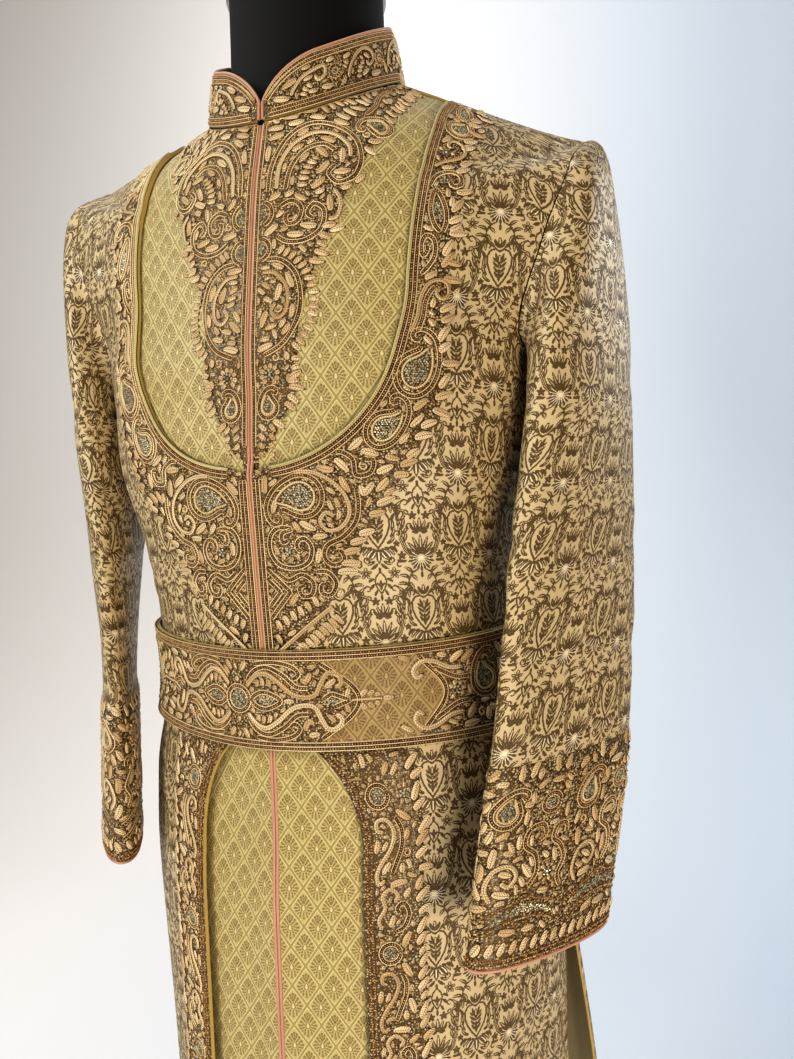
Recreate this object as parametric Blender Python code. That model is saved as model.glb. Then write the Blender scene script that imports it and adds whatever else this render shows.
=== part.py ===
"""A sherwani: a long, fitted South Asian coat with its own belt, worn by a limbless dress form on a stand.

Frame: metres, +Z up, the wearer's left is +X and the wearer's front is -Y. The origin is the middle of
the stand's round base, on the floor.

The cloth is cut as a maker cuts it: two brocade fronts with a deep U in them, two inset panels that fill
the U, two straight panels that show in the open skirt, a back, four sleeve pieces, a stand collar, a belt,
and the piping along the edges. Every panel is a wall laid on one shared body block.
"""

import math

import bmesh
import bpy
import numpy as np

# ---------------------------------------------------------------- driving sizes
GAP = 0.0003                # what is left between two pieces that meet
CLOTH = 0.0020              # thickness of the brocade with its backing
EMBROIDERY = 0.0015         # how far the worked areas stand above the plain cloth
LAYER = 0.0029              # how far an under layer lies below the layer on it

HEM_Z = 0.420
SLIT_TOP_Z = 0.800
OPENING_TOP_Z = 0.945       # the top of the skirt's open front, which the belt covers
BELT_BOTTOM_Z = 0.929
BELT_TOP_Z = 1.006
BELT_SIDE_RISE = 0.008
U_BOTTOM_Z = 1.143

HANG_BACK = 0.010           # how far the left shoulder sits back, and the right one forward
HANG_DOWN = 0.014
HANG_FROM_Z, HANG_FULL_Z = 1.19, 1.40
HANG_FROM_X, HANG_FULL_X = 0.06, 0.24

PIPING_RADIUS = 0.0013
CENTRE_EDGE = 2 * PIPING_RADIUS + 1.5 * GAP    # how far a front's edge stays from the centre line

# ---------------------------------------------------------------- the body block
# One row for each level of the coat's outer face, from hem to neck. The front and the back halves each
# run from their centre line to the side: to the side seam up to the underarm, then to the armhole's
# edge up to the tip of the shoulder, and from there to the shoulder seam.
BLOCK_COLUMNS = (
    "side_z", "front_z", "front_y", "back_z", "back_y",
    "front_side_x", "front_side_y", "back_side_x", "back_side_y",
)
BLOCK = {
    #             side_z front_z front_y back_z back_y  fs_x   fs_y    bs_x   bs_y
    "hem":       (0.420, 0.420, -0.147, 0.420, 0.168, 0.196, 0.054, 0.222, 0.072),
    "knee":      (0.600, 0.600, -0.143, 0.600, 0.158, 0.192, 0.042, 0.212, 0.056),
    "slit_top":  (0.800, 0.800, -0.140, 0.800, 0.145, 0.196, 0.024, 0.196, 0.024),
    "hip":       (0.870, 0.870, -0.134, 0.870, 0.138, 0.192, 0.016, 0.192, 0.016),
    "waist":     (0.970, 0.970, -0.131, 0.970, 0.128, 0.170, 0.006, 0.170, 0.006),
    "rib":       (1.070, 1.070, -0.137, 1.070, 0.126, 0.170, 0.002, 0.170, 0.002),
    "chest":     (1.150, 1.150, -0.141, 1.150, 0.128, 0.187, 0.001, 0.187, 0.001),
    "underarm":  (1.212, 1.205, -0.137, 1.212, 0.128, 0.197, 0.001, 0.197, 0.001),
    "arm_start": (1.219, 1.211, -0.137, 1.219, 0.128, 0.193, -0.033, 0.192, 0.032),
    "arm_low":   (1.240, 1.229, -0.136, 1.240, 0.127, 0.187, -0.057, 0.187, 0.056),
    "arm_mid":   (1.310, 1.285, -0.128, 1.310, 0.121, 0.206, -0.061, 0.207, 0.074),
    "arm_high":  (1.380, 1.338, -0.119, 1.380, 0.104, 0.225, -0.038, 0.225, 0.052),
    "tip":       (1.414, 1.362, -0.114, 1.420, 0.100, 0.230, 0.014, 0.230, 0.014),
    "shoulder":  (1.440, 1.386, -0.107, 1.450, 0.088, 0.150, 0.002, 0.150, 0.002),
    "neck":      (1.462, 1.410, -0.100, 1.474, 0.072, 0.084, -0.012, 0.084, -0.012),
}
# How each half turns the corner at its side: how full the curve is towards the centre and towards the
# side, and the heading and the rise of its end in degrees.
CORNER_COLUMNS = ("side_z", "front_full", "front_reach", "front_turn", "front_rise",
                  "back_full", "back_reach", "back_turn", "back_rise")
CORNER = {
    #            side_z  f_full f_reach f_turn f_rise  b_full b_reach b_turn b_rise
    "hem":       (0.420, 0.46, 0.62, 80.0, 0.0, 0.60, 0.56, 78.0, 0.0),
    "slit_top":  (0.800, 0.36, 0.62, 90.0, 0.0, 0.60, 0.60, 90.0, 0.0),
    "waist":     (0.970, 0.40, 0.57, 90.0, 0.0, 0.62, 0.62, 90.0, 0.0),
    "chest":     (1.150, 0.64, 0.70, 90.0, 0.0, 0.62, 0.62, 90.0, 0.0),
    "underarm":  (1.212, 0.64, 0.68, 88.0, 2.0, 0.62, 0.62, 88.0, 2.0),
    "arm_start": (1.219, 0.57, 0.70, 76.0, 2.0, 0.55, 0.66, 73.0, 2.0),
    "arm_low":   (1.240, 0.52, 0.74, 62.0, 3.0, 0.50, 0.72, 59.0, 3.0),
    "arm_mid":   (1.310, 0.44, 0.52, 32.0, 15.0, 0.50, 0.58, 44.0, 8.0),
    "arm_high":  (1.380, 0.43, 0.50, 24.0, 25.0, 0.50, 0.50, 38.0, 18.0),
    "tip":       (1.414, 0.48, 0.46, 52.0, 25.0, 0.46, 0.46, 50.0, 22.0),
    "shoulder":  (1.440, 0.49, 0.50, 79.0, 22.0, 0.50, 0.50, 80.0, 18.0),
    "neck":      (1.462, 0.56, 0.56, 90.0, 26.0, 0.56, 0.56, 90.0, 12.0),
}
UNDERARM_Z = BLOCK["underarm"][0]
TIP_Z = BLOCK["tip"][0]
NECK_Z = BLOCK["neck"][0]


def smooth(stations, values, at):
    """A curve through the rows of a table that never swings past them."""
    stations, values, at = (np.asarray(x, float) for x in (stations, values, at))
    steps = np.diff(stations)
    grades = np.diff(values) / steps
    product = grades[:-1] * grades[1:]
    total = np.where(np.abs(grades[:-1] + grades[1:]) < 1e-9, 1.0, grades[:-1] + grades[1:])
    inner = np.where(product > 0, 2 * product / total, 0.0)
    slopes = np.concatenate([grades[:1], inner, grades[-1:]])
    low = np.clip(np.searchsorted(stations, at) - 1, 0, len(steps) - 1)
    t = np.clip((at - stations[low]) / steps[low], 0.0, 1.0)
    return (
        values[low] * (1 + 2 * t) * (1 - t) ** 2
        + slopes[low] * steps[low] * t * (1 - t) ** 2
        + values[low + 1] * (3 - 2 * t) * t**2
        - slopes[low + 1] * steps[low] * (1 - t) * t**2
    )


def column(table, names, name, at, creases=()):
    """One column of a table at the levels `at`. A crease is a level where the column may turn sharply."""
    rows = np.array(sorted(table.values()))
    stations, values = rows[:, 0], rows[:, names.index(name)]
    at = np.asarray(at, float)
    found = np.zeros(at.shape)
    edges = [-1e9, *creases, 1e9]
    for low, high in zip(edges, edges[1:]):
        part = (stations >= low) & (stations <= high)
        inside = (at >= low) & (at <= high)
        found = np.where(inside, smooth(stations[part], values[part], at), found)
    return found


def block_point(half, across, level):
    """The coat's outer face. `half` is front or back; `across` runs from 0 at the centre line to 1 at the side."""
    across, level = np.broadcast_arrays(np.asarray(across, float), np.asarray(level, float))

    def at(name, creases=()):
        return column(BLOCK, BLOCK_COLUMNS, name, level, creases)

    turns = (UNDERARM_Z, TIP_Z)
    centre = np.stack([np.zeros_like(level), at(half + "_y"), at(half + "_z")], -1)
    side = np.stack([at(half + "_side_x", turns), at(half + "_side_y", turns), level], -1)
    full, reach, turn, rise = (
        column(CORNER, CORNER_COLUMNS, half + "_" + name, level) for name in ("full", "reach", "turn", "rise")
    )
    sign = 1.0 if half == "front" else -1.0
    reach = reach * np.hypot(side[..., 1] - centre[..., 1], side[..., 2] - centre[..., 2])
    turn, rise = np.radians(turn), np.radians(rise)
    heading = np.stack(
        [np.cos(turn) * np.cos(rise), sign * np.sin(turn) * np.cos(rise), np.sin(rise)], -1
    )
    near_centre = centre + np.stack([full * side[..., 0], 0 * level, 0 * level], -1)
    near_side = side - heading * reach[..., None]
    t = across[..., None]
    return (
        centre * (1 - t) ** 3
        + near_centre * 3 * t * (1 - t) ** 2
        + near_side * 3 * t**2 * (1 - t)
        + side * t**3
    )


FINE = np.linspace(0.0, 1.0, 201)


def row_lengths(half, level):
    """How far each of the FINE stations of a level is from the centre line, along the cloth."""
    points = block_point(half, FINE, level)
    return np.concatenate([[0.0], np.cumsum(np.linalg.norm(np.diff(points, axis=0), axis=1))])


def length_where(level, half_width):
    """How far along a front level an outline is, half_width(z) being its distance from the centre plane."""
    points, lengths = block_point("front", FINE, level), row_lengths("front", level)
    outside = points[:, 0] - half_width(points[:, 2])
    hit = int(np.argmax(outside > 0))
    if outside[hit] <= 0:
        return lengths[-1]
    if hit == 0:
        return 0.0
    return float(np.interp(0.0, outside[hit - 1 : hit + 1], lengths[hit - 1 : hit + 1]))


# ---------------------------------------------------------------- outlines drawn on the block
U_HALF = 0.117              # half the width of the U at the top of its curve
U_CURVE_Z = 1.280           # where the U's straight sides turn into its curve
U_SPREAD = 0.075            # how the straight sides lean outwards, in metres per metre
U_SPREAD_TOP_Z = 1.400
U_ROUND = 2.3
OPENING_HALF = 0.0705
OPENING_CURVE_Z = 0.850
OPENING_ROUND = 1.9


def u_half_width(z, grow=0.0):
    """Half the width of the deep U in the fronts at height z."""
    z = np.asarray(z, float)
    depth = np.clip((U_CURVE_Z - z) / (U_CURVE_Z - U_BOTTOM_Z + grow), 0.0, 1.0)
    curved = (U_HALF + grow) * (1 - depth**U_ROUND) ** (1 / U_ROUND)
    spread = U_SPREAD * (np.minimum(z, U_SPREAD_TOP_Z) - U_CURVE_Z)
    return np.where(z < U_CURVE_Z, curved, U_HALF + grow + spread)


def opening_half_width(z):
    """Half the width of the open front of the skirt at height z."""
    rise = np.clip((np.asarray(z, float) - OPENING_CURVE_Z) / (OPENING_TOP_Z - OPENING_CURVE_Z), 0.0, 1.0)
    return OPENING_HALF * (1 - rise**OPENING_ROUND) ** (1 / OPENING_ROUND)


# Half the width of the worked tongue that hangs from the collar: height, half width.
TONGUE = {
    "tip": (1.147, 0.006), "point": (1.156, 0.019), "low": (1.174, 0.028), "drop": (1.206, 0.043),
    "waist": (1.250, 0.044), "swell": (1.293, 0.056), "lobe": (1.339, 0.074), "shoulder": (1.385, 0.092),
    "top": (1.430, 0.104),
}
# Half the width out to which the fronts are worked: height, half width.
BORDER = {
    "hem": (0.420, 0.118), "knee": (0.700, 0.118), "opening": (0.863, 0.119), "under_belt": (0.930, 0.108),
    "on_belt": (1.008, 0.031), "leaf": (1.030, 0.055), "scroll": (1.081, 0.085), "wide": (1.120, 0.113),
    "corner": (1.164, 0.138), "shoulder_leaf": (1.200, 0.151), "side": (1.270, 0.152), "top": (1.345, 0.160),
    "seam": (1.440, 0.157),
}


def by_height(table, z):
    rows = np.array(list(table.values()))
    return smooth(rows[:, 0], rows[:, 1], np.clip(z, rows[0, 0], rows[-1, 0]))


def slant(half, across, level):
    """The outward unit normal of the block, each half by itself."""
    low, high = np.clip(across - 0.01, 0.0, 1.0), np.clip(across + 0.01, 0.0, 1.0)
    down, up = np.clip(level - 0.003, HEM_Z, NECK_Z), np.clip(level + 0.003, HEM_Z, NECK_Z)
    along = block_point(half, high, level) - block_point(half, low, level)
    rise = block_point(half, across, up) - block_point(half, across, down)
    normal = np.cross(along, rise) * (1.0 if half == "front" else -1.0)
    return normal / np.linalg.norm(normal, axis=-1, keepdims=True)


def block_normal(half, across, level):
    """The outward unit normal of the block, the same for both halves where they meet in a seam."""
    across, level = np.broadcast_arrays(np.asarray(across, float), np.asarray(level, float))
    normal = slant(half, across, level)
    end = np.ones_like(across)
    seam = slant("front", end, level) + slant("back", end, level)
    seam /= np.linalg.norm(seam, axis=-1, keepdims=True)
    seamed = (level <= UNDERARM_Z) | (level >= TIP_Z)
    share = (np.clip((across - 0.96) / 0.03, 0.0, 1.0) * seamed)[..., None]
    normal = normal * (1 - share) + seam * share
    normal[..., 0] = np.where(across < 0.002, 0.0, normal[..., 0])
    return normal / np.linalg.norm(normal, axis=-1, keepdims=True)


# ---------------------------------------------------------------- walls
def grid_normals(points, closed=False):
    """Unit normals of a grid of points, rows running up and columns running towards the wearer's left."""
    up = np.gradient(points, axis=0)
    if closed:
        along = np.roll(points, -1, axis=1) - np.roll(points, 1, axis=1)
    else:
        along = np.gradient(points, axis=1)
    normals = np.cross(along, up)
    return normals / np.maximum(np.linalg.norm(normals, axis=-1, keepdims=True), 1e-12)


def quads(rows, columns, start=0, closed=False, other=False):
    """The triangles of a grid of points, row after row. A closed grid joins its last column to its first."""
    faces = []
    for i in range(rows - 1):
        for j in range(columns if closed else columns - 1):
            k = (j + 1) % columns
            a, b = start + i * columns + j, start + i * columns + k
            c, d = b + columns, a + columns
            faces += [(a, b, d), (b, c, d)] if other else [(a, b, c), (a, c, d)]
    return faces


def hang(points):
    """The coat hangs a little askew: its left shoulder sits further back and lower than its right one."""
    points = np.asarray(points, float).copy()
    high = np.clip((points[:, 2] - HANG_FROM_Z) / (HANG_FULL_Z - HANG_FROM_Z), 0.0, 1.0)
    wide = np.clip((np.abs(points[:, 0]) - HANG_FROM_X) / (HANG_FULL_X - HANG_FROM_X), 0.0, 1.0)
    share = high**2 * (3 - 2 * high) * wide**2 * (3 - 2 * wide) * np.sign(points[:, 0])
    points[:, 1] += HANG_BACK * share
    points[:, 2] -= HANG_DOWN * share
    return points


def add_solid(name, points, faces, material, crease_angle=50.0):
    """A closed mesh with its faces outwards, shaded smooth with crisp edges."""
    mesh = bpy.data.meshes.new(name)
    mesh.from_pydata([tuple(p) for p in hang(points).tolist()], [], faces)
    work = bmesh.new()
    work.from_mesh(mesh)
    bmesh.ops.recalc_face_normals(work, faces=work.faces)
    if work.calc_volume(signed=True) < 0:
        bmesh.ops.reverse_faces(work, faces=work.faces)
    work.to_mesh(mesh)
    work.free()
    mesh.shade_smooth()
    mesh.set_sharp_from_angle(angle=math.radians(crease_angle))
    mesh.materials.append(material)
    obj = bpy.data.objects.new(name, mesh)
    bpy.context.scene.collection.objects.link(obj)
    return obj


def wall(name, outer, inner, material, closed=False, other=False):
    """A closed solid between two grids of points. A closed wall runs all round, as a belt does."""
    rows, columns = outer.shape[:2]
    count = rows * columns
    faces = quads(rows, columns, 0, closed, other)
    faces += [face[::-1] for face in quads(rows, columns, count, closed, other)]
    top = (rows - 1) * columns
    for j in range(columns if closed else columns - 1):
        k = (j + 1) % columns
        faces.append((k, j, count + j, count + k))
        faces.append((top + j, top + k, count + top + k, count + top + j))
    if not closed:
        for i in range(rows - 1):
            a, b = i * columns, (i + 1) * columns
            faces.append((a, b, count + b, count + a))
            faces.append((b + columns - 1, a + columns - 1, count + a + columns - 1, count + b + columns - 1))
    points = np.concatenate([outer.reshape(-1, 3), inner.reshape(-1, 3)])
    return add_solid(name, points, faces, material)


def laid_wall(name, points, normals, material, below=0.0, thickness=CLOTH, raised=0.0, other=False):
    """A wall laid on a grid of points: its outer face `below` them, with the worked parts `raised`."""
    below = np.broadcast_to(below, points.shape[:2])[..., None]
    raised = np.broadcast_to(raised, points.shape[:2])[..., None]
    outer = points + normals * (raised - below)
    return wall(name, outer, points - normals * (below + thickness), material, False, other)


MIRROR = np.array([-1.0, 1.0, 1.0])


def both_sides(name, points, normals, material, **options):
    """The left piece and its mirror image on the right."""
    turned = {
        key: value[:, ::-1] if np.ndim(value) == 2 else value
        for key, value in options.items()
    }
    laid_wall(name + "_left", points, normals, material, **options)
    laid_wall(name + "_right", points[:, ::-1] * MIRROR, normals[:, ::-1] * MIRROR, material,
              other=True, **turned)


def frames_along(path, closed=False):
    """Two unit vectors square to each point of a path."""
    if closed:
        along = np.roll(path, -1, axis=0) - np.roll(path, 1, axis=0)
    else:
        along = np.gradient(path, axis=0)
    along /= np.linalg.norm(along, axis=1, keepdims=True)
    first = np.cross(along, np.array([0.31, 0.17, 0.93]))
    first /= np.linalg.norm(first, axis=1, keepdims=True)
    return first, np.cross(along, first)


def tube(name, path, radius, material, sides=5, closed=False):
    """A round cord along a path."""
    path = np.asarray(path, float)
    first, second = frames_along(path, closed)
    angles = np.linspace(0.0, 2 * math.pi, sides, endpoint=False)
    ring = np.cos(angles)[None, :, None] * first[:, None] + np.sin(angles)[None, :, None] * second[:, None]
    points = path[:, None] + radius * ring
    rows = len(path)
    faces = quads(rows, sides, 0, True)
    if closed:
        start = (rows - 1) * sides
        faces += [(start + j, start + (j + 1) % sides, (j + 1) % sides, j) for j in range(sides)]
    else:
        faces += [tuple(range(sides))[::-1], tuple((rows - 1) * sides + j for j in range(sides))]
    return add_solid(name, points.reshape(-1, 3), faces, material, 80.0)


def turned_body(name, profile, material, centre=(0.0, 0.0), sides=32):
    """A solid turned about an upright axis, from a profile of (radius, z) with its ends on the axis."""
    angles = np.linspace(0.0, 2 * math.pi, sides, endpoint=False)
    rings = [
        [(centre[0] + r * math.cos(a), centre[1] + r * math.sin(a), z) for a in angles]
        for r, z in profile[1:-1]
    ]
    points = [point for ring in rings for point in ring]
    points += [(*centre, profile[0][1]), (*centre, profile[-1][1])]
    faces = quads(len(rings), sides, 0, True)
    first, last, top = len(points) - 2, len(points) - 1, (len(rings) - 1) * sides
    faces += [(first, (j + 1) % sides, j) for j in range(sides)]
    faces += [(last, top + j, top + (j + 1) % sides) for j in range(sides)]
    return add_solid(name, points, faces, material, 35.0)


# ---------------------------------------------------------------- folds
# Soft folds in the skirts: where they lie across the panel, how far they stand out at the hem, and
# where they begin.
FOLD_COLUMNS = ("half", "across", "width", "out", "top_z")
FOLDS = {
    "front_inner": ("front", 0.58, 0.09, 0.0040, 0.84),
    "front_outer": ("front", 0.82, 0.09, -0.0050, 0.86),
    "back_inner": ("back", 0.30, 0.13, -0.0070, 0.90),
    "back_outer": ("back", 0.66, 0.12, 0.0080, 0.88),
    "back_edge": ("back", 0.95, 0.06, 0.0060, 0.78),
}


def fold_lift(half, across, level):
    """How far the skirt's folds stand off the block."""
    lift = np.zeros(np.broadcast(across, level).shape)
    for of_half, centre, width, out, top_z in FOLDS.values():
        if of_half == half:
            ramp = np.clip((top_z - level) / (top_z - HEM_Z), 0.0, 1.0)
            lift = lift + out * ramp**1.3 * np.exp(-(((across - centre) / width) ** 2))
    return lift


def coat_grid(half, across, levels):
    """Points and normals of the coat's outer face with its folds, a row for each level."""
    levels = np.asarray(levels, float)[:, None]
    normals = block_normal(half, across, levels)
    return block_point(half, across, levels) + normals * fold_lift(half, across, levels)[..., None], normals


# ---------------------------------------------------------------- levels that the panels share
ARM_ROWS = 11
ARM_LEVELS = UNDERARM_Z + (TIP_Z - UNDERARM_Z) * (0.5 - 0.5 * np.cos(np.linspace(0.0, math.pi, ARM_ROWS)))


def u_meets_shoulder():
    """The level whose end on the shoulder seam is a point of the U, less a few millimetres."""
    levels = np.linspace(TIP_Z, NECK_Z, 200)
    ends = block_point("front", 1.0, levels)
    beyond = ends[:, 0] - u_half_width(ends[:, 2])
    return float(levels[np.argmax(beyond < 0.004)])


U_TOP_LEVEL = u_meets_shoulder()

# ---------------------------------------------------------------- the fronts
BORDER_SHARES = (0.0, 0.33, 0.66, 1.0)
PLAIN_COLUMNS = 7
BORDER_STEP = 0.004         # how soon the worked part falls to the plain cloth
BELT_MARGIN = 0.006         # the fronts lie plain under the belt and this far beyond it
INSET_MARGIN = 0.012        # how far the inset runs under the front's edge


def front_levels():
    skirt = np.linspace(HEM_Z, OPENING_CURVE_Z, 7)
    rise = OPENING_TOP_Z - OPENING_CURVE_Z
    opening = OPENING_CURVE_Z + rise * np.sin(np.linspace(0.0, math.pi / 2, 7))[1:]
    waist = np.linspace(OPENING_TOP_Z, U_BOTTOM_Z, 8)[1:]
    u_curve = U_BOTTOM_Z + (UNDERARM_Z - U_BOTTOM_Z) * np.linspace(0.0, 1.0, 6)[1:] ** 2
    shoulder = np.linspace(TIP_Z, U_TOP_LEVEL, 5)[1:]
    return np.concatenate([skirt, opening, waist, u_curve, ARM_LEVELS[1:], shoulder])


def front_start(level):
    """How far along a level the front's inner edge is: the skirt's opening, the centre line, then the U."""
    outline = opening_half_width if level < OPENING_TOP_Z else u_half_width
    return length_where(level, lambda z: np.maximum(outline(z), CENTRE_EDGE))


def make_fronts(material):
    levels = front_levels()
    rows, worked = [], []
    for level in levels:
        lengths = row_lengths("front", level)
        start, end = front_start(level), lengths[-1] - GAP
        border = length_where(level, lambda z: by_height(BORDER, z))
        border = min(max(border, start + 0.006), start + 0.88 * (end - start))
        edge = border + min(BORDER_STEP, 0.3 * (end - border))
        under = start + min(INSET_MARGIN, 0.4 * (border - start))
        distances = [start] + [under + share * (border - under) for share in BORDER_SHARES]
        distances += list(np.linspace(edge, end, PLAIN_COLUMNS))
        rows.append(np.interp(distances, lengths, FINE))
        belted = BELT_BOTTOM_Z - BELT_MARGIN < level < BELT_TOP_Z + BELT_SIDE_RISE + BELT_MARGIN
        height = 0.0 if belted else EMBROIDERY
        worked.append([height] * (1 + len(BORDER_SHARES)) + [0.0] * PLAIN_COLUMNS)
    points, normals = coat_grid("front", np.array(rows), levels)
    both_sides("front", points, normals, material, raised=np.array(worked))


# ---------------------------------------------------------------- the panels that fill the U
TONGUE_COLUMNS = 5
INSET_COLUMNS = 4


def make_insets(material):
    bottom = U_BOTTOM_Z - INSET_MARGIN
    curve = bottom + (UNDERARM_Z - bottom) * np.linspace(0.0, 1.0, 6) ** 2
    levels = np.concatenate([curve, ARM_LEVELS[2::2], np.linspace(TIP_Z, U_TOP_LEVEL, 4)[1:],
                             np.linspace(U_TOP_LEVEL, NECK_Z, 3)[1:]])
    rows, worked = [], []
    for level in levels:
        lengths = row_lengths("front", level)
        end = length_where(level, lambda z: np.maximum(u_half_width(z, INSET_MARGIN), 0.012))
        end = min(end, lengths[-1] - GAP)
        tongue = length_where(level, lambda z: by_height(TONGUE, z))
        tongue = min(max(tongue, CENTRE_EDGE + 0.004), CENTRE_EDGE + 0.85 * (end - CENTRE_EDGE))
        edge = tongue + min(0.003, 0.3 * (end - tongue))
        under = end - min(INSET_MARGIN, 0.3 * (end - edge))
        distances = np.concatenate([np.linspace(CENTRE_EDGE, tongue, TONGUE_COLUMNS),
                                    np.linspace(edge, under, INSET_COLUMNS), [end]])
        rows.append(np.interp(distances, lengths, FINE))
        height = EMBROIDERY if level > U_BOTTOM_Z + 0.006 else 0.0
        worked.append([height] * TONGUE_COLUMNS + [0.0] * (INSET_COLUMNS + 1))
    rows = np.array(rows)
    points, normals = block_point("front", rows, levels[:, None]), block_normal("front", rows, levels[:, None])
    both_sides("inset", points, normals, material, below=LAYER, raised=np.array(worked))


# ---------------------------------------------------------------- the straight panels in the open skirt
SKIRT_PANEL_TOP_Z = 0.985
SKIRT_PANEL_HALF = 0.112
SKIRT_PANEL_BELOW = 0.0085  # how far these panels hang behind the fronts
SKIRT_PANEL_HELD = 0.0045   # and where the belt holds them


def skirt_panel_below(distances, levels):
    """How far below the block the straight panels hang: close under the belt, clear of the fronts lower down."""
    drop = np.clip((OPENING_TOP_Z - levels) / 0.10, 0.0, 1.0)
    wave = 0.0020 * np.cos(distances / SKIRT_PANEL_HALF * 3 * math.pi)
    return SKIRT_PANEL_HELD + (SKIRT_PANEL_BELOW - SKIRT_PANEL_HELD - wave) * drop


def make_skirt_panels(material):
    levels = np.concatenate([np.linspace(HEM_Z + 0.005, 0.82, 7), np.linspace(0.82, SKIRT_PANEL_TOP_Z, 6)[1:]])
    distances = np.linspace(CENTRE_EDGE, SKIRT_PANEL_HALF, 9)
    across = np.array([np.interp(distances, row_lengths("front", level), FINE) for level in levels])
    points, normals = block_point("front", across, levels[:, None]), block_normal("front", across, levels[:, None])
    below = skirt_panel_below(distances[None, :], levels[:, None])
    both_sides("skirt_panel", points, normals, material, below=below)


# ---------------------------------------------------------------- the back
BACK_COLUMNS = 11


def make_back(material):
    levels = np.concatenate([
        np.linspace(HEM_Z, SLIT_TOP_Z, 7), np.linspace(SLIT_TOP_Z, UNDERARM_Z, 9)[1:],
        ARM_LEVELS[1:], np.linspace(TIP_Z, NECK_Z, 5)[1:],
    ])
    rows = []
    for level in levels:
        lengths = row_lengths("back", level)
        rows.append(np.interp(np.linspace(0.0, lengths[-1] - GAP, BACK_COLUMNS), lengths, FINE))
    points, normals = (
        np.concatenate([left[:, :0:-1], left * MIRROR], axis=1) for left in coat_grid("back", np.array(rows), levels)
    )
    laid_wall("back", points, normals, material)


# ---------------------------------------------------------------- the sleeves
SLEEVE_COLUMNS = ("z", "x", "y", "half_long", "half_thick", "turn")
SLEEVES = {
    "left": {
        #           z      x      y      half_long half_thick turn
        "bicep":   (1.185, 0.2262, -0.003, 0.0815, 0.0270, 15.0),
        "elbow":   (1.080, 0.2216, -0.026, 0.0793, 0.0203, 24.6),
        "forearm": (0.950, 0.2151, -0.0595, 0.0736, 0.0150, 32.8),
        "cuff":    (0.798, 0.1989, -0.106, 0.0615, 0.0160, 39.8),
    },
    "right": {
        #           z      x      y      half_long half_thick turn
        "bicep":   (1.185, 0.2262, -0.004, 0.0815, 0.0270, 16.0),
        "elbow":   (1.080, 0.2196, -0.026, 0.0793, 0.0203, 29.3),
        "forearm": (0.950, 0.2120, -0.0446, 0.0736, 0.0150, 37.1),
        "cuff":    (0.810, 0.2018, -0.0653, 0.0615, 0.0160, 40.4),
    },
}
BICEP_Z = SLEEVES["left"]["bicep"][0]
SLEEVE_ROUND = 2.2
CUFF_WORK = 0.135           # how far up the sleeve the worked cuff reaches
SLEEVE_GAP = 0.0014         # how far the sleeve's head starts outside the armhole's edge
HEAD_OUT = 0.100            # how boldly the sleeve's head leaves the shoulder
HEAD_ROWS = 7


def sleeve_ring(side, z, angle):
    """One ring of a sleeve below its head, seen from above: 0 outwards, 90 forwards, 180 inwards."""
    x, y, half_long, half_thick, turn = (
        float(column(SLEEVES[side], SLEEVE_COLUMNS, name, z)) for name in SLEEVE_COLUMNS[1:]
    )
    radians, turn = np.radians(angle), math.radians(turn)
    out, ahead = np.cos(radians), np.sin(radians)
    out = half_thick * np.sign(out) * np.abs(out) ** (2 / SLEEVE_ROUND)
    ahead = half_long * np.sign(ahead) * np.abs(ahead) ** (2 / SLEEVE_ROUND)
    return np.stack([
        x + out * math.cos(turn) - ahead * math.sin(turn),
        y - out * math.sin(turn) - ahead * math.cos(turn),
        np.full_like(out, z),
    ], -1)


def armhole(half):
    """The armhole's edge at the shared levels from the underarm up, and its angle about the sleeve."""
    edge = block_point(half, 1.0, ARM_LEVELS)
    run = np.concatenate([[0.0], np.cumsum(np.linalg.norm(np.diff(edge, axis=0), axis=1))])
    angle = 180.0 * (1.0 - run / run[-1])
    return edge, angle if half == "front" else 360.0 - angle


def sleeve_grid(side, start, angle):
    """All rings of a sleeve as if it were the left one, from the cuff up to the armhole's points `start`."""
    cuff = SLEEVES[side]["cuff"][0]
    levels = np.concatenate([[cuff, cuff + CUFF_WORK, cuff + CUFF_WORK + 0.004],
                             np.linspace(cuff + CUFF_WORK + 0.004, BICEP_Z, 6)[1:]])
    rings = [sleeve_ring(side, z, angle) for z in levels]
    end = rings[-1]
    top = ((1 + np.cos(np.radians(angle))) / 2)[:, None]
    leave = top * np.array([HEAD_OUT, 0.0, 0.020]) + (1 - top) * np.array([0.012, 0.0, -0.030])
    arrive = np.array([0.0, 0.0, -1.0]) * (0.03 + 0.29 * top)
    start = start + np.array([SLEEVE_GAP, 0.0, 0.0])
    for t in np.linspace(1.0, 0.0, HEAD_ROWS)[1:]:
        rings.append(
            start * (1 + 2 * t) * (1 - t) ** 2 + leave * t * (1 - t) ** 2
            + end * (3 - 2 * t) * t**2 - arrive * (1 - t) * t**2
        )
    return np.array(rings)


UNDER_STEPS = 4             # how many armhole points of each half the under sleeve spans


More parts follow.
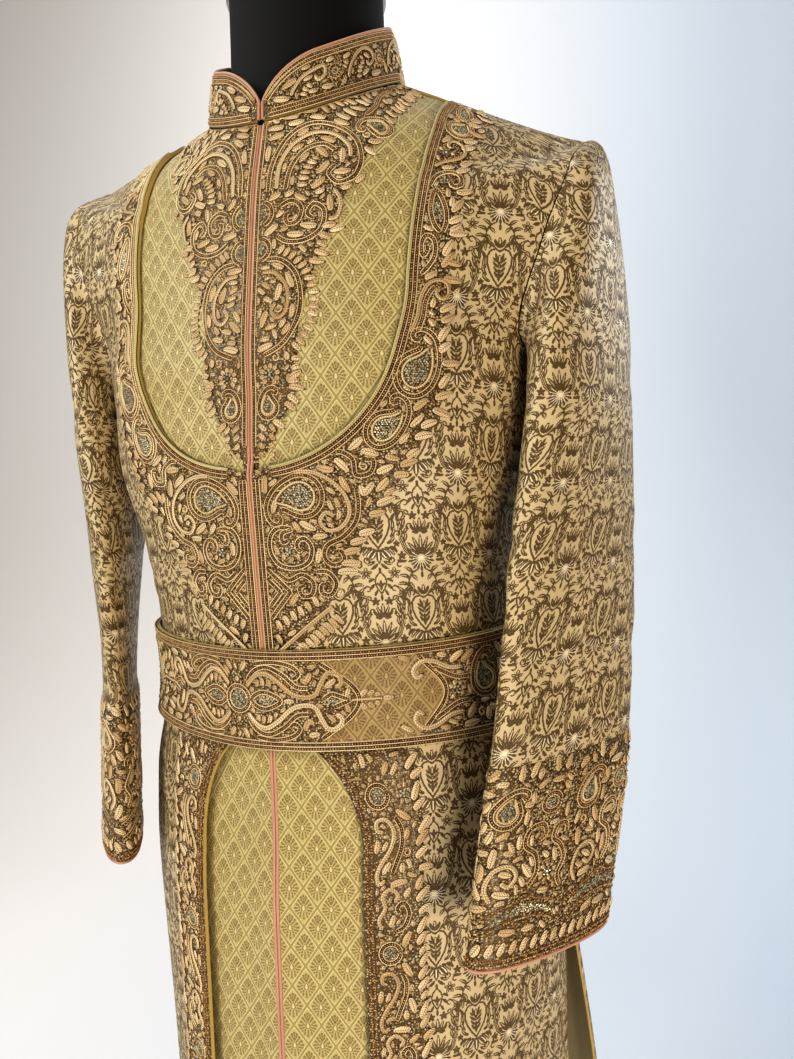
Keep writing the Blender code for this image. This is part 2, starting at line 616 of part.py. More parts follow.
def make_sleeves(material):
    """Each sleeve has an upper piece outside and an under piece inside, seamed at its front and back folds."""
    (front_edge, front_angle), (back_edge, back_angle) = armhole("front"), armhole("back")
    edge = np.concatenate([front_edge[:0:-1], back_edge[:-1]])
    angle = np.concatenate([front_angle[:0:-1], back_angle[:-1]])
    count, low = len(edge), ARM_ROWS - 1
    under = np.arange(low - UNDER_STEPS, low + UNDER_STEPS + 1)
    upper = np.arange(low + UNDER_STEPS, low - UNDER_STEPS + count + 1) % count
    for side in SLEEVES:
        ring = sleeve_grid(side, edge, angle)[:, ::-1]
        normals = grid_normals(ring, True)
        for name, picked in (("upper", upper), ("under", under)):
            picked = count - 1 - picked[::-1]
            points, away = ring[:, picked], normals[:, picked]
            for end, beside in ((0, 1), (-1, -2)):
                inwards = points[:, beside] - points[:, end]
                inwards /= np.linalg.norm(inwards, axis=1, keepdims=True)
                points[:, end] += inwards * GAP
            worked = np.zeros(points.shape[:2])
            worked[:2] = EMBROIDERY
            if side == "right":
                points, away, worked = points[:, ::-1] * MIRROR, away[:, ::-1] * MIRROR, worked[:, ::-1]
            laid_wall("sleeve_" + name + "_" + side, points, away, material, raised=worked,
                      other=side == "right")


# ---------------------------------------------------------------- the collar
COLLAR_HEIGHT = 0.043
COLLAR_LEAN = 0.006         # how far the collar leans in over its height
COLLAR_CORNER = 0.050       # how soon its rounded front corner reaches the full height
COLLAR_ROUND = 2.0
COLLAR_ROWS = 5
COLLAR_LIFT = 0.0012        # how far the collar starts above the neck's edge


def neckline():
    """The neck's edge from the centre front round the wearer's left to the centre back."""
    front = block_point("front", np.linspace(0.0, 1.0, 60), NECK_Z)
    back = block_point("back", np.linspace(1.0, 0.0, 60), NECK_Z)
    path = np.concatenate([front, back[1:]])
    return path, np.concatenate([[0.0], np.cumsum(np.linalg.norm(np.diff(path, axis=0), axis=1))])


def collar_height(distance):
    """The collar's height above the neckline, this far round from the centre front."""
    share = np.clip(1.0 - np.asarray(distance) / COLLAR_CORNER, 0.0, 1.0)
    return COLLAR_HEIGHT * (1 - share**COLLAR_ROUND) ** (1 / COLLAR_ROUND)


def collar_stations():
    """Places along the neckline, from the centre front to the centre back, closer in the corner."""
    _, run = neckline()
    corner = CENTRE_EDGE + (COLLAR_CORNER - CENTRE_EDGE) * np.linspace(0.0, 1.0, 8) ** 1.7
    return np.concatenate([corner, np.linspace(COLLAR_CORNER, run[-1], 13)[1:]])


def collar_point(distance, height):
    """A point of the left half of the collar, this far round from the centre front and this high."""
    path, run = neckline()
    base, ahead, behind = (
        np.stack([np.interp(distance + step, run, path[:, k]) for k in range(3)], -1) for step in (0, 0.002, -0.002)
    )
    along = ahead - behind
    outward = np.stack([along[..., 1], -along[..., 0], 0 * along[..., 0]], -1)
    outward /= np.linalg.norm(outward, axis=-1, keepdims=True)
    height = np.asarray(height)[..., None]
    return base - outward * COLLAR_LEAN * height / COLLAR_HEIGHT + np.array([0.0, 0.0, 1.0]) * (height + COLLAR_LIFT)


def whole(left):
    """A grid of the left half, from the centre front to the centre back, made into the whole round."""
    return np.concatenate([left, left[:, -2::-1] * MIRROR], axis=1)


def make_collar(material, piping):
    distances = collar_stations()
    rows = [collar_point(distances, collar_height(distances) * share) for share in np.linspace(0.0, 1.0, COLLAR_ROWS)]
    points = whole(np.array(rows))
    normals = grid_normals(points)
    laid_wall("collar", points, normals, material)
    # the piping follows the collar's front and top edges, clear of them by a gap
    edge = np.stack([distances, collar_height(distances)], -1)
    start = [[CENTRE_EDGE, 0.0012], [CENTRE_EDGE, edge[0, 1] * 0.6]]
    edge = np.concatenate([start, edge])
    run = np.gradient(edge, axis=0)
    run /= np.linalg.norm(run, axis=1, keepdims=True)
    run[:2] = (0.0, 1.0)
    run[-1] = (1.0, 0.0)
    away = edge + np.stack([-run[:, 1], run[:, 0]], -1) * (PIPING_RADIUS + 1.3 * GAP)
    away[:, 0] = np.maximum(away[:, 0], PIPING_RADIUS + 0.5 * GAP)
    path = whole(collar_point(away[:, 0], away[:, 1])[None])[0]
    inwards = path * np.array([-1.0, -1.0, 0.0])
    inwards /= np.linalg.norm(inwards, axis=1, keepdims=True)
    inwards[np.abs(path[:, 0]) < 0.01, 0] = 0.0
    tube("collar_piping", path + inwards * CLOTH / 2, PIPING_RADIUS, piping)


# ---------------------------------------------------------------- the belt
BELT_THICK = 0.0030
BELT_CLEAR = 0.0016         # how far the belt stays off the coat
BELT_WORK = 0.0010          # how far the belt's worked face stands above its edges
BELT_COLUMNS = 15           # in each half of the front and of the back
BELT_ROWS = (0.0, 0.07, 0.93, 1.0)


def make_belt(material):
    """A band all round the waist, which meets end to end at the centre back."""
    across = {"front": np.linspace(0.0, 1.0, BELT_COLUMNS), "back": np.linspace(1.0, 0.0, BELT_COLUMNS)[1:]}
    rows, away = [], []
    for share in BELT_ROWS:
        points, normals = [], []
        for half in ("front", "back"):
            rise = BELT_SIDE_RISE * (across[half] ** 1.5 if half == "front" else np.ones(BELT_COLUMNS - 1))
            level = BELT_BOTTOM_Z + (BELT_TOP_Z + rise - BELT_BOTTOM_Z) * share
            points.append(block_point(half, across[half], level))
            normals.append(block_normal(half, across[half], level))
        for found, kept in ((points, rows), (normals, away)):
            left = np.concatenate(found)
            kept.append(np.concatenate([left[:0:-1] * MIRROR, left]))
    rows, away = np.array(rows), np.array(away)
    rows[:, 0, 0] -= GAP
    rows[:, -1, 0] += GAP
    worked = np.zeros(rows.shape[:2])
    worked[1:-1] = BELT_WORK
    laid_wall("belt", rows, away, material, -(BELT_CLEAR + BELT_THICK), BELT_THICK, worked)


# ---------------------------------------------------------------- the piping
def make_centre_piping(material):
    """A fine cord down the edge of each side, from the neck to the hem of the straight panels."""
    levels = np.concatenate([
        np.linspace(HEM_Z + 0.005, 0.85, 9), np.linspace(0.85, 1.04, 8)[1:], np.linspace(1.04, 1.12, 4)[1:],
        np.linspace(1.12, 1.17, 5)[1:], np.linspace(1.17, NECK_Z, 14)[1:],
    ])
    centre = block_point("front", 0.0, levels)
    out = block_normal("front", 0.0, levels)
    skirt = skirt_panel_below(CENTRE_EDGE, levels)
    on_front = np.clip((levels - 0.95) / 0.05, 0.0, 1.0)
    on_inset = np.clip((levels - U_BOTTOM_Z + 0.006) / 0.012, 0.0, 1.0)
    below = skirt * (1 - on_front) + LAYER * on_inset
    path = centre - out * (below + 0.4 * CLOTH)[:, None]
    path[-1] += (path[-2] - path[-1]) * 0.12
    path[:, 0] = PIPING_RADIUS + 0.5 * GAP
    tube("front_piping_left", path, PIPING_RADIUS, material)
    tube("front_piping_right", path * MIRROR, PIPING_RADIUS, material)


def make_cuff_piping(material):
    """A cord under the edge of each cuff."""
    for side in SLEEVES:
        ring = sleeve_ring(side, SLEEVES[side]["cuff"][0], np.linspace(0.0, 360.0, 28, endpoint=False))
        away = ring - ring.mean(axis=0)
        away /= np.linalg.norm(away, axis=1, keepdims=True)
        path = ring - away * 0.0006 - np.array([0.0, 0.0, PIPING_RADIUS + 2 * GAP])
        if side == "right":
            path = path[::-1] * MIRROR
        tube("cuff_piping_" + side, path, PIPING_RADIUS, material, closed=True)


# ---------------------------------------------------------------- the dress form and its stand
FORM_BOTTOM_Z = 0.720
FORM_CLEAR = 0.0090         # how far the form stays inside the coat's outer face
FORM_HIP_CLEAR = 0.028      # and at the bottom of the form, where the skirt hangs free
FORM_WAIST_CLEAR = 0.003    # more of it below the waist, where the coat has two layers
FORM_WAIST_Z = 1.000
NECK_COLUMNS = ("front_z", "back_z", "half_x", "front_y", "back_y")
NECK = {
    "base": (1.424, 1.480, 0.0705, -0.084, 0.056),
    "low": (1.458, 1.496, 0.0675, -0.077, 0.0585),
    "top": (1.545, 1.545, 0.0665, -0.0745, 0.0585),
}
CAP_RADIUS = 0.0690
CAP_Z = 1.5455
CAP_HEIGHT = 0.034
CAP_Y = -0.008
POLE_RADIUS = 0.014
BASE_RADIUS = 0.190
BASE_HEIGHT = 0.022


def form_ring(level, around):
    """A ring of the form at one level: down the front from the centre to the side, and back."""
    share = np.clip((FORM_WAIST_Z - level) / (FORM_WAIST_Z - FORM_BOTTOM_Z), 0.0, 1.0)
    clear = FORM_CLEAR + FORM_WAIST_CLEAR * min(1.0, 8 * share) + (FORM_HIP_CLEAR - FORM_CLEAR) * share
    front, back = (
        block_point(half, around, level) - block_normal(half, around, level) * clear for half in ("front", "back")
    )
    left = np.concatenate([front, back[::-1]])
    return np.concatenate([left, left[-2:0:-1] * MIRROR])


def neck_ring(row, steps):
    """A ring of the form's neck with as many points as the rings below it."""
    front_z, back_z, half_x, front_y, back_y = row
    angles = np.concatenate([np.linspace(-90.0, -3.0, steps), np.linspace(3.0, 90.0, steps)])
    angles = np.radians(np.concatenate([angles, 180.0 - angles[-2:0:-1]]))
    across = (1 + np.sin(angles)) / 2
    return np.stack([
        half_x * np.cos(angles), front_y + (back_y - front_y) * across, front_z + (back_z - front_z) * across,
    ], -1)


def make_form(skin, metal):
    around = np.linspace(0.0, 1.0, 8)
    levels = np.concatenate([
        np.linspace(FORM_BOTTOM_Z, 0.96, 4), np.linspace(0.96, UNDERARM_Z, 6)[1:],
        UNDERARM_Z + (TIP_Z - 0.004 - UNDERARM_Z) * np.array([0.12, 0.35, 0.62, 0.84, 1.0]),
        [1.430, 1.446, NECK_Z],
    ])
    rings = [form_ring(level, around) for level in levels]
    count = len(rings[0])
    rings += [neck_ring(row, len(around)) for row in NECK.values()]
    rings = np.array(rings)
    bottom, top = rings[0].mean(axis=0), rings[-1].mean(axis=0)
    bottom[2] -= 0.012
    points = np.concatenate([rings.reshape(-1, 3), [bottom, top]])
    rows = len(rings)
    faces = quads(rows, count, 0, True)
    low, high, start = rows * count, rows * count + 1, (rows - 1) * count
    faces += [(low, (j + 1) % count, j) for j in range(count)]
    faces += [(high, start + j, start + (j + 1) % count) for j in range(count)]
    add_solid("form_torso", points, faces, skin, 60.0)

    z = CAP_Z
    turned_body("form_neck_cap", [
        (0.0, z), (CAP_RADIUS, z), (CAP_RADIUS, z + 0.016), (CAP_RADIUS - 0.004, z + 0.021),
        (0.040, z + 0.029), (0.0, z + CAP_HEIGHT),
    ], metal, (0.0, CAP_Y))
    under = float(bottom[2]) - 0.0005
    turned_body("form_pole", [
        (0.0, BASE_HEIGHT + 0.0003), (0.026, BASE_HEIGHT + 0.0003), (0.026, BASE_HEIGHT + 0.030),
        (POLE_RADIUS, BASE_HEIGHT + 0.036), (POLE_RADIUS, under - 0.030), (0.024, under - 0.024),
        (0.024, under), (0.0, under),
    ], metal, (0.0, 0.0), 20)
    turned_body("form_base", [
        (0.0, 0.0), (BASE_RADIUS, 0.0), (BASE_RADIUS, 0.006), (BASE_RADIUS - 0.006, 0.011),
        (0.110, 0.017), (0.050, BASE_HEIGHT), (0.0, BASE_HEIGHT),
    ], metal, (0.0, 0.0), 48)


# ---------------------------------------------------------------- materials
MATERIALS = {
    #                     red    green  blue   rough metal
    "damask_brocade":    (0.560, 0.450, 0.270, 0.62, 0.0),
    "lattice_brocade":   (0.640, 0.520, 0.250, 0.50, 0.0),
    "worked_brocade":    (0.420, 0.300, 0.150, 0.45, 0.0),
    "rose_piping":       (0.560, 0.300, 0.250, 0.60, 0.0),
    "black_cover":       (0.012, 0.012, 0.014, 0.75, 0.0),
    "brushed_metal":     (0.600, 0.590, 0.570, 0.35, 1.0),
}


def make_material(name):
    red, green, blue, rough, metal = MATERIALS[name]
    material = bpy.data.materials.new(name)
    material.use_nodes = True
    shader = material.node_tree.nodes["Principled BSDF"]
    shader.inputs["Base Color"].default_value = (red, green, blue, 1.0)
    shader.inputs["Roughness"].default_value = rough
    shader.inputs["Metallic"].default_value = metal
    return material


def main():
    for obj in list(bpy.data.objects):
        bpy.data.objects.remove(obj)
    made = {name: make_material(name) for name in MATERIALS}
    make_fronts(made["damask_brocade"])
    make_insets(made["lattice_brocade"])
    make_skirt_panels(made["lattice_brocade"])
    make_back(made["damask_brocade"])
    make_sleeves(made["damask_brocade"])
    make_collar(made["worked_brocade"], made["rose_piping"])
    make_belt(made["worked_brocade"])
    make_centre_piping(made["rose_piping"])
    make_cuff_piping(made["rose_piping"])
    make_form(made["black_cover"], made["brushed_metal"])


main()
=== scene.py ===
# %% [markdown]
# # A worked sherwani on a dress form
# A sherwani is a long fitted coat from South Asia. This lesson dresses its packed model, the frame, as a
# maker would: first the woven cloth on every panel, then the raised metal-thread work, and last the piping,
# the form and the light. Everything is in metres, with the front towards -Y and the wearer's left at +X.

# %% Load the frame and the tools
import math
import random

import bmesh
import bpy
import numpy as np
from mathutils import Matrix, Vector


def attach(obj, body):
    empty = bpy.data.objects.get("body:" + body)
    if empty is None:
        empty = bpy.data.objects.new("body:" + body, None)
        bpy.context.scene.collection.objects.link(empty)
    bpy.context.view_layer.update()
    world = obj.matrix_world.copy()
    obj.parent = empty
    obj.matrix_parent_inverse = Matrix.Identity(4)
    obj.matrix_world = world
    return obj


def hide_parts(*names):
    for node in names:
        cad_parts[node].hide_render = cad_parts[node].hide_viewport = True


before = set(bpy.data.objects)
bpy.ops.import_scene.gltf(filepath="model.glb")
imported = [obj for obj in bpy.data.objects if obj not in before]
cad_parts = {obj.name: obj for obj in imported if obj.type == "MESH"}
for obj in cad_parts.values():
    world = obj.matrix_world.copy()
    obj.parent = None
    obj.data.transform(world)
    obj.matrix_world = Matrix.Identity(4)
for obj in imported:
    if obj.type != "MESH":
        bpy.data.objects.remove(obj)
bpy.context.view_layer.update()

# %% [markdown]
# ## The camera
# The camera comes first, because all later choices of scale depend on what it sees. It stands a short
# step in front of the coat's left breast and looks slightly down, with a moderately wide lens.

# %% The camera
CAMERA_AT = (0.310, -0.653, 1.124)
CAMERA_YAW, CAMERA_DOWN, CAMERA_ROLL = 20.82, 2.98, -2.26       # degrees
FOCAL_PIXELS, HIGH_PIXELS = 792.0, 1059                         # the lens and the height of the frame


def make_camera():
    """A camera turned by yaw, then down, then rolled about its own axis."""
    yaw, down, roll = (math.radians(v) for v in (CAMERA_YAW, CAMERA_DOWN, CAMERA_ROLL))
    ahead = Vector((-math.sin(yaw) * math.cos(down), math.cos(yaw) * math.cos(down), -math.sin(down)))
    right = Vector((math.cos(yaw), math.sin(yaw), 0.0))
    up = right.cross(ahead)
    turned_right = right * math.cos(roll) + up * math.sin(roll)
    turned_up = up * math.cos(roll) - right * math.sin(roll)
    data = bpy.data.cameras.new("camera")
    data.sensor_fit = "VERTICAL"
    data.sensor_height = 36.0
    data.lens = data.sensor_height * FOCAL_PIXELS / HIGH_PIXELS
    data.clip_start = 0.02
    camera = bpy.data.objects.new("camera", data)
    bpy.context.scene.collection.objects.link(camera)
    turn = Matrix((turned_right, turned_up, -ahead)).transposed().to_4x4()
    camera.matrix_world = Matrix.Translation(CAMERA_AT) @ turn
    bpy.context.scene.camera = camera
    return data


print("camera lens", round(make_camera().lens, 2), "mm")

# %% [markdown]
# ## The body block
# A tailor drafts a coat on a block: a smooth shape of the body on which every panel is drawn. Here it is a
# table with a row for each level. From it comes one curve from the centre line to the side seam for the
# front and one for the back, so any number of fine rows can be laid between the named ones.

# %% Tables of the block
GAP = 0.0003                # what is left between two pieces that meet
CLOTH = 0.0020              # thickness of the cloth with its backing
WORK = 0.0012               # how far the worked bed stands above the plain cloth
LAYER = 0.0029              # how far an under layer lies below the layer on it
HEM_Z, SLIT_TOP_Z, OPENING_TOP_Z, U_BOTTOM_Z = 0.420, 0.800, 0.945, 1.143
BELT_BOTTOM_Z, BELT_TOP_Z, BELT_SIDE_RISE = 0.929, 1.006, 0.008
PIPING_RADIUS = 0.0013
CENTRE_EDGE = 2 * PIPING_RADIUS + 1.5 * GAP         # where cloth starts beside the centre piping
HANG_BACK, HANG_DOWN = 0.010, 0.014                 # how far the left shoulder sits back and down
HANG_FROM_Z, HANG_FULL_Z, HANG_FROM_X, HANG_FULL_X = 1.19, 1.40, 0.06, 0.24

BLOCK_COLUMNS = ("side_z", "front_z", "front_y", "back_z", "back_y",
                 "front_side_x", "front_side_y", "back_side_x", "back_side_y")
BLOCK = {
    "hem":       (0.420, 0.420, -0.147, 0.420, 0.168, 0.196, 0.054, 0.222, 0.072),
    "knee":      (0.600, 0.600, -0.143, 0.600, 0.158, 0.192, 0.042, 0.212, 0.056),
    "slit_top":  (0.800, 0.800, -0.140, 0.800, 0.145, 0.196, 0.024, 0.196, 0.024),
    "hip":       (0.870, 0.870, -0.134, 0.870, 0.138, 0.192, 0.016, 0.192, 0.016),
    "waist":     (0.970, 0.970, -0.131, 0.970, 0.128, 0.170, 0.006, 0.170, 0.006),
    "rib":       (1.070, 1.070, -0.137, 1.070, 0.126, 0.170, 0.002, 0.170, 0.002),
    "chest":     (1.150, 1.150, -0.141, 1.150, 0.128, 0.187, 0.001, 0.187, 0.001),
    "underarm":  (1.212, 1.205, -0.137, 1.212, 0.128, 0.197, 0.001, 0.197, 0.001),
    "arm_start": (1.219, 1.211, -0.137, 1.219, 0.128, 0.193, -0.033, 0.192, 0.032),
    "arm_low":   (1.240, 1.229, -0.136, 1.240, 0.127, 0.187, -0.057, 0.187, 0.056),
    "arm_mid":   (1.310, 1.285, -0.128, 1.310, 0.121, 0.206, -0.061, 0.207, 0.074),
    "arm_high":  (1.380, 1.338, -0.119, 1.380, 0.104, 0.225, -0.038, 0.225, 0.052),
    "tip":       (1.414, 1.362, -0.114, 1.420, 0.100, 0.230, 0.014, 0.230, 0.014),
    "shoulder":  (1.440, 1.386, -0.107, 1.450, 0.088, 0.150, 0.002, 0.150, 0.002),
    "neck":      (1.462, 1.410, -0.100, 1.474, 0.072, 0.084, -0.012, 0.084, -0.012),
}
CORNER_COLUMNS = ("side_z", "front_full", "front_reach", "front_turn", "front_rise",
                  "back_full", "back_reach", "back_turn", "back_rise")
CORNER = {
    "hem":       (0.420, 0.46, 0.62, 80.0, 0.0, 0.60, 0.56, 78.0, 0.0),
    "slit_top":  (0.800, 0.36, 0.62, 90.0, 0.0, 0.60, 0.60, 90.0, 0.0),
    "waist":     (0.970, 0.40, 0.57, 90.0, 0.0, 0.62, 0.62, 90.0, 0.0),
    "chest":     (1.150, 0.64, 0.70, 90.0, 0.0, 0.62, 0.62, 90.0, 0.0),
    "underarm":  (1.212, 0.64, 0.68, 88.0, 2.0, 0.62, 0.62, 88.0, 2.0),
    "arm_start": (1.219, 0.57, 0.70, 76.0, 2.0, 0.55, 0.66, 73.0, 2.0),
    "arm_low":   (1.240, 0.52, 0.74, 62.0, 3.0, 0.50, 0.72, 59.0, 3.0),
    "arm_mid":   (1.310, 0.44, 0.52, 32.0, 15.0, 0.50, 0.58, 44.0, 8.0),
    "arm_high":  (1.380, 0.43, 0.50, 24.0, 25.0, 0.50, 0.50, 38.0, 18.0),
    "tip":       (1.414, 0.48, 0.46, 52.0, 25.0, 0.46, 0.46, 50.0, 22.0),
    "shoulder":  (1.440, 0.49, 0.50, 79.0, 22.0, 0.50, 0.50, 80.0, 18.0),
    "neck":      (1.462, 0.56, 0.56, 90.0, 26.0, 0.56, 0.56, 90.0, 12.0),
}
UNDERARM_Z, TIP_Z, NECK_Z = 1.212, 1.414, 1.462
print(len(BLOCK), "levels in the block")


# %% Curves through the tables
def smooth(stations, values, at):
    """A curve through the rows of a table that never swings past them."""
    stations, values, at = (np.asarray(x, float) for x in (stations, values, at))
    steps = np.diff(stations)
    grades = np.diff(values) / steps
    product = grades[:-1] * grades[1:]
    total = np.where(np.abs(grades[:-1] + grades[1:]) < 1e-9, 1.0, grades[:-1] + grades[1:])
    inner = np.where(product > 0, 2 * product / total, 0.0)
    slopes = np.concatenate([grades[:1], inner, grades[-1:]])
    low = np.clip(np.searchsorted(stations, at) - 1, 0, len(steps) - 1)
    t = np.clip((at - stations[low]) / steps[low], 0.0, 1.0)
    return (values[low] * (1 + 2 * t) * (1 - t) ** 2 + slopes[low] * steps[low] * t * (1 - t) ** 2
            + values[low + 1] * (3 - 2 * t) * t**2 - slopes[low + 1] * steps[low] * (1 - t) * t**2)


def column(table, names, name, at, creases=()):
    """One column of a table at the levels `at`. A crease is a level where it may turn sharply."""
    rows = np.array(sorted(table.values()))
    stations, values = rows[:, 0], rows[:, names.index(name)]
    at = np.asarray(at, float)
    found = np.zeros(at.shape)
    edges = [-1e9, *creases, 1e9]
    for low, high in zip(edges, edges[1:]):
        part = (stations >= low) & (stations <= high)
        found = np.where((at >= low) & (at <= high), smooth(stations[part], values[part], at), found)
    return found


def by_height(table, z):
    """A table of (height, half width) read at height z."""
    rows = np.array(list(table.values()))
    return smooth(rows[:, 0], rows[:, 1], np.clip(z, rows[0, 0], rows[-1, 0]))


print("half the width of the waist", round(float(column(BLOCK, BLOCK_COLUMNS, "front_side_x", 0.97)), 3))


# %% Points and normals of the block
def block_point(half, across, level):
    """The coat's outer face: `across` runs from 0 at the centre line to 1 at the side."""
    across, level = np.broadcast_arrays(np.asarray(across, float), np.asarray(level, float))

    def at(name, creases=()):
        return column(BLOCK, BLOCK_COLUMNS, name, level, creases)

    turns = (UNDERARM_Z, TIP_Z)
    centre = np.stack([np.zeros_like(level), at(half + "_y"), at(half + "_z")], -1)
    side = np.stack([at(half + "_side_x", turns), at(half + "_side_y", turns), level], -1)
    full, reach, turn, rise = (column(CORNER, CORNER_COLUMNS, half + "_" + name, level)
                               for name in ("full", "reach", "turn", "rise"))
    sign = 1.0 if half == "front" else -1.0
    reach = reach * np.hypot(side[..., 1] - centre[..., 1], side[..., 2] - centre[..., 2])
    turn, rise = np.radians(turn), np.radians(rise)
    heading = np.stack([np.cos(turn) * np.cos(rise), sign * np.sin(turn) * np.cos(rise), np.sin(rise)], -1)
    near_centre = centre + np.stack([full * side[..., 0], 0 * level, 0 * level], -1)
    near_side = side - heading * reach[..., None]
    t = across[..., None]
    return (centre * (1 - t) ** 3 + near_centre * 3 * t * (1 - t) ** 2
            + near_side * 3 * t**2 * (1 - t) + side * t**3)


def slant(half, across, level):
    """The outward unit normal of the block, each half by itself."""
    low, high = np.clip(across - 0.01, 0.0, 1.0), np.clip(across + 0.01, 0.0, 1.0)
    down, up = np.clip(level - 0.003, HEM_Z, NECK_Z), np.clip(level + 0.003, HEM_Z, NECK_Z)
    along = block_point(half, high, level) - block_point(half, low, level)
    rise = block_point(half, across, up) - block_point(half, across, down)
    normal = np.cross(along, rise) * (1.0 if half == "front" else -1.0)
    return normal / np.linalg.norm(normal, axis=-1, keepdims=True)


def block_normal(half, across, level):
    """The outward unit normal of the block, shared by both halves where they meet in a seam."""
    across, level = np.broadcast_arrays(np.asarray(across, float), np.asarray(level, float))
    normal = slant(half, across, level)
    end = np.ones_like(across)
    seam = slant("front", end, level) + slant("back", end, level)
    seam /= np.linalg.norm(seam, axis=-1, keepdims=True)
    seamed = (level <= UNDERARM_Z) | (level >= TIP_Z)
    share = (np.clip((across - 0.96) / 0.03, 0.0, 1.0) * seamed)[..., None]
    normal = normal * (1 - share) + seam * share
    normal[..., 0] = np.where(across < 0.002, 0.0, normal[..., 0])
    return normal / np.linalg.norm(normal, axis=-1, keepdims=True)


def hang(points):
    """The coat hangs a little askew: its left shoulder sits further back and lower than its right one."""
    points = np.array(points, float)
    high = np.clip((points[..., 2] - HANG_FROM_Z) / (HANG_FULL_Z - HANG_FROM_Z), 0.0, 1.0)
    wide = np.clip((np.abs(points[..., 0]) - HANG_FROM_X) / (HANG_FULL_X - HANG_FROM_X), 0.0, 1.0)
    share = high**2 * (3 - 2 * high) * wide**2 * (3 - 2 * wide) * np.sign(points[..., 0])
    points[..., 1] += HANG_BACK * share
    points[..., 2] -= HANG_DOWN * share
    return points


print("the chest at the centre front", block_point("front", 0.0, 1.15).round(3).tolist())

# %% Lengths along the cloth
FINE = np.linspace(0.0, 1.0, 161)


def row_lengths(half, levels):
    """How far each FINE station of each level is from the centre line, along the cloth."""
    points = block_point(half, FINE[None, :], np.atleast_1d(levels)[:, None])
    steps = np.linalg.norm(np.diff(points, axis=1), axis=2)
    return np.concatenate([np.zeros((len(points), 1)), np.cumsum(steps, axis=1)], axis=1)


def lengths_where(levels, half_width):
    """How far along each front level an outline is, half_width(z) being its distance from the centre plane."""
    points = block_point("front", FINE[None, :], levels[:, None])
    outside = points[..., 0] - half_width(points[..., 2])
    found = []
    for gap, length in zip(outside, row_lengths("front", levels)):
        hit = int(np.argmax(gap > 0))
        if gap[hit] <= 0:
            found.append(length[-1])
        elif hit == 0:
            found.append(0.0)
        else:
            found.append(float(np.interp(0.0, gap[hit - 1: hit + 1], length[hit - 1: hit + 1])))
    return np.array(found)


waist = sum(float(row_lengths(part, [0.97])[0, -1]) for part in ("front", "back"))
print("waist half girth", round(waist, 3))

# %% [markdown]
# ## Outlines drawn on the block
# The fronts are cut away in a deep U at the chest and in a tall arch below the belt. The worked borders
# follow those edges, and a worked tongue hangs from the collar between the two halves of the chest inset.

# %% Outlines
U_HALF, U_CURVE_Z, U_SPREAD, U_SPREAD_TOP_Z, U_ROUND = 0.117, 1.280, 0.075, 1.400, 2.3
OPENING_HALF, OPENING_CURVE_Z, OPENING_ROUND = 0.0705, 0.850, 1.9
TONGUE = {
    "tip": (1.147, 0.006), "point": (1.156, 0.019), "low": (1.174, 0.028), "drop": (1.206, 0.043),
    "waist": (1.250, 0.044), "swell": (1.293, 0.056), "lobe": (1.339, 0.074), "shoulder": (1.385, 0.092),
    "top": (1.430, 0.104),
}
BORDER = {
    "hem": (0.420, 0.118), "knee": (0.700, 0.118), "opening": (0.863, 0.119), "under_belt": (0.930, 0.108),
    "on_belt": (1.008, 0.031), "leaf": (1.030, 0.055), "scroll": (1.081, 0.085), "wide": (1.120, 0.113),
    "corner": (1.164, 0.138), "shoulder_leaf": (1.200, 0.151), "side": (1.270, 0.152), "top": (1.345, 0.160),
    "seam": (1.440, 0.157),
}


def u_half_width(z, grow=0.0):
    """Half the width of the deep U in the fronts at height z."""
    z = np.asarray(z, float)
    depth = np.clip((U_CURVE_Z - z) / (U_CURVE_Z - U_BOTTOM_Z + grow), 0.0, 1.0)
    curved = (U_HALF + grow) * (1 - depth**U_ROUND) ** (1 / U_ROUND)
    spread = U_SPREAD * (np.minimum(z, U_SPREAD_TOP_Z) - U_CURVE_Z)
    return np.where(z < U_CURVE_Z, curved, U_HALF + grow + spread)


def opening_half_width(z):
    """Half the width of the open front of the skirt at height z."""
    rise = np.clip((np.asarray(z, float) - OPENING_CURVE_Z) / (OPENING_TOP_Z - OPENING_CURVE_Z), 0.0, 1.0)
    return OPENING_HALF * (1 - rise**OPENING_ROUND) ** (1 / OPENING_ROUND)


print("U at the chest", round(2 * float(u_half_width(1.28)) * 1000), "mm wide")

# %% [markdown]
# ## Laying cloth on the block
# Every panel is a thin closed wall: an outer face, an inner face and the cut edges between them. Its UV map
# is the flat cloth in metres, measured along the cloth from the centre line and from the hem, so the woven
# pattern keeps its true size wherever the panel bends. The stiff brocade makes no sharp folds. Its skirts
# swing in broad waves, and a few shallow troughs pull from the underarm, the waist and the elbow.

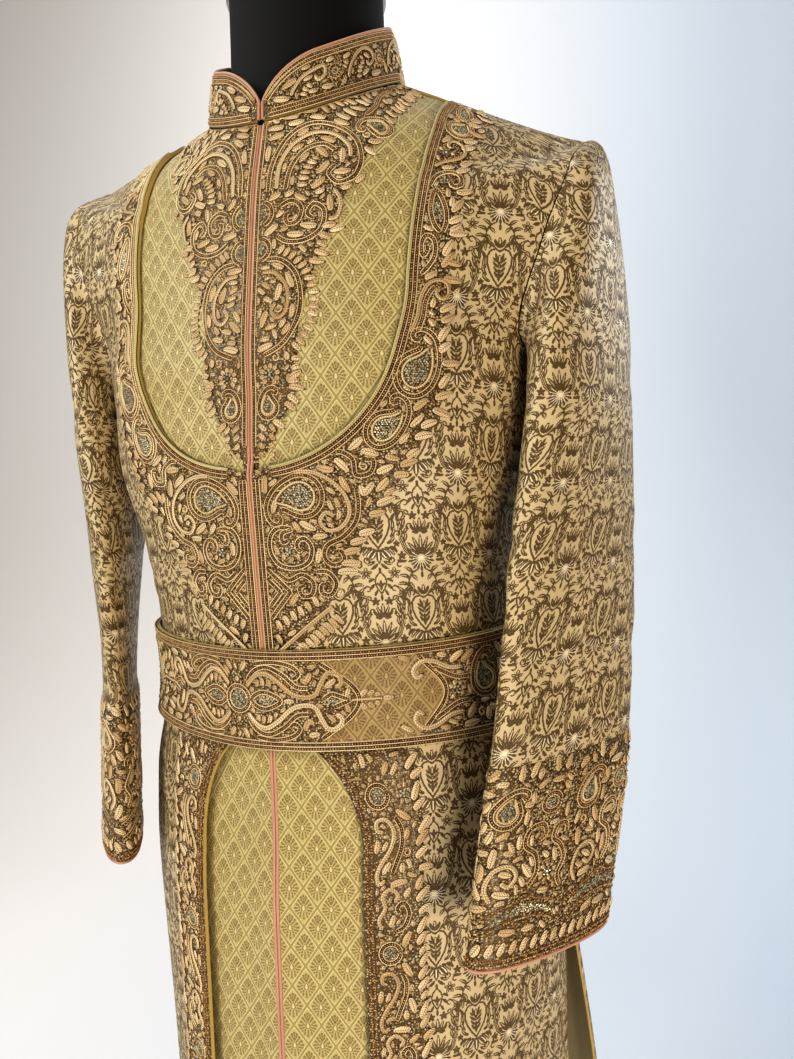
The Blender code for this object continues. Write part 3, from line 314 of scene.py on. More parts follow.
# %% Soft relief of the cloth
FOLDS = {
    # half, place and width as shares of the way across, how far out at the hem, the height where it starts
    "front_inner": ("front", 0.58, 0.09, 0.0040, 0.84),
    "front_outer": ("front", 0.82, 0.09, -0.0050, 0.86),
    "back_inner":  ("back", 0.30, 0.13, -0.0070, 0.90),
    "back_outer":  ("back", 0.66, 0.12, 0.0080, 0.88),
    "back_edge":   ("back", 0.95, 0.06, 0.0060, 0.78),
}
CREASES = {
    # half, a trough's middle (u, z), its length and width, its heading in degrees from level, its depth
    "underarm_long":  ("front", 0.205, 1.170, 0.070, 0.010, 52.0, 0.0022),
    "underarm_short": ("front", 0.188, 1.120, 0.050, 0.009, 63.0, 0.0014),
    "waist_side":     ("front", 0.180, 1.030, 0.060, 0.009, -12.0, 0.0013),
    "waist_high":     ("front", 0.165, 1.055, 0.045, 0.008, -20.0, 0.0010),
    "breast":         ("front", 0.175, 1.300, 0.070, 0.012, 78.0, 0.0016),
    "hip_pull":       ("front", 0.165, 0.870, 0.060, 0.011, 70.0, 0.0014),
    "back_yoke":      ("back", 0.120, 1.340, 0.080, 0.014, 12.0, 0.0020),
    "back_arm":       ("back", 0.195, 1.240, 0.075, 0.011, 60.0, 0.0022),
    "back_waist":     ("back", 0.110, 1.030, 0.080, 0.010, -8.0, 0.0016),
    "back_waist_low": ("back", 0.150, 1.052, 0.060, 0.009, -14.0, 0.0013),
    "back_small":     ("back", 0.060, 1.075, 0.070, 0.012, 10.0, 0.0012),
}


def relief(half, u, z, across):
    """How far the cloth stands off the block: the skirt's waves and the shallow pulled creases."""
    u, z, across = np.broadcast_arrays(np.asarray(u, float), np.asarray(z, float), np.asarray(across, float))
    lift = np.zeros(u.shape)
    for of_half, centre, width, out, top_z in FOLDS.values():
        if of_half == half:
            ramp = np.clip((top_z - z) / (top_z - HEM_Z), 0.0, 1.0)
            lift += out * ramp**1.3 * np.exp(-(((across - centre) / width) ** 2))
    for of_half, at_u, at_z, length, width, heading, depth in CREASES.values():
        if of_half == half:
            turn = math.radians(heading)
            along = (u - at_u) * math.cos(turn) + (z - at_z) * math.sin(turn)
            aside = (z - at_z) * math.cos(turn) - (u - at_u) * math.sin(turn)
            aside = aside + 0.12 * along**2 / length
            shape = np.exp(-((along / length) ** 2)) * (
                -np.exp(-((aside / width) ** 2)) + 0.55 * np.exp(-(((aside - 1.7 * width) / width) ** 2)))
            lift += depth * shape
    edge = np.clip(np.minimum(across, 1 - across) / 0.06, 0.0, 1.0)
    return np.where(z > SLIT_TOP_Z, lift * edge, lift)


print(len(FOLDS), "waves of the skirt and", len(CREASES), "pulled creases")


# %% Surfaces
class Surface:
    """A fine grid of points and normals that can be read at any flat place (u, v)."""

    def __init__(self, us, vs, points, normals):
        self.us, self.vs, self.points, self.normals = us, vs, points, normals
        steps = np.linalg.norm(np.diff(points, axis=0), axis=2)
        self.rise = vs[0] + np.concatenate([np.zeros((1, len(us))), np.cumsum(steps, axis=0)])

    def mixed(self, u, v, *grids):
        """Each grid read between its rows and columns at (u, v)."""
        i = np.clip(np.searchsorted(self.vs, v) - 1, 0, len(self.vs) - 2)
        j = np.clip(np.searchsorted(self.us, u) - 1, 0, len(self.us) - 2)
        t = np.clip((v - self.vs[i]) / (self.vs[i + 1] - self.vs[i]), 0, 1)[..., None]
        s = np.clip((u - self.us[j]) / (self.us[j + 1] - self.us[j]), 0, 1)[..., None]
        return [(g[i, j] * (1 - s) + g[i, j + 1] * s) * (1 - t)
                + (g[i + 1, j] * (1 - s) + g[i + 1, j + 1] * s) * t for g in grids]

    def at(self, u, v, height=0.0):
        """The point `height` above the place (u, v), and the normal there."""
        point, normal = self.mixed(u, v, self.points, self.normals)
        normal /= np.linalg.norm(normal, axis=-1, keepdims=True)
        return point + normal * np.asarray(height)[..., None], normal

    def up(self, u, v):
        """How far up the cloth the place (u, v) is, measured along it."""
        return self.mixed(u, v, self.rise[..., None])[0][..., 0]

    def even(self):
        """The same face with v measured along the cloth."""
        vs = np.arange(self.vs[0], self.rise[-1].max(), 0.003)
        grids = [np.stack([np.stack([np.interp(vs, self.rise[:, j], grid[:, j, k]) for k in range(3)], -1)
                           for j in range(len(self.us))], 1) for grid in (self.points, self.normals)]
        return Surface(self.us, vs, *grids)


def grid_normals(points):
    """Unit normals of a grid, rows running up and columns running towards the wearer's left."""
    normals = np.cross(np.gradient(points, axis=1), np.gradient(points, axis=0))
    return normals / np.maximum(np.linalg.norm(normals, axis=-1, keepdims=True), 1e-12)


MIRROR = np.array([-1.0, 1.0, 1.0])


def half_surface(half):
    """One half of the coat, read by arc length from its centre line and by level."""
    levels = np.unique(np.concatenate([np.arange(HEM_Z, NECK_Z, 0.004), [UNDERARM_Z, TIP_Z, NECK_Z]]))
    lengths = row_lengths(half, levels)
    us = np.linspace(0.0, lengths[:, -1].max(), 110)
    across = np.array([np.interp(us, row, FINE) for row in lengths])
    points = block_point(half, across, levels[:, None])
    normals = block_normal(half, across, levels[:, None])
    lift = relief(half, us[None, :], levels[:, None], across)
    return Surface(us, levels, points + normals * lift[..., None], normals)


def whole_surface(left):
    """A left half and its mirror image as one surface with signed u, hung a little askew."""
    us = np.concatenate([-left.us[:0:-1], left.us])
    points = np.concatenate([left.points[:, :0:-1] * MIRROR, left.points], axis=1)
    normals = np.concatenate([left.normals[:, :0:-1] * MIRROR, left.normals], axis=1)
    return Surface(us, left.vs, hang(points), normals)


front_face, back_face = (whole_surface(half_surface(half)) for half in ("front", "back"))
front_flat = front_face.even()
print("front surface", front_face.points.shape[:2], "back surface", back_face.points.shape[:2])

# %% [markdown]
# ## Walls
# One helper turns a grid of outer points and a grid of inner points into a closed wall with its UV map. The
# outer face may change its material from column to column, and the inner face and the rim are the lining.


# %% Wall builder
SHARP_ABOVE = 55.0          # degrees between two faces of a wall from which its shading breaks


def new_mesh(name, points, faces, uvs=None, material_ids=None, materials=()):
    """A mesh object at the origin, with loop UVs given per vertex."""
    mesh = bpy.data.meshes.new(name)
    mesh.from_pydata(np.asarray(points, float).tolist(), [], [list(map(int, f)) for f in faces])
    for material in materials:
        mesh.materials.append(material)
    if uvs is not None:
        layer = mesh.uv_layers.new(name="cloth")
        corners = np.empty(len(mesh.loops), dtype=np.int32)
        mesh.loops.foreach_get("vertex_index", corners)
        layer.data.foreach_set("uv", np.asarray(uvs, float)[corners].ravel())
    if material_ids is not None:
        mesh.polygons.foreach_set("material_index", np.asarray(material_ids, dtype=np.int32))
    mesh.shade_smooth()
    obj = bpy.data.objects.new(name, mesh)
    bpy.context.scene.collection.objects.link(obj)
    return obj


def cloth_wall(name, outer, inner, uv, materials, slots=None):
    """A closed wall between two grids. `slots` gives the material of each outer face, the last is the lining."""
    rows, columns = outer.shape[:2]
    count = rows * columns
    index = np.arange(count).reshape(rows, columns)
    a, b, c, d = index[:-1, :-1], index[:-1, 1:], index[1:, 1:], index[1:, :-1]
    front = np.stack([a, b, c, d], -1).reshape(-1, 4)
    back = np.stack([d, c, b, a], -1).reshape(-1, 4) + count
    rim = np.concatenate([index[0, :], index[1:, -1], index[-1, -2::-1], index[-2:0:-1, 0]])
    following = np.roll(rim, -1)
    edge = np.stack([following, rim, rim + count, following + count], -1)
    picked = np.zeros((rows - 1, columns - 1), int) if slots is None else slots
    inside = len(materials) - 1
    ids = np.concatenate([picked.ravel(), np.full(len(back), inside), np.full(len(edge), inside)])
    points = np.concatenate([outer.reshape(-1, 3), inner.reshape(-1, 3)])
    uvs = np.concatenate([uv.reshape(-1, 2), uv.reshape(-1, 2)])
    obj = new_mesh(name, points, np.concatenate([front, back, edge]), uvs, ids, materials)
    obj.data.set_sharp_from_angle(angle=math.radians(SHARP_ABOVE))
    return obj


def flat_size(outer):
    """(width, length, area) of the cut that a grid of cloth was made from."""
    across = np.linalg.norm(np.diff(outer, axis=1), axis=2).sum(axis=1)
    up = np.linalg.norm(np.diff(outer, axis=0), axis=2).sum(axis=0)
    a, b, c, d = outer[:-1, :-1], outer[:-1, 1:], outer[1:, 1:], outer[1:, :-1]
    area = 0.5 * np.linalg.norm(np.cross(c - a, d - b), axis=-1).sum()
    return float(across.max()), float(up.max()), float(area)


swatch = np.stack(np.meshgrid(np.linspace(0.0, 0.1, 3), np.linspace(0.0, 0.2, 3), [0.0]), -1)[:, :, 0]
print("a swatch of 0.1 by 0.2 m measures", [round(v, 4) for v in flat_size(swatch)])

# %% [markdown]
# ## Woven patterns from a weaver's point paper
# A jacquard weaver first draws a repeat on squared paper, one square for each crossing of threads. The same
# is done here: the repeat is drawn with arcs and leaves on a grid of squares, half a millimetre wide for the
# damask and half of that for the lattice. The grid is packed into the curves of a few RGB Curves nodes,
# fifteen rows of squares to a channel. A shader then folds the flat cloth into one repeat, reads its square,
# and so weaves the motif on any panel.

# %% Drawing on point paper
ROWS_A_CHANNEL = 15         # rows of squares packed in one number, which a curve can hold exactly
COLUMN_ENTRIES = 4          # a curve's table has 256 entries, and each column of squares takes four


def stroke_mask(x, y, points, widths):
    """True where (x, y) lies on a brush stroke through points, with its half width at each."""
    found = np.zeros(x.shape, bool)
    for (ax, ay), (bx, by), wa, wb in zip(points, points[1:], widths, widths[1:]):
        dx, dy = bx - ax, by - ay
        t = np.clip(((x - ax) * dx + (y - ay) * dy) / max(dx * dx + dy * dy, 1e-9), 0.0, 1.0)
        found |= np.hypot(x - ax - t * dx, y - ay - t * dy) < wa + (wb - wa) * t
    return found


def arc(cx, cy, radius, start, end, steps=9, shrink=0.0):
    """Points of an arc or, with shrink, of a spiral. Angles are in degrees."""
    turns = np.linspace(0.0, 1.0, steps)
    angle = np.radians(start + (end - start) * turns)
    r = radius * (1 - shrink * turns)
    return list(zip(cx + r * np.cos(angle), cy + r * np.sin(angle)))


def leaf_line(x, y, heading, length, bend=0.0, steps=7):
    """The curved middle line of a leaf from its foot, bending by `bend` degrees over its length."""
    points, angle = [(x, y)], math.radians(heading)
    for _ in range(steps - 1):
        step = length / (steps - 1)
        points.append((points[-1][0] + step * math.cos(angle), points[-1][1] + step * math.sin(angle)))
        angle += math.radians(bend) / (steps - 1)
    return points


def leaf_widths(width, steps=7, tip=0.12):
    """Half widths of a leaf that swells from its foot and closes to a point."""
    t = np.linspace(0.0, 1.0, steps)
    return list(width * (tip + (1 - tip) * np.sin(np.pi * (0.12 + 0.88 * t)) ** 0.8))


print("the tip of a bent leaf is at", [round(c, 2) for c in leaf_line(0.0, 0.0, 90.0, 8.0, 30.0)[-1]])


# %% The damask's figure
def damask_strokes():
    """Half of the damask's two motifs, in millimetres from the heart medallion's middle."""
    brown, pale = [], []

    def leaf(x, y, heading, length, width, bend=0.0, to=None):
        """A leaf with a vein of the ground's colour down its middle."""
        line = leaf_line(x, y, heading, length, bend)
        (brown if to is None else to).append((line, leaf_widths(width * (1.0 if to else 1.17))))
        if to is None and width > 1.12:
            brown.append((line[2:-1], [0.27] * (len(line) - 3), False))

    def vein(x, y, heading, length, width, bend=0.0):
        """A leaf with a pale one inside it."""
        leaf(x, y, heading, length, width, bend)
        leaf(x + 1.6 * math.cos(math.radians(heading)), y + 1.6 * math.sin(math.radians(heading)),
             heading, 0.6 * length, 0.30 * width, 0.6 * bend, pale)

    def line(points, width, to=brown, taper=1.0):
        """A stem that narrows to `taper` of its width."""
        to.append((points, list(np.linspace(width, width * taper, len(points)))))

    # the medallion, a pine of small leaves, and the crown over it
    line([(0.0, 11.3), (3.2, 13.2), (7.0, 12.0), (9.4, 7.8), (9.2, 2.2), (7.0, -3.8), (3.8, -9.2),
          (0.0, -14.0)], 0.75)
    leaf(0.0, -10.0, 90, 9.5, 1.1)
    for k, (heading, length) in enumerate(((48, 5.4), (42, 6.0), (36, 6.2), (30, 5.8))):
        leaf(0.6, -7.6 + 3.7 * k, heading, length, 0.95, 14)
    leaf(0.0, 1.6, 90, 7.4, 1.4)
    leaf(1.5, 5.6, 62, 5.2, 0.9, 20)
    leaf(0.0, 14.4, 90, 7.4, 1.5)
    leaf(1.5, 14.6, 60, 6.4, 1.1, 20)
    leaf(3.8, 14.4, 36, 5.8, 1.0, 50)
    line(arc(9.0, 15.6, 2.1, 240, 10, 8, 0.4), 0.6, taper=0.7)
    # flames that close round it
    leaf(10.9, -0.8, 72, 8.0, 1.2, 30)
    leaf(9.6, -5.6, 48, 8.4, 1.2, 50)
    leaf(7.2, -10.2, 24, 8.0, 1.2, 60)
    leaf(11.2, 5.6, 88, 7.4, 1.1, -50)
    line(arc(14.9, -3.2, 2.0, 120, -130, 8, 0.4), 0.6, taper=0.7)
    # the drooping lotus beneath it
    vein(0.0, -15.8, -90, 10.0, 1.8)
    vein(1.6, -15.6, -64, 10.0, 1.5, 35)
    vein(3.2, -14.8, -40, 10.6, 1.5, -38)
    leaf(5.2, -13.8, -16, 9.4, 1.2, -70)
    leaf(8.6, -13.4, -6, 7.6, 1.1, -95)
    leaf(1.6, -26.0, -52, 6.4, 1.1, 40)
    leaf(3.8, -24.0, -38, 6.8, 1.2, 60)
    line(arc(9.6, -23.4, 2.4, 200, -70, 9, 0.4), 0.65, taper=0.7)
    # the drop that hangs from it, with its fringe
    line([(0.0, -29.6), (0.0, -31.4)], 0.9)
    line([(0.0, -31.8), (3.2, -35.6), (4.2, -39.4), (3.0, -44.0), (0.0, -48.6)], 0.6)
    leaf(0.0, -45.2, 90, 7.4, 1.1)
    leaf(0.6, -42.6, 48, 3.6, 0.7)
    leaf(4.8, -37.4, -8, 5.2, 1.0, -60)
    leaf(4.6, -41.4, -34, 5.4, 1.0, -40)
    leaf(2.8, -45.8, -56, 5.0, 0.9, -20)
    leaf(0.0, -49.6, -90, 4.4, 0.9)
    # the burst, and the fan that stands on it
    cy = 42.0
    for k, heading in enumerate(range(24, -91, -19)):
        turn = math.radians(heading)
        leaf(3.4 * math.cos(turn), cy + 3.4 * math.sin(turn), heading, 6.0 if k % 2 else 7.2, 1.05)
        line([(2.6 * math.cos(turn + 0.16), cy + 2.6 * math.sin(turn + 0.16)),
              (7.8 * math.cos(turn + 0.16), cy + 7.8 * math.sin(turn + 0.16))], 0.28, pale)
    line([(0.0, cy), (0.1, cy)], 1.7, pale)
    for heading, length, bend in ((90, 14.6, 0.0), (73, 13.6, -8), (56, 12.0, -16), (38, 9.6, -10)):
        turn = math.radians(heading)
        leaf(3.8 * math.cos(turn), cy + 3.8 * math.sin(turn), heading, length, 1.4, bend)
    # a palmette in the space above the fan
    leaf(0.0, cy + 21.0, 90, 10.0, 1.5)
    leaf(1.3, cy + 21.4, 60, 8.4, 1.2, 20)
    leaf(2.8, cy + 21.0, 30, 6.8, 1.1, 44)
    leaf(0.9, cy + 20.4, -24, 5.4, 1.0, 60)
    # feathered stems that sweep outwards from it, and the leaves on them
    for offset, width in ((0.0, 0.55), (1.5, 0.5), (2.8, 0.42)):
        line([(5.2 + 0.6 * offset, cy + 3.0 - offset), (10.2 + 0.8 * offset, cy + 7.6 - 0.6 * offset),
              (13.2 + 0.9 * offset, cy + 16.0 - 0.3 * offset), (14.2 + 0.8 * offset, cy + 26.0),
              (16.4 + 0.5 * offset, cy + 35.0), (19.6 + 0.1 * offset, cy + 40.0)], width, taper=0.8)
    leaf(12.4, cy + 13.0, 116, 7.6, 1.2, -30)
    leaf(13.0, cy + 19.0, 140, 7.4, 1.2, -40)
    leaf(13.4, cy + 23.0, 112, 9.0, 1.3, -30)
    leaf(14.6, cy + 29.0, 146, 8.0, 1.2, -50)
    leaf(15.6, cy + 33.0, 106, 9.4, 1.4, -20)
    leaf(17.2, cy + 36.6, 76, 9.0, 1.3, -50)
    leaf(19.0, cy + 39.6, 40, 6.6, 1.1, -70)
    line(arc(7.6, cy + 24.6, 2.4, -60, 210, 9, 0.4), 0.65, taper=0.7)
    line(arc(9.8, cy + 34.6, 2.4, -40, 230, 9, 0.4), 0.65, taper=0.7)
    # scrolls under the burst that reach the next stems
    line([(3.4, cy - 8.8), (7.4, cy - 11.0), (10.2, cy - 15.8), (11.6, cy - 21.6), (15.2, cy - 26.0)], 0.62)
    for x, y, heading, length, width, bend in (
            (7.2, -11.0, 54, 7.8, 1.3, -46), (9.8, -15.0, 40, 8.4, 1.3, -56), (11.2, -20.0, 30, 8.2, 1.3, -64),
            (8.8, -12.8, 200, 6.8, 1.2, 56), (11.0, -18.2, 214, 7.6, 1.2, 56), (12.4, -23.4, 238, 7.0, 1.2, 50),
            (15.0, -25.8, -46, 7.0, 1.2, 60), (13.8, -24.6, 10, 6.6, 1.2, 70)):
        leaf(x, cy + y, heading, length, width, bend)
    line(arc(21.6, cy - 22.4, 2.4, 150, -110, 9, 0.4), 0.65, taper=0.7)
    leaf(11.8, cy - 1.8, -8, 6.8, 1.1, 44)
    line(arc(16.6, cy - 4.4, 2.2, 110, -140, 9, 0.4), 0.65, taper=0.7)
    leaf(0.0, cy - 10.6, -90, 4.6, 1.0)
    # small florets in the spaces that are left
    for x, y, radius in ((21.0, 31.5, 4.5), (14.5, 44.5, 3.3), (26.5, 10.0, 3.3), (18.0, 53.5, 2.7)):
        for heading in range(18, 378, 72):
            turn = math.radians(heading)
            leaf(x + 0.24 * radius * math.cos(turn), y + 0.24 * radius * math.sin(turn), heading,
                 0.76 * radius, 0.26 * radius)
    return brown, pale


print("strokes of the damask:", [len(strokes) for strokes in damask_strokes()])


# %% Charts of the damask and the lattice
def chart_of(strokes, half_width, half_height, square):
    """The folded half-drop repeat as a grid of True and False, rows running up. Later strokes cover earlier."""
    columns, rows = round(half_width / square), round(half_height / square)
    x, y = np.meshgrid((np.arange(columns) + 0.5) * square, (np.arange(rows) + 0.5) * square)
    chart = np.zeros(x.shape, bool)
    for points, widths, *filled in strokes:
        for k in range(-3, 4):
            cx, cy = (half_width if k % 2 else 0.0), k * half_height
            for side in (1, -1):
                chart[stroke_mask(side * (x - cx), y - cy, points, widths)] = filled != [False]
    return chart


DAMASK_HALF, DAMASK_SQUARE = (31.5, 64.5), 0.5           # half the repeat and one square, in millimetres
damask_brown, damask_pale = (chart_of(s, *DAMASK_HALF, DAMASK_SQUARE) for s in damask_strokes())
damask_brown &= ~damask_pale
print("damask", damask_brown.shape, "covers", round(float(damask_brown.mean()), 2))


def lattice_strokes():
    """The drop inside each diamond of the chest cloth: two rings of small scales round a pale heart."""
    brown, pale = [], []

    def rim(heading, size):
        """A place on an upright drop whose tip points up."""
        turn = math.radians(heading)
        rise = math.sin(turn)
        return (size * 6.9 * math.cos(turn) * (1 - 0.26 * rise),
                size * (8.0 * rise + 1.8 * max(0.0, rise) ** 3) - 0.9)

    for heading in (90, 66, 44, 23, 2, -19, -42, -66, -90):
        brown.append(([rim(heading, 0.72), rim(heading, 1.0)], [0.55, 0.92]))
        brown.append(([rim(heading, 0.80), rim(heading, 0.93)], [0.13, 0.17], False))
    for heading in (78, 46, 12, -22, -56, -90):
        brown.append(([rim(heading, 0.44), rim(heading, 0.58)], [0.45, 0.62]))
    brown.append(([rim(a, 0.27) for a in range(90, -91, -20)], [0.30] * 10))
    pale.append(([(0.0, -2.0), (0.0, -0.6), (0.0, 1.2)], [0.85, 0.70, 0.25]))
    return brown, pale


LATTICE_HALF, LATTICE_SQUARE = (11.5, 15.5), 0.25
lattice_brown, lattice_pale = (chart_of(s, *LATTICE_HALF, LATTICE_SQUARE) for s in lattice_strokes())
lattice_brown &= ~lattice_pale
print("lattice", lattice_brown.shape, "covers", round(float(lattice_brown.mean()), 2))

# %% [markdown]
# ## A short language for shader trees
# Shader trees get long when every square of a chart has to be found by arithmetic. These helpers write a
# Math node as a call, so a formula in the script reads like a formula.


# %% Shader helpers
class Tree:
    """A material's node tree with short calls for its most used nodes."""

    def __init__(self, name, colour, rough, metal=0.0, sheen=0.0):
        self.material = bpy.data.materials.new(name)
        self.material.use_nodes = True
        self.tree = self.material.node_tree
        self.shader = self.tree.nodes["Principled BSDF"]
        self.set(self.shader, "Base Color", (*colour, 1.0))
        self.set(self.shader, "Roughness", rough)
        self.set(self.shader, "Metallic", metal)
        self.set(self.shader, "Sheen Weight", sheen)
        self.set(self.shader, "Sheen Roughness", 0.4)

    def new(self, kind, **facts):
        """A shader node with some of its settings."""
        node = self.tree.nodes.new("ShaderNode" + kind)
        for key, value in facts.items():
            setattr(node, key, value)
        return node

    def set(self, node, socket, value):
        """Links an output to a socket, or gives the socket a value."""
        if hasattr(value, "is_output"):
            self.tree.links.new(value, node.inputs[socket])
        else:
            node.inputs[socket].default_value = value

    def math(self, operation, a, b=0.0, c=0.0):
        """One step of arithmetic."""
        node = self.new("Math", operation=operation)
        for k, value in enumerate((a, b, c)):
            self.set(node, k, value)
        return node.outputs[0]

    def mix(self, share, a, b):
        """Colour a at share 0 and colour b at share 1."""
        node = self.new("Mix", data_type="RGBA")
        self.set(node, 0, share)
        for k, value in ((6, a), (7, b)):
            self.set(node, k, value if hasattr(value, "is_output") else (*value, 1.0))
        return node.outputs[2]

    def noise(self, vector, scale, detail=2.0):
        """Soft noise from 0 to 1."""
        node = self.new("TexNoise")
        for key, value in (("Vector", vector), ("Scale", scale), ("Detail", detail)):
            self.set(node, key, value)
        return node.outputs[0]

    def cloth(self):
        """(u, v) of the flat cloth in metres."""
        node = self.new("UVMap", uv_map="cloth")
        parts = self.new("SeparateXYZ")
        self.set(parts, 0, node.outputs[0])
        return node.outputs[0], parts.outputs[0], parts.outputs[1]

    def scaled(self, vector, x, y, z=1.0):
        """A vector with each of its parts multiplied."""
        node = self.new("VectorMath", operation="MULTIPLY")
        self.set(node, 0, vector)
        self.set(node, 1, (x, y, z))
        return node.outputs[0]

    def bump(self, height, strength, distance):
        """A normal for the shader from a height."""
        node = self.new("Bump")
        for key, value in (("Height", height), ("Strength", strength), ("Distance", distance)):
            self.set(node, key, value)
        return node.outputs[0]

    def finish(self, colour=None, rough=None, normal=None):
        """Gives the shader what has been worked out, and returns the material."""
        for key, value in (("Base Color", colour), ("Roughness", rough), ("Normal", normal)):
            if value is not None:
                self.set(self.shader, key, value)
        return self.material


print("calls of a tree:", [name for name in vars(Tree) if not name.startswith("_")])


# %% Charts in a shader
def pack_channel(curve, column_bits):
    """Writes one number a column as flat steps of a curve, wide enough to be read exactly."""
    while len(curve.points) > 2:
        curve.points.remove(curve.points[1])
    total = 2.0 ** ROWS_A_CHANNEL
    for k, value in enumerate(column_bits):
        for place in (COLUMN_ENTRIES * k + 0.55, COLUMN_ENTRIES * k + 3.45):
            point = curve.points.new(place / 255.0, float(value) / total)
            point.handle_type = "VECTOR"
    for point in (curve.points[0], curve.points[-1]):
        point.handle_type = "VECTOR"


def folded_place(t, u, v, half_width, half_height, square):
    """The column and the row of the chart that a flat place falls on."""
    x = t.math("PINGPONG", t.math("MULTIPLY", u, 1000.0), half_width)
    y = t.math("FLOORED_MODULO", t.math("MULTIPLY", v, 1000.0), 2 * half_height)
    flipped = t.math("GREATER_THAN", y, half_height)
    y = t.math("SUBTRACT", y, t.math("MULTIPLY", flipped, half_height))
    other = t.math("SUBTRACT", half_width, x)
    x = t.math("ADD", x, t.math("MULTIPLY", flipped, t.math("SUBTRACT", other, x)))
    columns, rows = round(half_width / square), round(half_height / square)
    x = t.math("MINIMUM", t.math("FLOOR", t.math("DIVIDE", x, square)), columns - 1.0)
    y = t.math("MINIMUM", t.math("FLOOR", t.math("DIVIDE", y, square)), rows - 1.0)
    return x, y


def read_chart(t, chart, x, y):
    """1 where the chart's square (x, y) is filled, and 0 elsewhere."""
    rows, columns = chart.shape
    place = t.math("DIVIDE", t.math("ADD", t.math("MULTIPLY", x, float(COLUMN_ENTRIES)), 2.0), 255.0)
    wanted = t.math("FLOOR", t.math("DIVIDE", t.math("ADD", y, 0.5), float(ROWS_A_CHANNEL)))
    bit = t.math("SUBTRACT", y, t.math("MULTIPLY", wanted, float(ROWS_A_CHANNEL)))
    total = 0.0
    grey = t.new("CombineColor")
    for k in range(3):
        t.set(grey, k, place)
    channels = -(-rows // ROWS_A_CHANNEL)
    for first in range(0, channels, 3):
        node = t.new("RGBCurve")
        for k in range(3):
            curve = node.mapping.curves[k]
            start = (first + k) * ROWS_A_CHANNEL
            part = chart[start: start + ROWS_A_CHANNEL]
            bits = (part * (2 ** np.arange(len(part)))[:, None]).sum(axis=0) if len(part) else [0] * columns
            pack_channel(curve, bits)
        node.mapping.update()
        t.set(node, "Color", grey.outputs[0])
        split = t.new("SeparateColor")
        t.set(split, 0, node.outputs[0])
        for k in range(min(3, channels - first)):
            here = t.math("COMPARE", wanted, float(first + k), 0.5)
            total = t.math("MULTIPLY_ADD", split.outputs[k], here, total)
    number = t.math("ADD", t.math("MULTIPLY", total, 2.0 ** ROWS_A_CHANNEL), 0.5)
    shifted = t.math("FLOOR", t.math("DIVIDE", number, t.math("POWER", 2.0, bit)))
    return t.math("GREATER_THAN", t.math("FLOORED_MODULO", shifted, 2.0), 0.5)


print("a channel holds numbers below", 2 ** ROWS_A_CHANNEL)

# %% [markdown]
# ## The woven cloths
# The damask has a warm beige satin ground with fine ribs, and its figure is brown with a few white threads
# in the middle of each flower. The chest and skirt panels are a yellower brocade: olive ribbons between pale
# lines cross in a lattice, and a scaled drop fills each diamond. In both cloths the figure is a little rougher
# than the ground and stands up from it, so the two differ in gloss as well as in colour.


# %% Brocade materials
WAVE_RATE = 20.0            # radians a metre in a Wave texture of scale 1


def satin_ribs(t, vector, pitch, lean):
    """Fine ribs of thread, `pitch` apart, with their turbulence stretched by `lean` up the cloth."""
    wave = t.new("TexWave", wave_type="BANDS", bands_direction="X", wave_profile="SIN")
    t.set(wave, "Vector", t.scaled(vector, 1.0, lean))
    t.set(wave, "Scale", 2 * math.pi / (WAVE_RATE * pitch))
    t.set(wave, "Distortion", 0.4)
    return wave.outputs["Fac"]


DAMASK_GROUND = ((0.520, 0.412, 0.245), (0.440, 0.345, 0.195))
DAMASK_FIGURE = ((0.112, 0.064, 0.009), (0.058, 0.031, 0.004))
LATTICE_GROUND = ((0.445, 0.362, 0.165), (0.370, 0.296, 0.125))
LATTICE_FIGURE = (0.125, 0.078, 0.014)
LATTICE_PALE = (0.610, 0.535, 0.285)
LATTICE_RIBBON = (0.215, 0.178, 0.052)
WHITE_THREAD, STRAY_THREAD = (0.72, 0.64, 0.48), (0.66, 0.54, 0.36)


def damask_material():
    """The damask: a cloudy ribbed ground, a raised brown figure and a few white threads."""
    t = Tree("damask", DAMASK_GROUND[0], 0.46, sheen=0.08)
    vector, u, v = t.cloth()
    x, y = folded_place(t, u, v, *DAMASK_HALF, DAMASK_SQUARE)
    figure, white = read_chart(t, damask_brown, x, y), read_chart(t, damask_pale, x, y)
    cloudy = t.noise(vector, 14.0, 3.0)
    threads = t.noise(t.scaled(vector, 2400.0, 500.0), 1.0, 1.0)
    ground = t.mix(cloudy, *DAMASK_GROUND)
    brown = t.mix(threads, *DAMASK_FIGURE)
    colour = t.mix(figure, ground, brown)
    colour = t.mix(t.math("MULTIPLY", white, 0.70), colour, WHITE_THREAD)
    stray = t.math("MULTIPLY", t.math("GREATER_THAN", threads, 0.66), 0.35)
    colour = t.mix(t.math("MULTIPLY", stray, figure), colour, STRAY_THREAD)
    ribs = satin_ribs(t, vector, 0.0011, 0.6)
    raised = t.math("MULTIPLY_ADD", figure, 0.8, t.math("MULTIPLY", ribs, 0.35))
    raised = t.math("MULTIPLY_ADD", threads, 0.5, raised)
    rough = t.math("MULTIPLY_ADD", figure, 0.14, 0.50)
    return t.finish(colour, rough, t.bump(raised, 0.5, 0.00018))


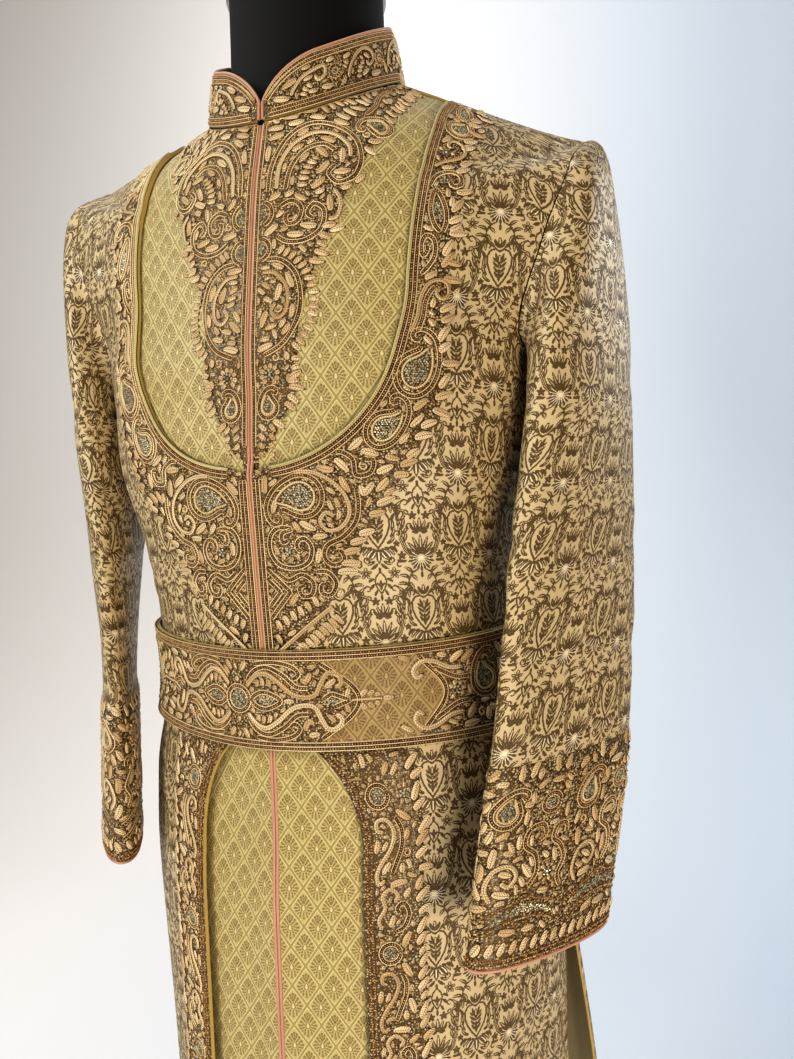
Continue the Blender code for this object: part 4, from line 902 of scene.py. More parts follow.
def lattice_material(name, shade=(1.0, 1.0, 1.0)):
    """The lattice brocade, each of its colours multiplied by `shade`, which gives a darker copy as painted shade.
    """
    def toned(colour):
        return tuple(s * c for s, c in zip(shade, colour))

    t = Tree(name, toned(LATTICE_GROUND[0]), 0.40, sheen=0.1)
    vector, u, v = t.cloth()
    x, y = folded_place(t, u, v, *LATTICE_HALF, LATTICE_SQUARE)
    # 0 on the middle of a ribbon, which runs from corner to corner of the folded quarter
    across = t.math("ADD", t.math("DIVIDE", x, LATTICE_HALF[0] / LATTICE_SQUARE),
                    t.math("DIVIDE", y, LATTICE_HALF[1] / LATTICE_SQUARE))
    across = t.math("ABSOLUTE", t.math("SUBTRACT", across, 0.98))
    ribbon, beside = t.math("LESS_THAN", across, 0.100), t.math("LESS_THAN", across, 0.175)
    figure, pale = read_chart(t, lattice_brown, x, y), read_chart(t, lattice_pale, x, y)
    threads = t.noise(t.scaled(vector, 2600.0, 700.0), 1.0, 1.0)
    colour = t.mix(t.noise(vector, 11.0, 3.0), *(toned(c) for c in LATTICE_GROUND))
    brown = t.mix(t.math("MULTIPLY", threads, 0.6), toned(LATTICE_FIGURE), toned(LATTICE_GROUND[1]))
    colour = t.mix(figure, colour, brown)
    colour = t.mix(t.math("MULTIPLY", t.math("MAXIMUM", pale, beside), 0.75), colour, toned(LATTICE_PALE))
    colour = t.mix(ribbon, colour, t.mix(threads, toned(LATTICE_RIBBON), toned(LATTICE_GROUND[1])))
    ribs = satin_ribs(t, vector, 0.0012, -0.5)
    raised = t.math("MULTIPLY_ADD", t.math("SUBTRACT", beside, ribbon), 1.0, t.math("MULTIPLY", ribs, 0.4))
    raised = t.math("MULTIPLY_ADD", figure, 0.5, raised)
    rough = t.math("MULTIPLY_ADD", figure, 0.10, 0.52)
    return t.finish(colour, rough, t.bump(raised, 0.55, 0.00022))


DAMASK = damask_material()
LATTICE = lattice_material("lattice_cloth")
# painted shade: the belt's lattice is a darker, warmer copy of the same cloth
SHADED_BELT_LATTICE = lattice_material("belt_lattice", (0.70, 0.58, 0.45))
print("nodes of the cloths:", {m.name: len(m.node_tree.nodes) for m in (DAMASK, LATTICE, SHADED_BELT_LATTICE)})

# %% [markdown]
# ## Thread, beads and metal
# The raised work has seven finishes: a ground packed with tiny copper beads, peach-gold thread for padded
# leaves and thick scrolls, gold cord, a paler cord for the cut edges, copper beads, smaller seed beads and
# silver stones. The other pieces are the rose piping, a gold satin lining, the form's black cover and its
# brushed metal.


# %% Worked finishes
def bead_ground_material():
    """Cloth packed with small beads, each cell with its own tone, painted highlights on some and painted shade
    between.
    """
    t = Tree("bead_ground", (0.26, 0.16, 0.065), 0.38, 0.10)
    vector, _, _ = t.cloth()
    cells = t.new("TexVoronoi", voronoi_dimensions="2D", feature="F1")
    t.set(cells, "Vector", vector)
    t.set(cells, "Scale", 560.0)
    ramp = t.new("ValToRGB")
    t.set(ramp, 0, cells.outputs["Distance"])
    ramp.color_ramp.elements[0].color = (1, 1, 1, 1)
    ramp.color_ramp.elements[1].position = 0.55
    ramp.color_ramp.elements[1].color = (0, 0, 0, 1)
    tone = t.new("SeparateColor")
    t.set(tone, 0, cells.outputs["Color"])
    colour = t.mix(tone.outputs[0], (0.47, 0.285, 0.085), (0.19, 0.105, 0.026))
    # painted highlights: about a third of the cells turn pale
    colour = t.mix(t.math("GREATER_THAN", tone.outputs[1], 0.68), colour, (0.80, 0.66, 0.38))
    # painted shade: the gaps between the beads turn near black
    colour = t.mix(ramp.outputs[0], (0.045, 0.025, 0.009), colour)
    return t.finish(colour, None, t.bump(ramp.outputs[0], 0.9, 0.0006))


def thread_material(name, light, dark, metal, pitch=0.0016, vein=0.0):
    """Padded satin stitch: threads that slant across a leaf inside a thin cord, with painted shade in its grooves
    and a painted shadow line beside it.
    """
    t = Tree(name, light, 0.40, metal, 0.1)
    _, u, v = t.cloth()
    slanted = t.math("MULTIPLY_ADD", t.math("ABSOLUTE", v), 0.9, u)
    wave = t.math("SINE", t.math("MULTIPLY", slanted, 2 * math.pi / pitch))
    wave = t.math("MULTIPLY_ADD", wave, 0.5, 0.5)
    tone, rim = (t.new("Attribute", attribute_name=key).outputs["Fac"] for key in ("tone", "rim"))
    # painted shade: the grooves between the slanting threads, and the vein down a leaf's middle, take this darker
    # colour
    shade = tuple(0.34 * c for c in dark)
    colour = t.mix(tone, light, dark)
    threads = t.mix(t.math("MULTIPLY", t.math("SUBTRACT", 1.0, wave), 0.72), colour, shade)
    threads = t.mix(t.math("LESS_THAN", t.math("ABSOLUTE", v), vein), threads, shade)
    colour = t.mix(t.math("GREATER_THAN", rim, 0.52), threads, colour)
    # painted shadow: where the rim is high, on the sunk skirts and in a beaded line's trough, the colour turns
    # near black
    colour = t.mix(t.math("GREATER_THAN", rim, 0.70), colour, (0.048, 0.023, 0.008))
    return t.finish(colour, None, t.bump(wave, 0.8, 0.0004))


def bead_material(name, light, dark, metal, rough):
    """Beads or stones, each with a tone of its own between two colours."""
    t = Tree(name, light, rough, metal)
    tone = t.new("Attribute", attribute_name="tone")
    return t.finish(t.mix(tone.outputs["Fac"], dark, light))


def plain_cloth(name, light, dark, rough, pitch=900.0, sheen=0.2, shine=0.5):
    """A plain satin or jersey: a fine weave in its bump and a little cloudiness in its colour."""
    t = Tree(name, light, rough, sheen=sheen)
    t.set(t.shader, "Specular IOR Level", shine)
    vector = t.new("TexCoord").outputs["Object"]
    grain = t.noise(vector, pitch, 1.0)
    return t.finish(t.mix(t.noise(vector, 25.0, 3.0), light, dark), None, t.bump(grain, 0.35, 0.00025))


def brushed_metal():
    """Steel brushed round its axis, with streaks in its colour, gloss and height."""
    t = Tree("brushed_steel", (0.58, 0.56, 0.52), 0.3, 1.0)
    vector = t.new("TexCoord").outputs["Object"]
    streaks = t.noise(t.scaled(vector, 30.0, 30.0, 2600.0), 1.0, 2.0)
    colour = t.mix(streaks, (0.66, 0.64, 0.60), (0.44, 0.42, 0.39))
    rough = t.math("MULTIPLY_ADD", streaks, 0.22, 0.22)
    return t.finish(colour, rough, t.bump(streaks, 0.25, 0.0002))


BEAD_GROUND = bead_ground_material()
PEACH = thread_material("peach_thread", (0.88, 0.70, 0.445), (0.63, 0.44, 0.225), 0.10, 0.0019, 0.00024)
GOLD = thread_material("gold_cord", (0.93, 0.78, 0.49), (0.78, 0.60, 0.33), 0.15)
EDGE_CORD = thread_material("edge_cord", (0.74, 0.66, 0.34), (0.62, 0.53, 0.24), 0.15)
COPPER = bead_material("copper_beads", (0.66, 0.40, 0.165), (0.24, 0.110, 0.035), 0.20, 0.24)
SEED = bead_material("seed_beads", (0.74, 0.52, 0.22), (0.19, 0.105, 0.028), 0.25, 0.28)
SILVER = bead_material("silver_stones", (0.62, 0.58, 0.43), (0.20, 0.185, 0.125), 0.30, 0.22)
ROSE = plain_cloth("rose_satin", (0.50, 0.27, 0.185), (0.41, 0.215, 0.145), 0.46)
LINING = plain_cloth("gold_lining", (0.46, 0.34, 0.11), (0.38, 0.27, 0.08), 0.38)
JERSEY = plain_cloth("black_jersey", (0.005, 0.005, 0.005), (0.009, 0.009, 0.009), 0.75, 1400.0, 0.02, 0.25)
STEEL = brushed_metal()
print("finishes:", sorted(m.name for m in bpy.data.materials if m.users))

# %% [markdown]
# ## The fronts
# Each front is laid in rows from hem to shoulder. A row starts at the cut edge: the skirt's arch, the
# centre line or the U. Its first columns are the bed of the worked border, which stands over a millimetre
# proud of the plain cloth and has the beaded ground. The rest run on evenly to the side seam.

# %% Fronts
BORDER_COLUMNS, PLAIN_COLUMNS = 14, 44
BED_INSET = 0.0105          # how far inside its outline of leaves the beaded ground ends
BED_DROP = 0.0018           # how wide the step is from the bed's edge down to the plain cloth
BELT_MARGIN = 0.004         # the fronts lie plain under the belt and this far beyond it
SIDES = (("left", 1), ("right", -1))


def on_front(node, side, distances, levels, raised, materials, slots, below=0.0):
    """A wall laid on one side of the front at distances from the centre line along each level."""
    signed, below = distances * side, np.broadcast_to(below, distances.shape)
    if side < 0:
        signed, raised, below, slots = signed[:, ::-1], raised[:, ::-1], below[:, ::-1], slots[:, ::-1]
    at_level = np.broadcast_to(levels[:, None], distances.shape)
    outer, _ = front_face.at(signed, at_level, raised - below)
    inner, _ = front_face.at(signed, at_level, -(below + CLOTH))
    uv = np.stack([signed, front_face.up(signed, at_level)], -1)
    return cloth_wall(node + "_cloth", outer, inner, uv, materials, slots), node, flat_size(outer)


def worked_pair(kind, start, border, end, levels, height, cloth, plain_columns, drop, below=0.0):
    """A left and a right panel with a bed from `start` to `border`, `height` proud, and plain cloth to `end`."""
    start = np.broadcast_to(start, border.shape)
    bed = start[:, None] + (border - start)[:, None] * np.linspace(0.0, 1.0, BORDER_COLUMNS)
    edge = border + np.minimum(drop, 0.3 * (end - border))
    plain = edge[:, None] + (end - edge)[:, None] * np.linspace(0.0, 1.0, plain_columns)
    distances = np.concatenate([bed, plain], axis=1)
    raised = np.zeros(distances.shape)
    raised[:, :BORDER_COLUMNS] = height[:, None]
    slots = np.zeros((len(levels) - 1, distances.shape[1] - 1), int)
    slots[:, :BORDER_COLUMNS] = 1
    return [on_front(kind + "_" + name, side, distances, levels, raised, (cloth, BEAD_GROUND, LINING), slots,
                     below) for name, side in SIDES]


def front_levels():
    """Rows of the fronts, closer where the arch and the U turn sharply."""
    rise = OPENING_TOP_Z - OPENING_CURVE_Z
    return np.concatenate([
        np.linspace(HEM_Z, OPENING_CURVE_Z, 60),
        OPENING_CURVE_Z + rise * np.sin(np.linspace(0.0, math.pi / 2, 22))[1:],
        np.linspace(OPENING_TOP_Z, U_BOTTOM_Z, 34)[1:],
        U_BOTTOM_Z + (UNDERARM_Z - U_BOTTOM_Z) * np.linspace(0.0, 1.0, 22)[1:] ** 1.6,
        np.linspace(UNDERARM_Z, TIP_Z, 40)[1:], np.linspace(TIP_Z, U_TOP_LEVEL, 9)[1:],
    ])


def u_meets_shoulder():
    """The level where the U's edge runs into the shoulder seam."""
    levels = np.linspace(TIP_Z, NECK_Z, 200)
    ends = block_point("front", 1.0, levels)
    beyond = ends[:, 0] - u_half_width(ends[:, 2])
    return float(levels[np.argmax(beyond < 0.004)])


U_TOP_LEVEL = u_meets_shoulder()
front_rows = front_levels()
under_arch = front_rows < OPENING_TOP_Z
front_start = np.where(
    under_arch,
    lengths_where(front_rows, lambda z: np.maximum(opening_half_width(z), CENTRE_EDGE)),
    lengths_where(front_rows, lambda z: np.maximum(u_half_width(z), CENTRE_EDGE)))
front_end = row_lengths("front", front_rows)[:, -1] - GAP
front_border = lengths_where(front_rows, lambda z: by_height(BORDER, z)) - BED_INSET
front_border = np.clip(front_border, front_start + 0.004, front_start + 0.9 * (front_end - front_start))


def described(pieces):
    """Each piece's name and the width, length and area of its cut."""
    return [(piece.name, [round(v, 3) for v in size]) for piece, _, size in pieces]


belted = (front_rows > BELT_BOTTOM_Z - BELT_MARGIN) & (front_rows < BELT_TOP_Z + BELT_SIDE_RISE + BELT_MARGIN)
fronts = worked_pair("front", front_start, front_border, front_end, front_rows, np.where(belted, 0.0, WORK),
                     DAMASK, PLAIN_COLUMNS, BED_DROP)
print("fronts", described(fronts))

# %% [markdown]
# ## The lattice panels
# The chest inset fills the U one layer lower, with the bed of the worked tongue along its centre edge. Two
# straight panels hang inside the skirt's arch. They are a lighter cloth, so they ripple a little where they
# hang free.

# %% Insets and straight panels
INSET_MARGIN = 0.012        # how far the inset runs on under the fronts
INSET_DROP = 0.0016
BED_IN_TONGUE = 0.005       # how far inside the tongue's outline its bed ends
SKIRT_PANEL_TOP_Z, SKIRT_PANEL_HALF = 0.985, 0.112
SKIRT_PANEL_BELOW, SKIRT_PANEL_HELD = 0.0085, 0.0045


def make_insets():
    """The two halves of the chest inset, each with half of the tongue's bed."""
    bottom = U_BOTTOM_Z - INSET_MARGIN
    levels = np.concatenate([
        bottom + (UNDERARM_Z - bottom) * np.linspace(0.0, 1.0, 24) ** 1.6,
        np.linspace(UNDERARM_Z, TIP_Z, 44)[1:], np.linspace(TIP_Z, U_TOP_LEVEL, 9)[1:],
        np.linspace(U_TOP_LEVEL, NECK_Z, 7)[1:]])
    end = lengths_where(levels, lambda z: np.maximum(u_half_width(z, INSET_MARGIN), INSET_MARGIN))
    end = np.minimum(end, row_lengths("front", levels)[:, -1] - GAP)
    bed_edge = lengths_where(levels, lambda z: by_height(TONGUE, z) - BED_IN_TONGUE)
    bed_edge = np.clip(bed_edge, CENTRE_EDGE + 0.002, CENTRE_EDGE + 0.88 * (end - CENTRE_EDGE))
    height = np.where(levels > U_BOTTOM_Z + 0.004, WORK, 0.0)
    return worked_pair("inset", CENTRE_EDGE, bed_edge, end, levels, height, LATTICE, 20, INSET_DROP, LAYER)


def skirt_panel_below(distances, levels):
    """How far below the block the straight panels hang: close under the belt, freely lower down."""
    drop = np.clip((OPENING_TOP_Z - levels) / 0.10, 0.0, 1.0)
    low = np.clip((OPENING_TOP_Z - levels) / 0.50, 0.0, 1.0)
    wave = 0.0016 * np.cos(distances / SKIRT_PANEL_HALF * 3 * math.pi + 1.2 * low)
    wave = wave + 0.0007 * np.sin(distances * 160 + levels * 9) * low
    return SKIRT_PANEL_HELD + (SKIRT_PANEL_BELOW - SKIRT_PANEL_HELD - wave) * drop


def make_skirt_panels():
    """The two straight panels inside the arch."""
    levels = np.concatenate([np.linspace(HEM_Z + 0.005, 0.86, 70),
                             np.linspace(0.86, SKIRT_PANEL_TOP_Z, 24)[1:]])
    row = np.linspace(CENTRE_EDGE, SKIRT_PANEL_HALF, 34)
    distances = np.broadcast_to(row, (len(levels), len(row)))
    slots = np.zeros((len(levels) - 1, len(row) - 1), int)
    made = []
    for name, side in SIDES:
        below = skirt_panel_below(distances, levels[:, None] + (0.02 if side > 0 else 0.0))
        made.append(on_front("skirt_panel_" + name, side, distances, levels, np.zeros(distances.shape),
                             (LATTICE, LINING), slots, below))
    return made


insets, skirt_panels = make_insets(), make_skirt_panels()
print("lattice panels", described(insets + skirt_panels))

# %% [markdown]
# ## The back
# The back is one wide piece of damask. It follows the same block from the side slits up to the armholes and
# the shoulder seams, with the skirt's waves opening towards the hem.


# %% Back
def make_back():
    """The whole back, whose rows run from the wearer's left to the right so that it faces outwards."""
    levels = np.concatenate([
        np.linspace(HEM_Z, SLIT_TOP_Z, 56), np.linspace(SLIT_TOP_Z, UNDERARM_Z, 60)[1:],
        np.linspace(UNDERARM_Z, TIP_Z, 34)[1:], np.linspace(TIP_Z, NECK_Z, 10)[1:]])
    end = row_lengths("back", levels)[:, -1] - GAP
    left = end[:, None] * np.linspace(0.0, 1.0, 40)
    distances = np.concatenate([-left[:, :0:-1], left], axis=1)[:, ::-1]
    at_level = np.broadcast_to(levels[:, None], distances.shape)
    outer, _ = back_face.at(distances, at_level, np.zeros(distances.shape))
    inner, _ = back_face.at(distances, at_level, np.full(distances.shape, -CLOTH))
    uv = np.stack([-distances, back_face.up(distances, at_level)], -1)
    return cloth_wall("back_cloth", outer, inner, uv, (DAMASK, LINING)), "back", flat_size(outer)


back = make_back()
print("back", described([back]))

# %% [markdown]
# ## The sleeves
# A tailored sleeve is two pieces: a wide upper one outside and a narrow under one inside. Below the head it
# is a tube of flattened rings that swings forward from the elbow. The head is eased into the armhole, so it
# stands up a little at the seam and then falls.

# %% Sleeve shape
SLEEVE_COLUMNS = ("z", "x", "y", "half_long", "half_thick", "turn")
SLEEVES = {
    "left": {
        "bicep":   (1.185, 0.2262, -0.003, 0.0815, 0.0270, 15.0),
        "elbow":   (1.080, 0.2216, -0.026, 0.0793, 0.0203, 24.6),
        "forearm": (0.950, 0.2151, -0.0595, 0.0736, 0.0150, 32.8),
        "cuff":    (0.798, 0.1989, -0.106, 0.0615, 0.0160, 39.8),
    },
    "right": {
        "bicep":   (1.185, 0.2262, -0.004, 0.0815, 0.0270, 16.0),
        "elbow":   (1.080, 0.2196, -0.026, 0.0793, 0.0203, 29.3),
        "forearm": (0.950, 0.2120, -0.0446, 0.0736, 0.0150, 37.1),
        "cuff":    (0.810, 0.2018, -0.0653, 0.0615, 0.0160, 40.4),
    },
}
BICEP_Z, SLEEVE_ROUND = 1.185, 2.2
SLEEVE_GAP, HEAD_OUT = 0.0004, 0.100         # where the head starts off the armhole, and how boldly it leaves
CUFF_WORK, CUFF_ROWS, BICEP_ROW = 0.135, 25, 70
SLEEVE_CREASES = {
    # angle round the sleeve, z, length, width, slope of the trough in metres a metre, depth
    "elbow_front":  (96.0, 1.075, 0.030, 0.010, 0.5, 0.0016),
    "elbow_low":    (118.0, 1.040, 0.034, 0.011, 0.7, 0.0014),
    "elbow_inner":  (165.0, 1.060, 0.045, 0.012, 0.2, 0.0016),
    "arm_front":    (62.0, 1.200, 0.055, 0.012, -1.6, 0.0016),
    "arm_back":     (300.0, 1.190, 0.060, 0.014, 1.4, 0.0020),
    "elbow_back":   (262.0, 1.090, 0.040, 0.011, -0.4, 0.0018),
    "fore_back":    (275.0, 1.000, 0.040, 0.012, -0.6, 0.0014),
    "fore_outer":   (20.0, 0.985, 0.060, 0.016, 1.8, 0.0012),
}


def sleeve_ring(side, z, angle):
    """One ring below the sleeve's head, seen from above: 0 outwards, 90 forwards, 180 inwards."""
    x, y, half_long, half_thick, turn = (float(column(SLEEVES[side], SLEEVE_COLUMNS, name, z))
                                         for name in SLEEVE_COLUMNS[1:])
    radians, turn = np.radians(angle), math.radians(turn)
    out, ahead = np.cos(radians), np.sin(radians)
    out = half_thick * np.sign(out) * np.abs(out) ** (2 / SLEEVE_ROUND)
    ahead = half_long * np.sign(ahead) * np.abs(ahead) ** (2 / SLEEVE_ROUND)
    return np.stack([x + out * math.cos(turn) - ahead * math.sin(turn),
                     y - out * math.sin(turn) - ahead * math.cos(turn), np.full_like(out, z)], -1)


cuff_ring = sleeve_ring("left", SLEEVES["left"]["cuff"][0], np.arange(0.0, 360.0, 4.0))
cuff_steps = np.linalg.norm(cuff_ring - np.roll(cuff_ring, 1, axis=0), axis=1)
print("round of the left cuff", round(float(cuff_steps.sum()), 3))

# %% Sleeve rings
ARM_ROWS = 31
ARM_LEVELS = UNDERARM_Z + (TIP_Z - UNDERARM_Z) * (0.5 - 0.5 * np.cos(np.linspace(0.0, math.pi, ARM_ROWS)))


def armhole(half):
    """The armhole's edge from the underarm up, and its angle about the sleeve."""
    edge = block_point(half, 1.0, ARM_LEVELS)
    run = np.concatenate([[0.0], np.cumsum(np.linalg.norm(np.diff(edge, axis=0), axis=1))])
    angle = 180.0 * (1.0 - run / run[-1])
    return edge, angle if half == "front" else 360.0 - angle


def sleeve_rings(side, start, angle):
    """All rings of a sleeve as if it were the left one, from the cuff up to the armhole's points."""
    cuff = SLEEVES[side]["cuff"][0]
    levels = np.concatenate([[cuff], cuff + CUFF_WORK * np.linspace(0, 1, CUFF_ROWS)[1:],
                             np.linspace(cuff + CUFF_WORK + 0.002, BICEP_Z, 46)])
    rings = [sleeve_ring(side, z, angle) for z in levels]
    end = rings[-1]
    top = ((1 + np.cos(np.radians(angle))) / 2)[:, None]
    leave = top * np.array([HEAD_OUT, 0.0, 0.020]) + (1 - top) * np.array([0.012, 0.0, -0.030])
    arrive = np.array([0.0, 0.0, -1.0]) * (0.03 + 0.29 * top)
    start = start + np.array([SLEEVE_GAP, 0.0, 0.0])
    for t in np.linspace(1.0, 0.0, 36)[1:]:
        rings.append(start * (1 + 2 * t) * (1 - t) ** 2 + leave * t * (1 - t) ** 2
                     + end * (3 - 2 * t) * t**2 - arrive * (1 - t) * t**2)
    return np.array(rings)


def sleeve_relief(rings, angle):
    """Soft troughs with a ridge beside each, round the elbow and under the arm."""
    lift = np.zeros(rings.shape[:2])
    for at_angle, at_z, length, width, slope, depth in SLEEVE_CREASES.values():
        away = (np.asarray(angle)[None, :] - at_angle + 180.0) % 360.0 - 180.0
        along = away / 360.0 * 0.35
        aside = (rings[..., 2] - at_z - slope * along) / math.hypot(1.0, slope)
        fade = np.exp(-((along / length) ** 2) - ((rings[..., 2] - at_z) / 0.09) ** 2)
        lift += depth * fade * (-np.exp(-((aside / width) ** 2))
                                + 0.6 * np.exp(-(((aside - 1.7 * width) / width) ** 2)))
    return lift


def rolled_flat(rings, around, up, from_row):
    """Flat places of every ring's points. Above `from_row` each row is rolled out from the one below it."""
    flat = np.stack([around, np.broadcast_to(up[:, None], around.shape)], -1)
    for i in range(from_row + 1, len(rings)):
        along = np.gradient(rings[i - 1], axis=0)
        along /= np.linalg.norm(along, axis=1, keepdims=True)
        step = rings[i] - rings[i - 1]
        a = (step * along).sum(axis=1)
        b = np.sqrt(np.maximum((step**2).sum(axis=1) - a**2, 0.0))
        way = np.gradient(flat[i - 1], axis=0)
        way /= np.linalg.norm(way, axis=1, keepdims=True)
        flat[i] = flat[i - 1] + way * a[:, None] + np.stack([-way[:, 1], way[:, 0]], -1) * b[:, None]
        flat[i, 1:-1] = (flat[i, :-2] + 2 * flat[i, 1:-1] + flat[i, 2:]) / 4
    return flat


arm_steps = np.linalg.norm(np.diff(armhole("front")[0], axis=0), axis=1)
print("front of the armhole", round(float(arm_steps.sum()), 3))

# %% Cutting the sleeves
UNDER_STEPS = 12            # how many armhole points of each half the under sleeve spans
sleeve_faces, sleeves = {}, []


def make_sleeve(side):
    """The upper and under sleeve of one side, and the cuff's round as a surface in sleeve_faces."""
    (front_edge, front_angle), (back_edge, back_angle) = armhole("front"), armhole("back")
    edge = np.concatenate([front_edge[:0:-1], back_edge[:-1]])[::-1]
    angle = np.concatenate([front_angle[:0:-1], back_angle[:-1]])[::-1]
    count, low = len(edge), ARM_ROWS - 1
    closed = np.concatenate([np.arange(count), [0]])
    rings = sleeve_rings(side, edge, angle)
    padded_rings = rings[:, np.arange(-2, count + 2) % count]
    normals = grid_normals(padded_rings)[:, 2:-2]
    rings = rings + normals * sleeve_relief(rings, angle)[..., None]
    steps = np.linalg.norm(np.diff(rings[:, closed], axis=1), axis=2)
    around = np.concatenate([np.zeros((len(rings), 1)), np.cumsum(steps, axis=1)], axis=1)
    middle = int(np.argmin(np.abs((angle + 180) % 360 - 180)))
    around = around - around[:, middle:middle + 1]
    up = np.linalg.norm(np.diff(rings[:, middle], axis=0), axis=1)
    up = SLEEVES[side]["cuff"][0] + np.concatenate([[0.0], np.cumsum(up)])
    under = count - 1 - np.arange(low - UNDER_STEPS, low + UNDER_STEPS + 1)[::-1]
    upper = (count - 1 - np.arange(low + UNDER_STEPS, low - UNDER_STEPS + count + 1)[::-1])
    made = []
    for name, picked in (("upper", upper), ("under", under)):
        wrapped = np.where(picked < 0, picked + count, picked)
        points, away = rings[:, wrapped].copy(), normals[:, wrapped].copy()
        run = around[:, wrapped] + np.where(picked < 0, -around[:, -1:] + around[:, :1], 0.0)
        flat = rolled_flat(points, run, up, BICEP_ROW)
        for end, beside in ((0, 1), (-1, -2)):
            inwards = points[:, beside] - points[:, end]
            inwards /= np.linalg.norm(inwards, axis=1, keepdims=True)
            points[:, end] += inwards * GAP
        if side == "right":
            points, away = points[:, ::-1] * MIRROR, away[:, ::-1] * MIRROR
            flat = flat[:, ::-1] * (-1.0, 1.0)
        worked = np.zeros(points.shape[:2])
        worked[:CUFF_ROWS - 2] = WORK
        outer, inner = hang(points + away * worked[..., None]), hang(points - away * CLOTH)
        slots = np.zeros((len(points) - 1, points.shape[1] - 1), int)
        slots[:CUFF_ROWS - 2] = 1
        node = "sleeve_" + name + "_" + side
        made.append((cloth_wall(node + "_cloth", outer, inner, flat, (DAMASK, BEAD_GROUND, LINING), slots),
                     node, flat_size(outer)))
    # the whole round as a surface for the cuff's work, from the outer middle
    rows = slice(0, 60)
    loop = np.concatenate([np.arange(middle, count), np.arange(0, middle + 1)])
    steps = np.linalg.norm(np.diff(rings[CUFF_ROWS // 2][loop], axis=0), axis=1)
    points, away = rings[rows][:, loop], normals[rows][:, loop]
    if side == "right":
        points, away = points * MIRROR, away * MIRROR
    sleeve_faces[side] = Surface(np.concatenate([[0.0], np.cumsum(steps)]), up[rows], hang(points), away)
    return made


for side in SLEEVES:
    sleeves += make_sleeve(side)
print("sleeves", described(sleeves))

# %% [markdown]
# ## Collar and belt
# The stand collar rises a little less than two fingers from the neckline and rounds off at the throat. The
# belt is a broad stiff band. Both are bands in the flat, so each is a surface read by the length along it
# and the height up it, and the raised work is later drawn on that flat band.

# %% Collar
COLLAR_HEIGHT, COLLAR_LEAN = 0.043, 0.006    # how high it stands, and how far it leans in over that
COLLAR_CORNER, COLLAR_ROUND, COLLAR_LIFT = 0.050, 2.0, 0.0012
COLLAR_PROUD, COLLAR_WORK = 0.0002, 0.0004   # how far its cloth and its raised work stand off that face


def neckline():
    """The neck's edge from the centre front round the wearer's left to the centre back."""
    front = block_point("front", np.linspace(0.0, 1.0, 90), NECK_Z)
    back_edge = block_point("back", np.linspace(1.0, 0.0, 90), NECK_Z)
    path = np.concatenate([front, back_edge[1:]])
    return path, np.concatenate([[0.0], np.cumsum(np.linalg.norm(np.diff(path, axis=0), axis=1))])


NECK_PATH, NECK_RUN = neckline()


def collar_height(distance):
    """The collar's height above the neckline, this far round from the centre front."""
    share = np.clip(1.0 - np.abs(distance) / COLLAR_CORNER, 0.0, 1.0)
    return COLLAR_HEIGHT * (1 - share**COLLAR_ROUND) ** (1 / COLLAR_ROUND)


def collar_point(distance, height):
    """A point of the left half of the collar, this far round from the centre front and this high."""
    base, ahead, behind = (
        np.stack([np.interp(distance + step, NECK_RUN, NECK_PATH[:, k]) for k in range(3)], -1)
        for step in (0, 0.002, -0.002))
    along = ahead - behind
    outward = np.stack([along[..., 1], -along[..., 0], 0 * along[..., 0]], -1)
    outward /= np.linalg.norm(outward, axis=-1, keepdims=True)
    height = np.asarray(height)[..., None]
    return (base - outward * COLLAR_LEAN * height / COLLAR_HEIGHT
            + np.array([0.0, 0.0, 1.0]) * (height + COLLAR_LIFT))


def whole(left):
    """A grid of the left half, from the centre front to the centre back, made into the whole round."""
    return np.concatenate([left, left[:, -2::-1] * MIRROR], axis=1)


def make_collar():
    """The collar's wall, and its whole round as a surface for the raised work."""
    us = np.linspace(0.0, NECK_RUN[-1], 120)
    vs = np.linspace(0.0, COLLAR_HEIGHT, 14)
    grid = collar_point(np.broadcast_to(us, (14, 120)), np.broadcast_to(vs[:, None], (14, 120)))
    face = whole_surface(Surface(us, vs, grid, grid_normals(grid)))
    stations = np.concatenate([CENTRE_EDGE + (COLLAR_CORNER - CENTRE_EDGE) * np.linspace(0, 1, 26) ** 1.5,
                               np.linspace(COLLAR_CORNER, NECK_RUN[-1], 56)[1:]])
    heights = collar_height(stations) * np.linspace(0.0, 1.0, 12)[:, None]
    across = np.broadcast_to(stations, heights.shape)
    uv = np.stack([across, heights], -1)
    flat = np.concatenate([uv, np.array([2 * NECK_RUN[-1], 0.0]) + uv[:, -2::-1] * (-1.0, 1.0)], axis=1)
    points = whole(collar_point(across, heights))
    normals = grid_normals(points)
    outer, inner = hang(points + normals * COLLAR_PROUD), hang(points - normals * CLOTH)
    piece = cloth_wall("collar_cloth", outer, inner, flat, (BEAD_GROUND, LINING))
    return (piece, "collar", flat_size(outer)), face


collar, collar_face = make_collar()
print("collar", described([collar]))

# %% Belt
BELT_THICK, BELT_CLEAR, BELT_WORK = 0.0030, 0.0016, 0.0010
BELT_HEIGHT = BELT_TOP_Z - BELT_BOTTOM_Z
BELT_CHART_SHIFT = 0.0065             # sets a row of diamonds on the belt's middle
GAP_FROM, GAP_TO = 0.054, 0.124       # the two ends of the plain lattice, left of the belt's middle
GAP_REACH = 0.046                     # how far beyond them the grid bends with their bow


def gap_bow(v):
    """How far each end of the plain stretch, the start and the far one, lies off its place at height v."""
    bulge = np.sin(np.pi * np.clip(v / BELT_HEIGHT, 0.0, 1.0))
    return -0.018 + 0.038 * bulge ** 1.5, -0.013 + 0.025 * bulge ** 2


